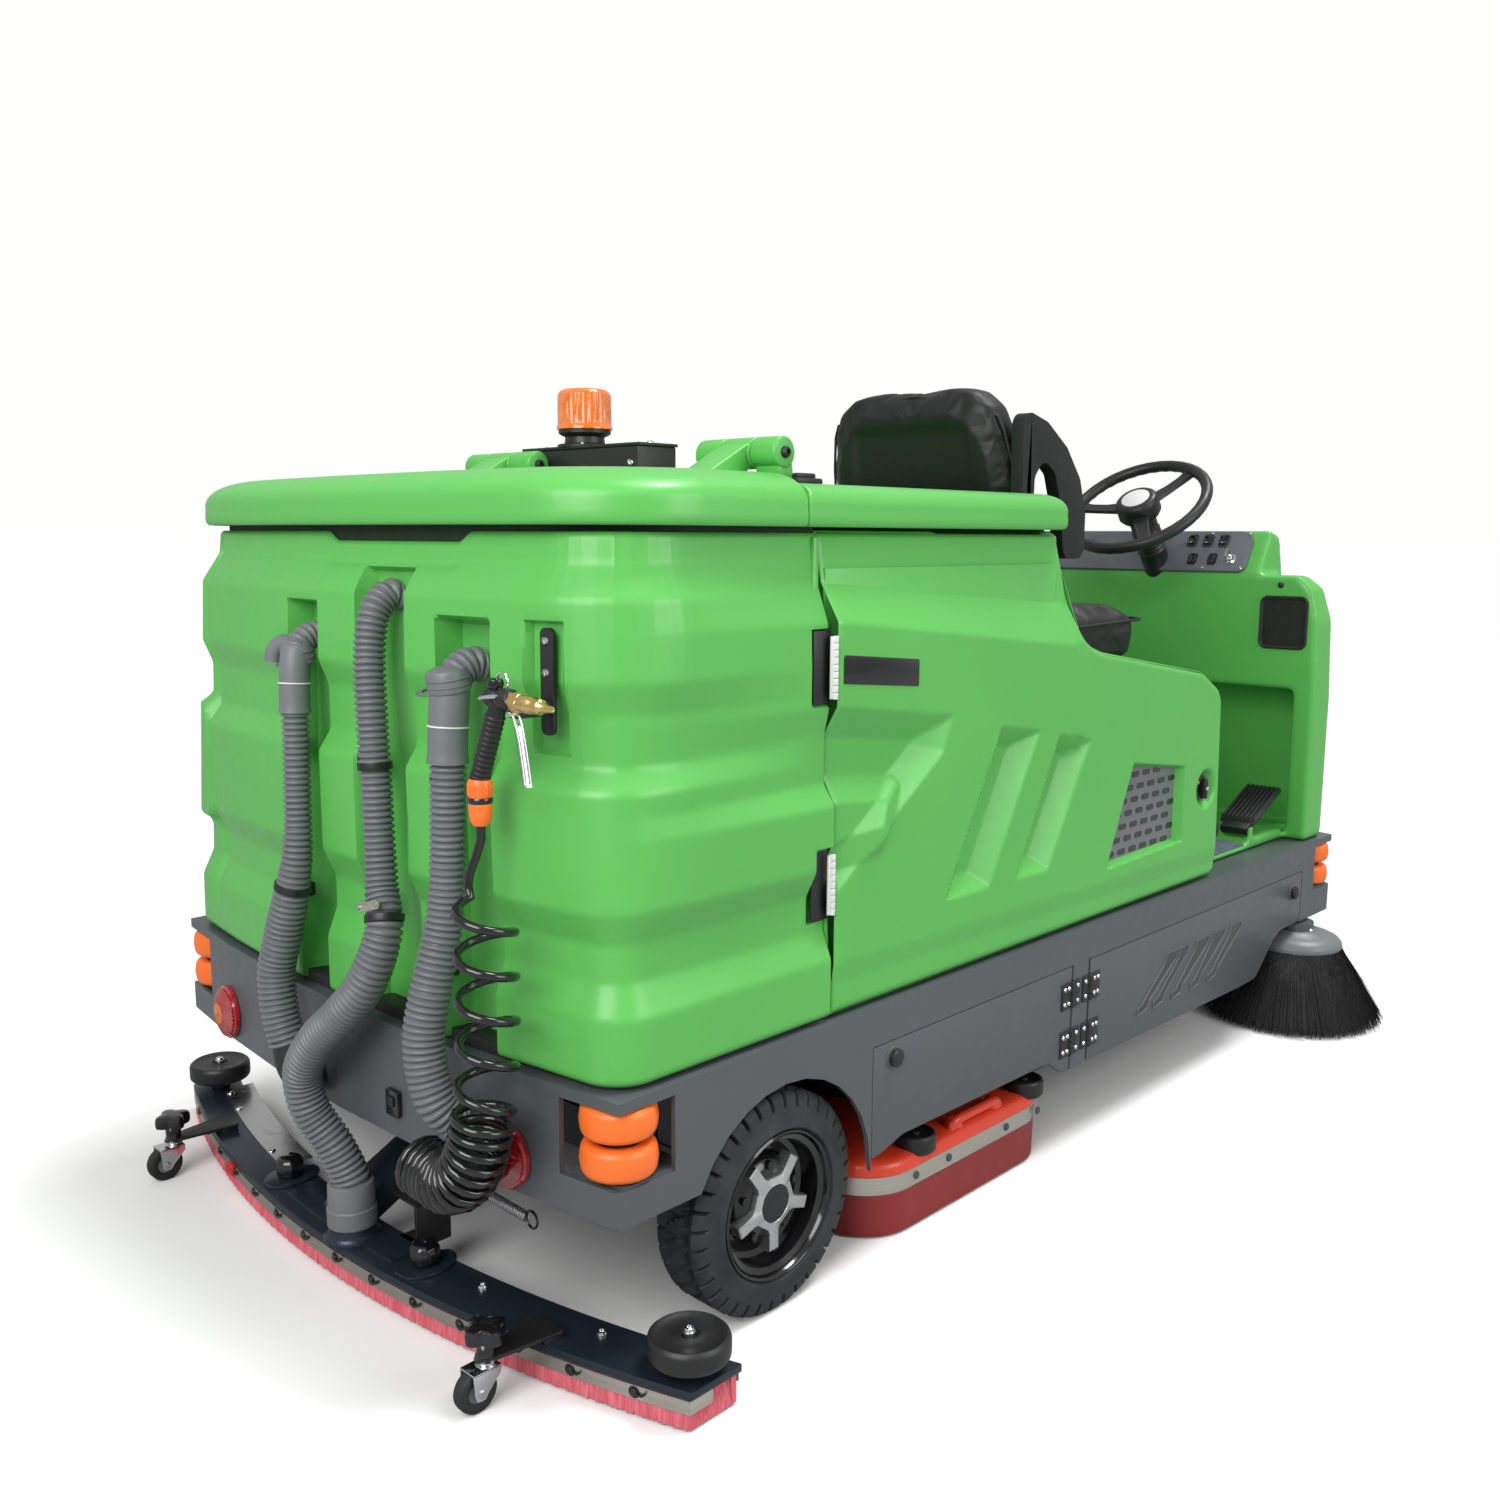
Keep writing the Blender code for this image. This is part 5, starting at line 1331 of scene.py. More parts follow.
def rim():
    """Dished rim: bright-edged lip, deep well and domed hub plate."""
    chain = [
        (0.111, -0.008), (0.110, -0.002), (0.107, 0.0005), (0.104, -0.002), (0.102, -0.010), (0.094, -0.014)
    ]
    chain += [
        (0.092, -0.030), (0.090, -0.044), (0.082, -0.048), (0.070, -0.044), (0.064, -0.034), (0.056, -0.027)
    ]
    chain += [(0.046, -0.024), (0.034, -0.022), (0.0, -0.022)]
    return lathe(chain, segments=64)


def star_cap():
    """Five-armed silver cap with a black middle."""
    outline = []
    for k in range(STAR_ARMS):
        middle_angle = math.pi / 2 + TURN * k / STAR_ARMS
        for angle, radius in (
            (-0.42, 0.040), (-0.30, 0.041), (-0.20, 0.047), (-0.125, 0.074), (0.125, 0.074), (0.20, 0.047),
            (0.30, 0.041), (0.42, 0.040)
        ):
            a = middle_angle + angle
            outline.append((radius * math.cos(a), radius * math.sin(a)))
    rows = [
        [(x, y, -0.034) for x, y in outline], [(x, y, -0.0165) for x, y in outline],
        [(x * 0.975, y * 0.975, -0.0145) for x, y in outline]
    ]
    ring = [(0.0285 * x / math.hypot(x, y), 0.0285 * y / math.hypot(x, y), -0.0115) for x, y in outline]
    rows.append(ring)
    rows.append([(x * 0.97, y * 0.97, -0.0135) for x, y, _ in ring])
    return grid(rows, True, False)


def wheel_bolts():
    parts = []
    for k in range(STAR_ARMS):
        a = math.pi / 2 + TURN * (k + 0.5) / STAR_ARMS
        parts.append((
            disc(
                0.0065, -0.030, -0.021, (0.055 * math.cos(a), 0.055 * math.sin(a), 0), segments=6,
                soft=0.001
            ),
            "black"
        ))
    return parts


def rear_wheels():
    parts = [(tyre(), "tyre"), (rim(), "gloss_black"), (star_cap(), "cast")]
    parts.append((lathe([(0.0285, -0.0140), (0.027, -0.0120), (0.020, -0.0112), (0, -0.0108)]), "rubber"))
    parts.append((disc(0.118, -0.094, -0.060, segments=48), "black"))
    parts += wheel_bolts()
    for side, label in ((-1, "right"), (1, "left")):
        node = "rear_wheel_" + label
        turn = Matrix.Translation((0, side * WHEEL_OUT, WHEEL_RADIUS)) @ facing((0, side, 0))
        if side < 0:
            turn = turn @ Matrix.Rotation(math.pi, 4, "Z")
        piece(
            node + "_tyre", node, [(shifted(part, turn), finish) for part, finish in parts],
            [node]
        )


def front_wheel():
    x, r, half = 1.620, 0.130, 0.0425
    chain = [
        (0.013, -half + 0.004), (0.075, -half + 0.006), (0.085, -half), (r - 0.012, -half),
        (r - 0.003, -half + 0.004), (r, -half + 0.013)
    ]
    chain += [(r, -0.014), (r - 0.004, -0.012), (r - 0.004, -0.009), (r, -0.007)]
    chain += [(a, -h) for a, h in reversed(chain)]
    piece(
        "front_wheel_tyre", "front_wheel", [(lathe(chain, (x, 0, r), (0, 1, 0), 64), "tyre")],
        ["front_wheel"]
    )


ROLLERS = ("rear_roller_right", "rear_roller_left", "front_roller_right", "front_roller_left")


def corner_rollers():
    """Two orange rims on a black hub."""
    for node in ROLLERS:
        low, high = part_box(node)
        centre = (low + high) / 2 - AXLE
        r = (high.x - low.x) / 2
        parts = []
        for z0, z1 in ((low.z + 0.001, low.z + 0.046), (high.z - 0.046, high.z - 0.001)):
            soft = 0.012
            arc_points = [
                (r - 0.0015 - soft + soft * math.sin(a), z0 + soft - soft * math.cos(a))
                for a in np.linspace(0, math.pi / 2, 8)
            ]
            top = [(a, z0 + z1 - h) for a, h in reversed(arc_points)]
            chain = [
                (r - 0.024, z0 + 0.008), (r - 0.021, z0 + 0.001)
            ] + arc_points + [(
                r + 0.0, (z0 + z1) / 2
            )] + top + [(r - 0.021, z1 - 0.001), (r - 0.024, z1 - 0.008)]
            parts.append((lathe(chain, (centre.x, centre.y, 0), segments=56), "orange"))
            hub = [
                (0.009, z0 + 0.006), (r - 0.023, z0 + 0.007), (r - 0.023, z1 - 0.007), (0.009, z1 - 0.006)
            ]
            parts.append((lathe(hub, (centre.x, centre.y, 0), segments=32), "gloss_black"))
        parts.append((disc(0.030, low.z + 0.040, high.z - 0.040, (centre.x, centre.y, 0)), "black"))
        piece(node + "_rims", node, parts, [node])


def tail_lights():
    """Faceted red lens with an amber middle, in a black ring."""
    for side, label in ((-1, "right"), (1, "left")):
        y = side * 0.400
        lean = Vector((-1, 2 * REAR_BOW * y / HALF_WIDTH ** 2, 0)).normalized()
        centre = Vector((rear_x(y), y, 0.295))
        body = [(0, 0.0008), (0.046, 0.0008), (0.046, 0.007), (0.0435, 0.010), (0.041, 0.010)]

        def facet(angle, radius, height):
            rings = round(radius / 0.0034)
            k = angle * 36 / TURN + (rings % 2) * 0.5
            return radius, height + 0.0014 * math.cos(TURN * k)

        red = [(0.041, 0.010)] + [
            (0.0415 - 0.0034 * i, 0.012 + 0.009 * math.sin(i / 8 * math.pi / 2)) for i in range(8)
        ]
        amber = [(0.018 - 0.0034 * i, 0.0212 + 0.0015 * i / 5) for i in range(5)] + [(0, 0.023)]
        parts = [(lathe(body, centre, lean), "red_lens"), (lathe(red, centre, lean, 72, facet), "red_lens")]
        parts.append((lathe(amber, centre, lean, 72, facet), "amber"))
        piece("tail_light_lens_" + label, "root", parts, ["tail_light_" + label])


def front_lamps():
    """Red-cased lamp beside each front roller."""
    for side in (-1, 1):
        y = side * 0.410
        lean = Vector((1, 0.25 * side, 0)).normalized()
        centre = Vector((front_x(y) + 0.0005, y, 0.318))
        body = [(0, 0.0), (0.040, 0.0), (0.040, 0.006), (0.034, 0.014), (0.018, 0.019), (0, 0.020)]
        parts = [
            (lathe(body, centre, lean), "red_lens"),
            (
                lathe([(0.043, -0.001), (0.043, 0.005), (0.039, 0.007), (0.039, -0.001)], centre, lean),
                "black"
            )
        ]
        piece("front_lamp_" + ("right" if side < 0 else "left"), "root", parts)


# ---- skirt doors ----------------------------------------------------------------------------

SKIN = 0.008
LOUVRES = (
    ((1.114, 1.167), (1.004, 1.045)), ((1.173, 1.213), (1.068, 1.106)), ((1.242, 1.304), (1.144, 1.184)),
    ((1.315, 1.378), (1.224, 1.264)), ((1.400, 1.456), (1.301, 1.349)),
)


def skirt_outline(front):
    if front:
        low, high = 0.822, 1.768
        corners = [
            (low + 0.001, 0.352), (low + 0.001, 0.156), (high - 0.303, 0.145), (high - 0.222, 0.147),
            (high - 0.137, 0.218), (high - 0.102, 0.233), (high, 0.234), (high, 0.352),
        ]
        return rounded(corners, [0.004, 0.006, 0.05, 0.05, 0.03, 0.03, 0.006, 0.004])
    low, high = 0.192, 0.760
    corners = [
        (low, 0.352), (low, 0.174), (low + 0.029, 0.178), (low + 0.077, 0.191), (high - 0.070, 0.188),
        (high - 0.024, 0.157), (high - 0.001, 0.157), (high - 0.001, 0.352),
    ]
    return rounded(corners, [0.004, 0.006, 0.015, 0.02, 0.02, 0.02, 0.006, 0.004])


def louvre(top, bottom):
    """One slanted slot with an S-shaped end at its foot, inside a pressed rim; its dark inside is painted
    shade, a gloss black plate on the panel.
    """
    (a, b), (c, _) = top, bottom
    high, low = 0.297, 0.195
    wide = 0.020
    outline = [
        (a + 0.006, high), (b, high), (b - 0.010, high - 0.018), (c + 0.030 + wide, low + 0.022),
        (c + 0.018 + wide, low + 0.006)
    ]
    outline += [(c, low), (c + 0.004, low + 0.014), (c + 0.020, low + 0.020), (a - 0.004, high - 0.020)]
    return rounded(outline, 0.0035, None, 3)


def skirt_doors():
    y = -HALF_WIDTH
    for front, label_start in ((False, "mid"), (True, "front")):
        outline = skirt_outline(front)
        panel = prism(outline, "y", y, y + SKIN, 0.0012)
        hinge_x, knob = (0.822, (1.720, 0.311)) if front else (0.760, (0.242, 0.325))
        parts = [(panel, "slate")]
        if front:
            for top, bottom in LOUVRES:
                slot = louvre(top, bottom)
                # the slot is a gloss black plate on the panel face: painted shade for the opening
                parts.append((prism(slot, "y", y - 0.0006, y + 0.002), "gloss_black"))
                parts.append((sweep([(x, y - 0.0006, z) for x, z in slot + slot[:1]], 0.0016, 6), "slate"))
        kx, kz = knob
        grip = lathe(
            [
                (0, 0.012), (0.007, 0.012), (0.011, 0.0115), (0.0145, 0.009), (0.0145, 0.004),
                (0.010, 0.001), (0.010, -0.003), (0, -0.003)
            ],
            (kx, y, kz), (0, -1, 0), 28
        )
        parts.append((grip, "black"))
        parts.append((disc(0.0185, -0.0005, 0.0018, (kx, y, kz), (0, -1, 0)), "slate"))
        for low in (0.185, 0.275):
            for k in range(4):
                z = low + 0.0125 * k
                parts.append((
                    disc(0.0056, z + 0.0004, z + 0.0119, (hinge_x, y, 0), soft=0.0008, segments=16), "black"
                ))
            away = 1 if front else -1
            leaf = sorted((hinge_x + away * 0.004, hinge_x + away * 0.034))
            parts.append((
                block((leaf[0], y - 0.0024, low), (leaf[1], y + 0.001, low + 0.05), 0.0012), "black"
            ))
            for z in (low + 0.011, low + 0.039):
                for reach in (0.013, 0.026):
                    parts.append((
                        screw((hinge_x + away * reach, y - 0.0022, z), (0, -1, 0), 0.0042), "chrome"
                    ))
        for side, label in ((-1, "right"), (1, "left")):
            node = "%s_skirt_door_%s" % (label_start, label)
            piece(
                node + "_panel", node, [(sided(part, side), finish) for part, finish in parts],
                [node]
            )
    fixed = []
    for hinge_x, away in ((0.760, 1), (0.822, -1)):
        for low in (0.185, 0.275):
            leaf = sorted((hinge_x + away * 0.0055, hinge_x + away * 0.0265))
            fixed.append((
                block((leaf[0], y - 0.0024, low), (leaf[1], y - 0.0002, low + 0.05), 0.0012), "black"
            ))
            for z in (low + 0.011, low + 0.039):
                fixed.append((screw((hinge_x + away * 0.017, y - 0.0022, z), (0, -1, 0), 0.0042), "chrome"))
    for side, label in ((-1, "right"), (1, "left")):
        piece(
            "skirt_hinge_leaves_" + label, "root", [(sided(part, side), finish) for part, finish in fixed],
        )


# ---- beacon ---------------------------------------------------------------------------------

BEACON = (0.152, 0.015)
BEACON_RADIUS = 0.047
BEACON_LOW = 1.290
BEACON_TOP = 1.358


def beacon():
    x, y = BEACON
    low = FRONT_LID_TOP + 0.0006
    parts = [(block((0.112, -0.168, low), (0.193, 0.133, 1.2575), 0.004, 3), "black")]
    parts.append((block((0.110, -0.170, 1.2565), (0.195, 0.135, 1.2615), 0.0015), "black"))
    for sy in (-0.150, 0.118):
        parts.append((screw((0.110, sy, 1.230), (-1, 0, 0), 0.006), "chrome"))
        parts.append((screw((x, sy, 1.2615), (0, 0, 1), 0.006), "chrome"))
    parts.append((screw((0.112, -0.02, 1.218), (-1, 0, 0), 0.005), "chrome"))
    collar = [(0, 1.2605), (0.046, 1.2605), (0.046, 1.265), (0.034, 1.268), (0.033, 1.278), (0.040, 1.281)]
    collar += [(0.044, 1.284), (0.044, BEACON_LOW), (0, BEACON_LOW)]
    parts.append((lathe(collar, (x, y, 0)), "black"))
    for k in range(4):
        a = math.pi / 4 + k * math.pi / 2
        parts.append((
            screw((x + 0.040 * math.cos(a), y + 0.040 * math.sin(a), 1.265), (0, 0, 1), 0.0035), "chrome"
        ))
    piece("beacon_base_bracket", "root", parts, ["beacon_base"])

    def flute(angle, radius, height):
        if radius > BEACON_RADIUS - 0.007 and BEACON_LOW + 0.008 < height < BEACON_TOP - 0.012:
            return radius - 0.0013 * (0.5 - 0.5 * math.cos(36 * angle)), height
        return radius, height

    steps = (
        (0.0040, 0.0005), (0.0, 0.0005), (0.0, 0.0050), (0.0015, 0.0070), (0.0018, 0.0090), (0.0018, 0.0250)
    )
    profile = [(BEACON_RADIUS - inset, BEACON_LOW + up) for inset, up in steps]
    profile += [(0.0446, BEACON_TOP - 0.013), (0.0440, BEACON_TOP - 0.010), (0.041, BEACON_TOP - 0.005)]
    profile += [(0.035, BEACON_TOP - 0.0018), (0.024, BEACON_TOP - 0.0004), (0.0, BEACON_TOP)]
    dome_part = lathe(profile, (x, y, 0), segments=144, wobble=flute)
    inner = lathe([(0, 1.291), (0.018, 1.291), (0.018, 1.332), (0.014, 1.337), (0, 1.337)], (x, y, 0))
    piece("beacon_dome", "root", [(dome_part, "amber"), (inner, "chrome")], ["beacon_lens"])


# ---- squeegee -------------------------------------------------------------------------------

SQUEEGEE_REAR = -0.405
SQUEEGEE_FRONT = -0.315
SQUEEGEE_HALF = 0.700
SQUEEGEE_BEND = 0.250
STUD_Z = 0.0355
PLATE_SCREW_X = -0.345
SQUEEGEE_TOP = 0.058
SQUEEGEE_PIVOT = (-0.095, 0.200)
CASTER = (-0.424, 0.464)
CASTER_TRAIL = 0.018
CASTER_RADIUS = 0.029
END_WHEEL = (-0.247, 0.658)
PORT = (-0.372, -0.046)
STRIP_LOW = 0.026


def bent(base, y):
    """X of a line along the bowed squeegee, base at its middle."""
    return base + SQUEEGEE_BEND * y * y


def bowed(base, half, count=49):
    return [(bent(base, y), y) for y in np.linspace(-half, half, count)]


def band(rear, front, half, count=49):
    """Outline of a strip that follows the squeegee's bow."""
    return bowed(rear, half, count) + list(reversed(bowed(front, half, count)))


def bow_out(y):
    """Direction square to the squeegee's rear edge at y, pointing back."""
    return Vector((-1, 2 * SQUEEGEE_BEND * y, 0)).normalized()


def squeegee_blade():
    """Rear and front walls of bristle strands, their lower ends cut a little unevenly."""
    parts = []
    top = SQUEEGEE_TOP - 0.0124
    for base, out in ((SQUEEGEE_REAR + 0.004, -1), (SQUEEGEE_FRONT - 0.014, 1)):
        rows = []
        for k, y in enumerate(np.linspace(-SQUEEGEE_HALF + 0.005, SQUEEGEE_HALF - 0.005, 560)):
            x = bent(base, y)
            ripple = 0.0011 * math.sin(k * 2.1) + 0.0008 * math.sin(k * 0.7)
            low = 0.0034 + 0.0012 * (math.sin(k * 5.3) * 0.5 + 0.5)
            flare = 0.0025 * out
            rows.append([
                (x, y, top), (x + flare * 0.3 + ripple * 0.6, y, 0.030), (x + flare + ripple, y, low),
                (x + 0.010 + ripple * 0.5, y, low), (x + 0.010, y, top)
            ])
        parts.append((grid(rows, True, True), "pink_bristle"))
    for side in (-1, 1):
        y = side * (SQUEEGEE_HALF - 0.009)
        rear, front = bent(SQUEEGEE_REAR + 0.006, y), bent(SQUEEGEE_FRONT - 0.006, y)
        rows = []
        for k, x in enumerate(np.linspace(rear, front, 46)):
            ripple = 0.0011 * math.sin(k * 2.3)
            rows.append([
                (x, y - side * 0.004, top),
                (x, y + side * (0.004 + ripple), 0.004 + 0.001 * math.sin(k * 3.7)),
                (x, y - side * 0.004, 0.004)
            ])
        parts.append((grid(rows, True, True), "pink_bristle"))
    piece("squeegee_bristles", "squeegee", parts, ["squeegee_blade"])


def wrapped(points, low, high, thick):
    """A metal strip stood on edge along the (x, y) points."""
    rows = []
    for (x, y), out in points:
        p, q = Vector((x, y, 0)), Vector((x, y, 0)) + out * thick
        rows.append([(p.x, p.y, low), (p.x, p.y, high), (q.x, q.y, high), (q.x, q.y, low)])
    return grid(rows, True, True)


def squeegee_strips():
    """Stainless strip round the rear, held by black slotted studs, with one red end latch."""
    edge = SQUEEGEE_REAR + 0.0015
    half = SQUEEGEE_HALF - 0.004
    rear = [((x, y), bow_out(y)) for x, y in bowed(edge, half, 61)]
    parts = [(wrapped(rear, STRIP_LOW, SQUEEGEE_TOP - 0.013, 0.0012), "strip")]
    front = [((x, y), -bow_out(y)) for x, y in bowed(SQUEEGEE_FRONT - 0.0015, half, 61)]
    parts.append((wrapped(front, STRIP_LOW + 0.006, SQUEEGEE_TOP - 0.013, 0.0012), "strip"))
    for side in (-1, 1):
        y = side * (SQUEEGEE_HALF - 0.004)
        x0 = bent(edge, y)
        ys = sorted((y, y + side * 0.0012))
        parts.append((
            block((x0 - 0.001, ys[0], STRIP_LOW), (x0 + 0.040, ys[1], SQUEEGEE_TOP - 0.013), 0.0003),
            "strip"
        ))
    for y in np.linspace(-0.62, 0.62, 14):
        out = bow_out(y)
        x = bent(edge, y)
        stud = disc(0.0055, -0.001, 0.0045, (x, y, STUD_Z), out, 0.0012, 16)
        along_edge = Vector((out.y, -out.x, 0))
        hook = [
            Vector((x, y, STUD_Z)) + out * 0.003 + along_edge * a + Vector((0, 0, b)) for a,
            b in ((-0.006, -0.001), (-0.012, -0.002), (-0.016, 0.001), (-0.018, 0.006))
        ]
        parts += [
            (stud, "gloss_black"), (sweep(hook, 0.0016, 8), "gloss_black"),
            (disc(0.0085, -0.0005, 0.0018, (x, y, STUD_Z), out, 0.0006, 20), "black")
        ]
    y = 0.35
    out, x = bow_out(y), bent(edge, y)
    place = Matrix.Translation((x, y, 0.0345)) @ facing(out)
    parts.append((
        shifted(block((-0.009, -0.018, 0.001), (0.009, 0.018, 0.009), 0.002), place), "latch_red"
    ))
    return parts


def star_knob(x, y, z):
    """Four-lobed knob on a round neck, 46 mm high in all."""
    outline = []
    for k in range(48):
        a = TURN * k / 48
        outline.append((0.0195 + 0.0105 * (0.5 + 0.5 * math.cos(4 * a)) ** 0.8, a))
    rows = []
    for share, height in (
        (0.80, 0.0), (0.97, 0.002), (1.0, 0.005), (1.0, 0.015), (0.96, 0.019), (0.80, 0.0215), (0.35, 0.022)
    ):
        rows.append([
            (x + r * share * math.cos(a), y + r * share * math.sin(a), z + 0.0 + height) for r, a in outline
        ])
    neck = lathe(
        [(0, 0.0), (0.016, 0.0), (0.013, -0.006), (0.012, -0.020), (0.016, -0.026), (0, -0.026)], (x, y, z),
        segments=24
    )
    return [(grid(rows, True, True), "gloss_black"), (neck, "gloss_black")]


def clamp_knob(x, y, z):
    """Ten-sided glossy knob on a shaped foot plate."""
    chain = [
        (0, 0.034), (0.014, 0.034), (0.019, 0.031), (0.0225, 0.026), (0.0235, 0.012), (0.0215, 0.004),
        (0.017, 0.0), (0.0, 0.0)
    ]

    def ten_sided(angle, radius, height):
        return radius * (1 - 0.05 * abs(math.sin(5 * angle))), height

    foot = [
        (x + 0.050 * math.cos(a) * (1.0 if math.sin(a) < 0.3 else 0.8), y + 0.036 * math.sin(a))
        for a in np.linspace(0, TURN, 25)[:-1]
    ]
    foot = [(max(px, bent(SQUEEGEE_REAR + 0.006, py)), py) for px, py in foot]
    return [
        (lathe(chain, (x, y, z + 0.0045), segments=40, wobble=ten_sided), "gloss_black"),
        (prism(foot, "z", z - 0.0005, z + 0.005, 0.0015), "plate")
    ]


def suction_port():
    x, y = PORT
    z = SQUEEGEE_TOP
    chain = [
        (0.0, 0.0), (0.044, 0.0), (0.044, 0.004), (0.039, 0.007), (0.0365, 0.012), (0.0365, 0.030),
        (0.036, 0.034), (0, 0.034)
    ]
    cuff = [
        (0.0355, 0.022), (0.0372, 0.024), (0.0372, 0.050), (0.0355, 0.052), (0.0350, 0.086),
        (0.0335, 0.090), (0.029, 0.091)
    ]
    return [(
        lathe(chain, (x, y, z), segments=48), "plate"
    )], [(lathe(cuff, (x, y, z), segments=48), "grey")]


def mount_arm():
    """Swing arm from the pivot down to the plate, with its black bracket and studs."""
    x, z = SQUEEGEE_PIVOT
    low = SQUEEGEE_TOP
    arm = [
        (SQUEEGEE_REAR + 0.03, low - 0.003), (SQUEEGEE_FRONT - 0.02, low - 0.003), (x + 0.013, z - 0.016),
        (x + 0.013, z + 0.012), (x - 0.02, z + 0.016), (SQUEEGEE_REAR + 0.03, low + 0.028),
    ]
    parts = [(
        prism(rounded(arm, [0.004, 0.03, 0.008, 0.008, 0.02, 0.01]), "y", -0.0355, 0.0355, 0.002), "plate"
    )]
    parts.append((disc(0.020, -0.0357, 0.0357, (x, 0, z), (0, 1, 0)), "plate"))
    bx = -0.298
    parts.append((block((bx - 0.030, -0.155, low), (bx + 0.030, -0.150, 0.128), 0.002), "black"))
    parts.append((block((bx - 0.030, -0.155, 0.123), (bx + 0.030, -0.090, 0.128), 0.002), "black"))
    parts.append((
        block((bx - 0.030, -0.155, low - 0.001), (bx + 0.030, -0.100, low + 0.004), 0.002), "black"
    ))
    for y in (-0.135, -0.108):
        parts.append((disc(0.004, low, 0.160, (bx, y, 0), segments=12), "steel"))
        for nut in (0.128, 0.136):
            parts.append((disc(0.0075, nut, nut + 0.006, (bx, y, 0), segments=6, soft=0.0008), "steel"))
    return parts


def squeegee_plate():
    z = SQUEEGEE_TOP
    outline = band(SQUEEGEE_REAR, SQUEEGEE_FRONT, SQUEEGEE_HALF)
    parts = [(prism(outline, "z", z - 0.012, z, 0.0018), "plate")]
    inner = band(SQUEEGEE_REAR + 0.022, SQUEEGEE_FRONT - 0.004, 0.16, 13)
    parts.append((prism(inner, "z", z - 0.002, z + 0.004, 0.0015), "plate"))
    for y in (-0.60, -0.52, -0.31, 0.31, 0.52, 0.60):
        parts.append((screw((bent(PLATE_SCREW_X, y), y, z), (0, 0, 1), 0.0075), "chrome"))
    curve = [(bent(-0.352, y), y) for y in np.linspace(0.24, 0.62, 12)]
    strap = [[(x, y, z), (x, y, z + 0.003), (x + 0.055, y, z + 0.003), (x + 0.055, y, z)] for x, y in curve]
    parts.append((grid(strap, True, True), "steel"))
    for side in (-1, 1):
        cx, cy = CASTER[0], side * CASTER[1]
        tail = bent(SQUEEGEE_REAR, cy)
        arm = [
            (cx - 0.012, cy - 0.013), (cx + 0.004, cy - 0.015), (tail + 0.034, cy - 0.030),
            (tail + 0.034, cy + 0.030), (cx + 0.004, cy + 0.015), (cx - 0.012, cy + 0.013)
        ]
        parts.append((
            prism(
                rounded(arm, [0.009, 0.02, 0.006, 0.006, 0.02, 0.009]), "z", z + 0.0078, z + 0.0132, 0.0015
            ),
            "black"
        ))
        parts.append((
            block((tail + 0.006, cy - 0.026, z - 0.002), (tail + 0.033, cy + 0.026, z + 0.010), 0.002),
            "black"
        ))
        parts += star_knob(cx, cy, z + 0.034)
        ex, ey = END_WHEEL[0], side * END_WHEEL[1]
        parts.append((disc(0.0085, z - 0.004, 0.1105, (ex, ey, 0), segments=20), "steel"))
        parts.append((screw((ex, ey, 0.1095), (0, 0, 1), 0.0075), "chrome"))
        parts += clamp_knob(PLATE_SCREW_X, side * 0.20, z)
    port, cuff = suction_port()
    piece(
        "squeegee_plate", "squeegee", parts + squeegee_strips() + port + cuff + mount_arm(),
        ["squeegee_frame"]
    )


def squeegee_wheels():
    """End wheels with a dished top, casters with a chrome fork and a grey-hubbed tyre."""
    for side, label in ((-1, "right"), (1, "left")):
        z = SQUEEGEE_TOP + 0.0004
        x, y = END_WHEEL[0], side * END_WHEEL[1]
        chain = [
            (0.0096, z), (0.018, z), (0.018, 0.074), (0.044, 0.075), (0.052, 0.0765), (0.0545, 0.080),
            (0.055, 0.084), (0.055, 0.100), (0.0535, 0.1045)
        ]
        chain += [
            (0.050, 0.1075), (0.047, 0.1075), (0.044, 0.1055), (0.020, 0.1050), (0.0165, 0.1065),
            (0.0140, 0.1065), (0.0125, 0.1035), (0.0096, 0.1035), (0.0096, z)
        ]
        node = "squeegee_wheel_" + label
        piece(
            node + "_tyre", node, [(lathe(chain, (x, y, 0), segments=72), "black")], [node]
        )
        caster(side, label)


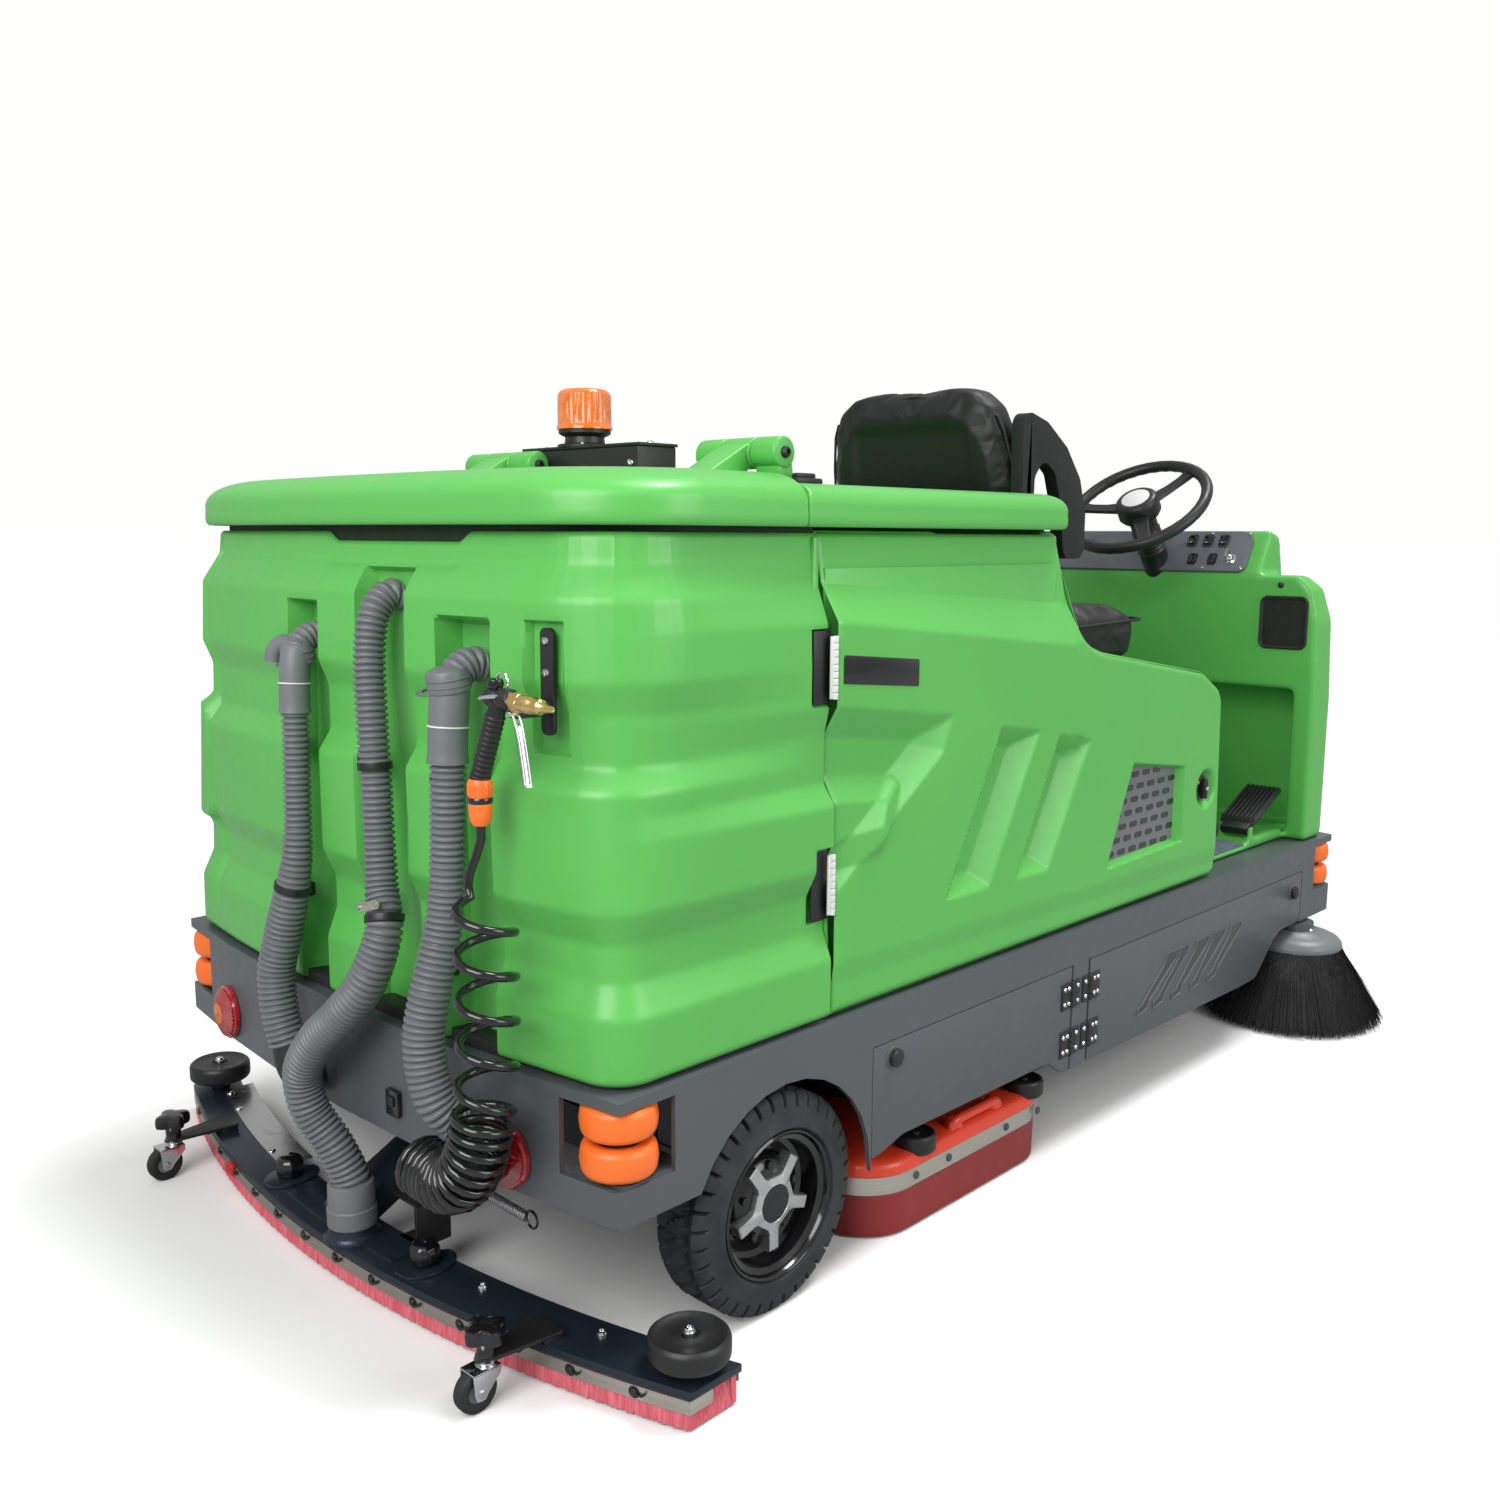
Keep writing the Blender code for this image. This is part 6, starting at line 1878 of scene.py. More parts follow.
def caster(side, label):
    x, y = CASTER[0], side * CASTER[1]
    r, axle = CASTER_RADIUS, CASTER[0] - CASTER_TRAIL
    top = SQUEEGEE_TOP + 0.0071
    parts = [
        (disc(0.0125, top - 0.0045, top, (x, y, 0), soft=0.0015), "chrome"),
        (disc(0.0145, top - 0.0075, top - 0.0048, (x, y, 0), soft=0.001), "chrome")
    ]
    fork_side = [
        (axle - 0.010, r - 0.002), (axle - 0.006, r - 0.009), (axle + 0.006, r - 0.009),
        (axle + 0.010, r - 0.002), (x + 0.013, r + 0.020), (x + 0.013, top - 0.007),
        (axle - 0.012, top - 0.007), (axle - 0.012, r + 0.020)
    ]
    for edge in (-1, 1):
        ys = sorted((y + edge * 0.0130, y + edge * 0.0155))
        parts.append((
            prism(
                rounded(fork_side, [0.005, 0.004, 0.004, 0.005, 0.006, 0.003, 0.003, 0.006]), "y", ys[0],
                ys[1], 0.0006
            ),
            "chrome"
        ))
    parts.append((
        block((axle - 0.012, y - 0.0155, top - 0.0095), (x + 0.013, y + 0.0155, top - 0.006), 0.001),
        "chrome"
    ))
    parts.append((disc(0.0035, -0.0165, 0.0165, (axle, y, r), (0, 1, 0), segments=12), "steel"))
    for edge in (-1, 1):
        parts.append((
            disc(0.0058, 0.0155, 0.0172, (axle, y, r), (0, edge, 0), segments=6, soft=0.0004), "steel"
        ))
    fork = "caster_fork_" + label
    piece(fork + "_cast", fork, parts, [fork])
    tyre_chain = [
        (0.0155, -0.0085), (0.020, -0.0100), (r - 0.004, -0.0100), (r - 0.001, -0.0085), (r, -0.005),
        (r, 0.005), (r - 0.001, 0.0085), (r - 0.004, 0.0100), (0.020, 0.0100), (0.0155, 0.0085)
    ]
    hub = [
        (0.0046, -0.0095), (0.007, -0.0095), (0.008, -0.0075), (0.0155, -0.007), (0.0155, 0.007),
        (0.008, 0.0075), (0.007, 0.0095), (0.0046, 0.0095)
    ]
    wheel = "caster_wheel_" + label
    made = [
        (lathe(tyre_chain, (axle, y, r), (0, 1, 0), 48), "rubber"),
        (lathe(hub, (axle, y, r), (0, 1, 0), 32), "grey")
    ]
    piece(wheel + "_tyre", wheel, made, [wheel])


def pull_spring():
    """Coil spring from the squeegee arm to the chassis, with a ring at its end."""
    start, end = Vector((-0.330, -0.300, 0.215)), Vector((-0.312, -0.405, 0.197))
    run = end - start
    turn = facing(run)
    line = []
    turns, radius = 26, 0.0062
    for k in range(turns * 12 + 1):
        a = TURN * k / 12
        line.append(
            start + turn @ Vector((
                radius * math.cos(a), radius * math.sin(a), run.length * k / (turns * 12)
            ))
        )
    parts = [(sweep(line, 0.0013, 6), "steel")]
    ring = [
        end + Vector((0.0, -0.012 + 0.012 * math.cos(a), 0.012 * math.sin(a)))
        for a in np.linspace(0, TURN, 21)
    ]
    parts.append((sweep(ring, 0.0018, 8), "gloss_black"))
    post = [
        start + Vector((0, 0.002, 0)), start + Vector((0.004, 0.010, 0.015)),
        start + Vector((0.010, 0.014, 0.060))
    ]
    parts.append((sweep(post, 0.003, 8), "steel"))
    piece("pull_spring", "root", parts)


# ---- scrub deck and brushes -----------------------------------------------------------------

SCRUB = (0.220, 0.760)
SCRUB_HALF = 0.577


def deck_outline(inset=0.0, corner=0.10):
    low, high, half = SCRUB[0] + inset, SCRUB[1] - inset, SCRUB_HALF - inset
    return rounded(rect(low, -half, high, half), corner - inset, None, 10)


def scrub_deck():
    rows = []
    for z, inset in (
        (0.0045, 0.006), (0.0045, 0.0035), (0.030, 0.0030), (0.072, 0.0025), (0.0745, 0.0045),
        (0.0745, 0.010)
    ):
        rows.append(at_height(deck_outline(inset), z))
    parts = [(grid(rows, True), "red_skirt")]
    strip = [
        at_height(deck_outline(inset), z) for z,
        inset in ((0.0745, 0.0032), (0.0750, 0.0018), (0.1045, 0.0018), (0.1050, 0.0032))
    ]
    parts.append((grid(strip, True), "strip"))
    rows = []
    for z, inset in (
        (0.1050, 0.0045), (0.1050, 0.0016), (0.1065, 0.0002), (0.116, 0.0008), (0.122, 0.003),
        (0.1265, 0.008), (0.1290, 0.016), (0.1298, 0.030), (0.1298, 0.080)
    ):
        rows.append(at_height(deck_outline(inset), z))
    parts.append((grid(rows, True, True), "red_cover"))
    middle = (SCRUB[0] + SCRUB[1]) / 2
    for side in (-1, 1):
        y = side * SCRUB_HALF / 2
        can = [
            (0, 0.249), (0.070, 0.249), (0.078, 0.243), (0.080, 0.236), (0.080, 0.1310), (0.088, 0.130),
            (0.088, 0.126), (0, 0.126)
        ]
        parts.append((lathe(can, (middle, y, 0)), "black"))
        edge = side * (SCRUB_HALF - 0.018)
        grip = [
            (0.455, edge, 0.122), (0.458, edge, 0.134), (0.468, edge + side * 0.002, 0.1395),
            (0.490, edge + side * 0.003, 0.141),
            (0.560, edge + side * 0.003, 0.141), (0.582, edge + side * 0.002, 0.1395), (0.592, edge, 0.134),
            (0.595, edge, 0.122),
        ]
        parts.append((sweep(smooth(grip, 0.006), lambda d: 0.0085, 16), "red_cover"))
        for x in (0.468, 0.582):
            parts.append((
                lathe(
                    [(0, 0.018), (0.009, 0.016), (0.014, 0.010), (0.016, 0.0), (0, -0.01)],
                    (x, edge - side * 0.004, 0.1290), segments=24
                ),
                "red_cover"
            ))
        for x in (0.367, 0.690):
            wheel_y = side * (SCRUB_HALF - 0.026)
            z = 0.1185
            chain = [
                (0, z), (0.028, z), (0.032, z + 0.001), (0.0345, z + 0.004), (0.035, z + 0.008),
                (0.035, z + 0.026), (0.0335, z + 0.030), (0.0305, z + 0.032), (0.027, z + 0.0315),
                (0.024, z + 0.028), (0.008, z + 0.028), (0.007, z + 0.031), (0, z + 0.031)
            ]
            parts.append((lathe(chain, (x, wheel_y, 0), segments=48), "black"))
        for x in (0.340, 0.430, 0.600, 0.700):
            parts.append((
                disc(
                    0.0068, -0.001, 0.0028, (x, side * (SCRUB_HALF - 0.002), 0.090), (0, side, 0), 0.001, 6
                ),
                "dark_grey"
            ))
    for x in (SCRUB[0] + 0.08, SCRUB[1] - 0.08):
        bush = [
            (0.0128, 0.126), (0.030, 0.126), (0.030, 0.196), (0.027, 0.1995), (0.0128, 0.1995),
            (0.0128, 0.126)
        ]
        parts.append((lathe(bush, (x, 0, 0)), "dark_grey"))
    piece("scrub_deck_shell", "scrub_deck", parts, ["scrub_deck"])


def strands(count, start, end, seed, radius=0.0011, sides=4, spread=0.004):
    """Bristles as thin tapering rods. start and end give a point for an angle and a share of the way in."""
    rng = np.random.default_rng(seed)
    points, faces = [], []
    for k in range(count):
        angle, share = TURN * (k + rng.random() * 0.7) / count, rng.random()
        a, b = Vector(start(angle, share)), Vector(end(angle, share))
        b += Vector(rng.normal(0, spread, 3)) * Vector((1, 1, 0.15)).length / 1.4
        b.z = max(b.z, 0.0035)
        mid = a.lerp(b, 0.55) + Vector((0, 0, 0.006))
        rows = []
        for place, size in ((a, 1.0), (mid, 0.95), (b, 0.7)):
            turn = [TURN * i / sides for i in range(sides)]
            rows.append([
                place + Vector((radius * size * math.cos(t), radius * size * math.sin(t), 0)) for t in turn
            ])
        part = grid(rows, True, True)
        faces += [tuple(i + len(points) for i in face) for face in part[1]]
        points += part[0]
    return points, faces


SIDE_BRUSH = (1.800, 0.580)


def side_brushes():
    """Grey domed block with tufts that splay out over the floor."""
    rings = (
        (0.098, 0.182, 0.204, 0.0045), (0.090, 0.176, 0.185, 0.0045), (0.080, 0.172, 0.160, 0.0045),
        (0.068, 0.170, 0.135, 0.0045)
    )
    for side, label in ((-1, "right"), (1, "left")):
        x, y = SIDE_BRUSH[0], side * SIDE_BRUSH[1]
        dome_chain = [
            (0.0128, 0.2092), (0.050, 0.2092), (0.056, 0.2075), (0.060, 0.203), (0.080, 0.199),
            (0.095, 0.192), (0.103, 0.183), (0.105, 0.174), (0.103, 0.168), (0.096, 0.166), (0.0128, 0.166)
        ]
        parts = [(lathe(dome_chain, (x, y, 0), segments=64), "grey")]
        for k in range(3):
            a = TURN * k / 3 + 0.4
            parts.append((
                screw((x + 0.038 * math.cos(a), y + 0.038 * math.sin(a), 0.2088), (0, 0, 1), 0.006),
                "chrome"
            ))
        core = [
            (0.090, 0.170), (0.128, 0.120), (0.160, 0.060), (0.176, 0.016), (0.150, 0.012), (0.100, 0.050),
            (0.060, 0.120), (0.050, 0.166)
        ]
        parts.append((lathe(core, (x, y, 0), segments=72), "black_bristle"))
        for number, (r0, z0, r1, z1) in enumerate(rings):
            def start(a, s, r0=r0, z0=z0):
                return (x + r0 * math.cos(a), y + r0 * math.sin(a), z0 - 0.008 * s)

            def end(a, s, r1=r1, z1=z1):
                tip = r1 * (0.90 + 0.085 * s)
                return (x + tip * math.cos(a + 0.05), y + tip * math.sin(a + 0.05), z1 + 0.012 * s * s)

            parts.append((
                strands(900 if number < 2 else 500, start, end, 7 * number + side + 1, 0.0011, 3, 0.0030),
                "black_bristle"
            ))
        node = "side_brush_" + label
        piece(node + "_tufts", node, parts, [node], math.radians(60))


def disc_brushes():
    middle_x = (SCRUB[0] + SCRUB[1]) / 2
    for side, label in ((-1, "right"), (1, "left")):
        y = side * SCRUB_HALF / 2
        chain = [
            (0.0208, 0.1115), (0.048, 0.1115), (0.050, 0.108), (0.050, 0.078), (0.190, 0.072),
            (0.218, 0.066), (0.222, 0.055), (0.100, 0.052), (0.095, 0.044), (0.0208, 0.046),
            (0.0208, 0.1115)
        ]
        parts = [(lathe(chain, (middle_x, y, 0), segments=64), "dark_grey")]
        skirt = [
            (0.222, 0.060), (0.238, 0.030), (0.246, 0.0035), (0.118, 0.0035), (0.110, 0.052), (0.222, 0.060)
        ]

        def tufted(angle, radius, height):
            return radius * (
                1 + 0.010 * math.sin(60 * angle)
            ) if height < 0.05 and radius > 0.2 else radius, height

        parts.append((lathe(skirt, (middle_x, y, 0), segments=240, wobble=tufted), "black_bristle"))
        node = "disc_brush_" + label
        piece(node + "_tufts", node, parts, [node])


def main_broom():
    x, r = 1.240, 0.138
    parts = []
    core = lathe(
        [
            (0.0128, -0.399), (0.060, -0.399), (0.062, -0.394), (0.062, 0.394), (0.060, 0.399),
            (0.0128, 0.399), (0.0128, -0.399)
        ],
        (x, 0, r + 0.002), (0, 1, 0), 48
    )
    parts.append((core, "dark_grey"))
    rows = 18
    for k in range(rows):
        base = TURN * k / rows
        ribs = []
        for i, y in enumerate(np.linspace(-0.396, 0.396, 61)):
            twist = base + 0.55 * (1 - abs(y) / 0.396)
            ragged = 0.002 * math.sin(i * 1.9 + k)
            ring = []
            for radius, wide in (
                (0.058, 0.05), (0.100, 0.055), (r - 0.004 + ragged, 0.085), (r - 0.004 - ragged, -0.085),
                (0.100, -0.055), (0.058, -0.05)
            ):
                a = twist + wide
                ring.append((x + radius * math.cos(a), y, r + 0.002 + radius * math.sin(a)))
            ribs.append(ring)
        parts.append((grid(ribs, True, True), "black_bristle"))
    piece("main_broom_tufts", "main_broom", parts, ["main_broom"])


# ---- cowl, seat base, solution tank ---------------------------------------------------------

COWL_X = 1.800
COWL_TOP = 1.030
DASH_TOP = 1.135
SLOPE = Vector((0.06, 0, DASH_TOP - COWL_TOP)).normalized()
OUT = Vector((-SLOPE.z, 0, SLOPE.x))
SEAT_Y = -0.170
SEAT_DECK_Z = 0.800
STEER_TILT = math.radians(38)
STEER_CENTRE = Vector((1.710, -0.170, 1.190))
STEER_AXIS = Vector((-math.sin(STEER_TILT), 0, math.cos(STEER_TILT)))
STEER_RADIUS = 0.176


def on_dash(y, up, out=0.0):
    """A point on the sloping dash, up from its lower edge and out from its face."""
    return Vector((COWL_X, y, COWL_TOP)) + SLOPE * up + OUT * out


def dash_frame(y, up, out=0.0):
    """Matrix for shapes drawn with X across the dash, Y up it and Z out of it."""
    frame_axes = Matrix((Vector((0, -1, 0)), SLOPE, OUT)).transposed().to_4x4()
    return Matrix.Translation(on_dash(y, up, out)) @ frame_axes


def evaluated(source, setup):
    """The mesh of a copy of source after modifiers added by setup, as a new mesh."""
    copy = bpy.data.objects.new("working", source.data.copy())
    copy.matrix_world = source.matrix_world
    bpy.context.scene.collection.objects.link(copy)
    setup(copy)
    bpy.context.view_layer.update()
    view = copy.evaluated_get(bpy.context.evaluated_depsgraph_get())
    mesh = bpy.data.meshes.new_from_object(view)
    mesh.transform(source.matrix_world)
    bpy.data.objects.remove(copy)
    return mesh


def remelted(name, node, body, voxel, rounds, material, tuck=0.0):
    """The node's own shape with all its edges rounded over, as a moulding has them."""
    def setup(copy):
        mesher = copy.modifiers.new("mesher", "REMESH")
        mesher.mode = "VOXEL"
        mesher.voxel_size = voxel
        relax = copy.modifiers.new("relax", "SMOOTH")
        relax.factor = 0.5
        relax.iterations = rounds

    mesh = evaluated(NODES[node], setup)
    mesh.materials.clear()
    mesh.materials.append(MATERIALS[material])
    mesh.shade_smooth()
    if tuck:
        mesh.transform(Matrix.Translation((0, 0, tuck)))
    made = bpy.data.objects.new(name, mesh)
    bpy.context.scene.collection.objects.link(made)
    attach(made, body)
    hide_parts(node)
    return made


def front_body():
    remelted("front_cowl_shell", "front_cowl", "root", 0.0065, 9, "green")
    remelted("seat_base_shell", "seat_base", "root", 0.0065, 6, "green")
    remelted("solution_tank_shell", "solution_tank", "root", 0.0065, 6, "green")


MAT_REAR = 1.352
MAT_FRONT = 1.796
MAT_HALF = 0.53
MAT_EDGE = 0.006
FOOTWELL_Z = 0.4292


def floor_mat():
    """Thin woven mat on the footwell floor, its top slightly uneven."""
    rows = []
    xs = np.linspace(MAT_REAR, MAT_FRONT, 60)
    for x in xs:
        row = []
        for y in np.linspace(-MAT_HALF, MAT_HALF, 130):
            wave = 0.0007 * math.sin(31 * x + 17 * y) * math.sin(23 * y)
            lift = 0.0028 + wave + 0.0004 * math.sin(160 * x + 90 * y)
            edge = min(x - xs[0], xs[-1] - x, MAT_HALF - abs(y), MAT_EDGE) / MAT_EDGE
            row.append((x, y, FOOTWELL_Z + lift * edge))
        rows.append(row)
    piece("floor_mat", "root", [(grid(rows), "mat")])


def fender_cover():
    """Black hatch with rounded corners on the fender's rear face, and the screw above it."""
    x = COWL_X - 0.001

    def outline(grow):
        return rounded(
            rect(-0.558 - grow, 0.865 - grow, -0.452 + grow, 0.980 + grow), 0.014 + grow, None, 6
        )

    steps = ((0.0, 0.004), (-0.003, 0.0035), (-0.0045, 0.001), (-0.0035, -0.004), (0.0, -0.006))
    rim = [[(x + out, y, z) for y, z in outline(grow)] for out, grow in steps]
    parts = [(prism(outline(0.0), "x", x - 0.0015, x + 0.002), "black"), (grid(rim, True), "black")]
    parts.append((screw((x, -0.494, 1.009), (-1, 0, 0), 0.007), "black"))
    piece("fender_cover", "root", parts)


# ---- dash -----------------------------------------------------------------------------------

ROCKERS = ((-0.255, 0.085), (-0.295, 0.085), (-0.335, 0.085))
KEY = (-0.365, 0.035)
DASH_FACE = 0.010
PANEL_HALF = 0.405


def bezel(width, height, wall, depth, material="black"):
    """Raised rounded frame centred on the drawing plane."""
    rows = []
    for grow, out in (
        (wall, 0.0), (wall, depth * 0.6), (wall * 0.6, depth), (wall * 0.2, depth), (0.0, depth * 0.7),
        (0.0, 0.0)
    ):
        w, h = width / 2 + grow, height / 2 + grow
        ring = rounded(rect(-w, -h, w, h), min(0.004 + grow, w * 0.9, h * 0.9), None, 4)
        rows.append([(a, b, out) for a, b in ring])
    return grid(rows, True), material


def dash_face():
    low, high = 0.004, 0.112
    ring = rounded(rect(-PANEL_HALF, low, PANEL_HALF, high), [0.02, 0.02, 0.03, 0.03], None, 6)
    rows = []
    for inset, out in (
        (0.0, 0.0006), (0.0, DASH_FACE - 0.0015), (0.0006, DASH_FACE - 0.0004), (0.0018, DASH_FACE)
    ):
        rows.append([
            tuple(on_dash(a * (1 - inset / PANEL_HALF), b + (inset if b < 0.05 else -inset), out)) for a,
            b in ring
        ])
    parts = [(grid(rows, True, True), "panel_grey")]
    face = DASH_FACE
    for y, up in ROCKERS:
        frame_part, material = bezel(0.0206, 0.0286, 0.0028, 0.0018)
        parts.append((shifted(frame_part, dash_frame(y, up, face - 0.0002)), material))
    for y in (-0.268, -0.318):
        frame_part, material = bezel(0.018, 0.026, 0.0028, 0.0018)
        parts.append((shifted(frame_part, dash_frame(y, 0.035, face - 0.0002)), material))
        lever = prism(
            [(-0.012, 0.0), (0.012, 0.0), (0.012, 0.003), (0.0, 0.0015), (-0.012, 0.006)], "y", -0.0088,
            0.0088, 0.0008
        )
        turn = Matrix.Rotation(math.pi / 2, 4, "Z")
        parts.append((shifted(lever, dash_frame(y, 0.035, face) @ turn), "gloss_black"))
    display = []
    for grow, out in ((0.006, 0.0), (0.006, 0.004), (0.003, 0.006), (0.0, 0.005), (-0.004, 0.002)):
        ring = []
        for t in np.linspace(0, TURN, 49)[:-1]:
            across = math.copysign(abs(math.cos(t)) ** 0.8, math.cos(t))
            up = math.copysign(abs(math.sin(t)) ** 0.8, math.sin(t))
            ring.append(((0.052 + grow) * across, (0.026 + grow) * up, out))
        display.append(ring)
    parts.append((shifted(grid(display, True, False), dash_frame(0.235, 0.060, face)), "black"))
    parts.append((
        shifted(
            grid([display[-1], [(a * 0.5, b * 0.5, 0.0028) for a, b, _ in display[-1]]], True, True),
            dash_frame(0.235, 0.060, face)
        ),
        "display"
    ))
    for y, up in ((0.10, 0.08), (0.06, 0.08), (0.02, 0.08), (0.33, 0.085), (0.33, 0.035)):
        parts.append((disc(0.007, -0.001, 0.006, on_dash(y, up, face), OUT, 0.0015, 24), "black"))
        parts.append((
            disc(0.0045, 0.004, 0.0085, on_dash(y, up, face), OUT, 0.0015, 24),
            "red_lens" if y > 0.3 else "gloss_black"
        ))
    for y in (-0.395, -0.30, -0.19, 0.395, 0.28):
        for up in (0.012, 0.105):
            parts.append((screw(on_dash(y, up, face), OUT, 0.004), "chrome"))
    barrel = [(0.0125, 0.0), (0.0125, 0.003), (0.010, 0.0045), (0.0066, 0.0045), (0.0066, 0.0)]
    parts.append((lathe(barrel, on_dash(KEY[0], KEY[1], face), OUT, 32), "chrome"))
    start = STEER_CENTRE + STEER_AXIS * -0.200
    boot = [(0.034, 0.0), (0.034, 0.025), (0.0325, 0.030), (0.0325, 0.070)]
    for k in range(6):
        boot += [(0.0345, 0.074 + k * 0.011), (0.0315, 0.0795 + k * 0.011)]
    boot += [(0.0320, 0.150), (0.0320, 0.1685), (0.0105, 0.1695), (0.0105, 0.12)]
    parts.append((lathe(boot, start, STEER_AXIS, 48), "black"))
    piece("dash_face", "root", parts, ["dash_panel"])


def rockers():
    for number, (y, up) in enumerate(ROCKERS, 1):
        side = [
            (-0.0125, 0.0140), (0.0, 0.0106), (0.0125, 0.0140), (0.0125, 0.0170), (0.004, 0.0150),
            (-0.003, 0.0160), (-0.0125, 0.0205)
        ]
        lever = prism(
            rounded(side, [0.001, 0.004, 0.001, 0.0012, 0.01, 0.01, 0.0012], None, 4), "y", -0.0088, 0.0088,
            0.0007
        )
        turn = Matrix.Rotation(math.pi / 2, 4, "Z")
        mark = block((-0.0100, -0.0012, 0.0188), (-0.0075, 0.0012, 0.0196), 0.0001)
        place = dash_frame(y, up, 0.0) @ turn
        node = "rocker_%d" % number
        piece(
            node + "_lever", node,
            [(shifted(lever, place), "gloss_black"), (shifted(mark, place), "white")],
            [node]
        )


def ignition_key():
    y, up = KEY
    shank = disc(0.0056, 0.0038, 0.021, on_dash(y, up), OUT, 0.0008, 24)
    ring = rounded(rect(-0.0115, 0.020, 0.0115, 0.044), 0.006, None, 6)
    bow = prism(ring, "y", -0.0014, 0.0014, 0.0005)
    place = dash_frame(y, up) @ Matrix.Rotation(math.pi / 2, 4, "Z")
    piece(
        "ignition_key_bow", "ignition_key", [(shank, "chrome"), (shifted(bow, place), "steel")],
        ["ignition_key"]
    )


# ---- steering wheel and pedal ---------------------------------------------------------------

def steering_wheel():
    """Moulded rim with finger waves below, three dished spokes and a bare white disc on the boss."""
    turn = facing(STEER_AXIS)
    place = Matrix.Translation(STEER_CENTRE) @ turn
    count = 120
    rim = []
    for k in range(count):
        a = TURN * k / count
        wave = 0.0006 * math.cos(36 * a)
        ring = []
        for s in range(18):
            b = TURN * s / 18
            tube = 0.0135 + wave * max(0.0, -math.sin(b))
            r = STEER_RADIUS - 0.0135 + tube * math.cos(b) - max(0, wave)
            ring.append((r * math.cos(a), r * math.sin(a), tube * math.sin(b)))
        rim.append(ring)
    rim.append(rim[0])
    parts = [(grid(rim, True), "black")]
    boss = [
        (0.0, 0.0245), (0.038, 0.0245), (0.044, 0.0235), (0.0490, 0.0190), (0.0510, 0.008), (0.0510, -0.018)
    ]
    boss += [(0.045, -0.0265), (0.032, -0.0294), (0, -0.0294)]
    parts.append((lathe(boss, segments=56), "black"))
    parts.append((
        lathe([(0, 0.0262), (0.032, 0.0260), (0.0335, 0.0252), (0.0335, 0.0240)], segments=48), "white"
    ))
    for degrees in (90, 210, 330):
        rows = []
        for r, half, high, thick in (
            (0.032, 0.022, -0.002, 0.010), (0.055, 0.0185, -0.0045, 0.008), (0.090, 0.0155, -0.006, 0.007),
            (0.125, 0.0150, -0.0045, 0.007), (0.150, 0.017, -0.0015, 0.008), (0.160, 0.020, 0.0, 0.009)
        ):
            ring = [
                (-half, high - thick / 2), (-half * 0.8, high + thick * 0.45), (0, high + thick * 0.30),
                (half * 0.8, high + thick * 0.45), (half, high - thick / 2), (half * 0.7, high - thick),
                (-half * 0.7, high - thick)
            ]
            rows.append([(r, a, b) for a, b in ring])
        spoke = grid(rows, True, True)
        parts.append((shifted(spoke, Matrix.Rotation(math.radians(degrees), 4, "Z")), "black"))
    parts = [(shifted(part, place), material) for part, material in parts]
    piece("steering_wheel_rim", "steering_wheel", parts, ["steering_wheel"])


PEDAL = Vector((1.630, -0.495, 0.458))
PEDAL_RISE = math.radians(24)


def pedal():
    """Long ribs on a thick treadle, with a heel block."""
    place = Matrix.Translation(PEDAL) @ Matrix.Rotation(-PEDAL_RISE, 4, "Y")
    side = rounded(
        [(0.010, 0.0060), (0.163, 0.0065), (0.165, 0.0160), (0.022, 0.0160)], [0.002, 0.002, 0.003, 0.003],
        None, 3
    )
    parts = [(prism(side, "y", -0.0405, 0.0405, 0.0012), "black")]
    for k in range(8):
        y = -0.0355 + k * 0.01014
        rib = rounded(
            [(0.020, 0.0150), (0.163, 0.0150), (0.163, 0.0196), (0.025, 0.0196)],
            [0.001, 0.001, 0.002, 0.002], None, 3
        )
        parts.append((prism(rib, "y", y - 0.0030, y + 0.0030, 0.0008), "rubber"))
    heel = rounded([(-0.009, -0.009), (0.026, -0.009), (0.030, 0.0105), (-0.009, 0.0105)], 0.004, None, 4)
    parts.append((prism(heel, "y", -0.031, 0.031, 0.0015), "black"))
    under = rounded([(0.030, -0.0005), (0.150, 0.003), (0.150, 0.009), (0.030, 0.009)], 0.001, None, 2)
    parts += [(prism(under, "y", -0.034, -0.030), "black"), (prism(under, "y", 0.030, 0.034), "black")]
    parts = [(shifted(part, place), material) for part, material in parts]
    piece("accelerator_pedal_tread", "accelerator_pedal", parts, ["accelerator_pedal"])


# ---- seat -----------------------------------------------------------------------------------

SIM_FRAMES = 20
CUSHION_CAP = 0.012
CUSHION_PRESSURE = 4.0


def ringed(levels, half_of):
    """A closed loft of rounded rectangles. Each level is (z, back x, front x, half width, corner)."""
    rows = []
    for z, back, front, half, corner in levels:
        outline = rect(back, SEAT_Y - half, front, SEAT_Y + half)
        rows.append(at_height(rounded(outline, corner, None, 8), z + half_of))
    return rows


def blended(levels, count):
    """The levels resampled smoothly up the piece."""
    keys = np.array(levels, dtype=float)
    far = np.concatenate([[0], np.cumsum(np.abs(np.diff(keys[:, 0])) + 0.004)])
    places = np.linspace(0, far[-1], count)
    return [tuple(np.interp(p, far, keys[:, c]) for c in range(5)) for p in places]


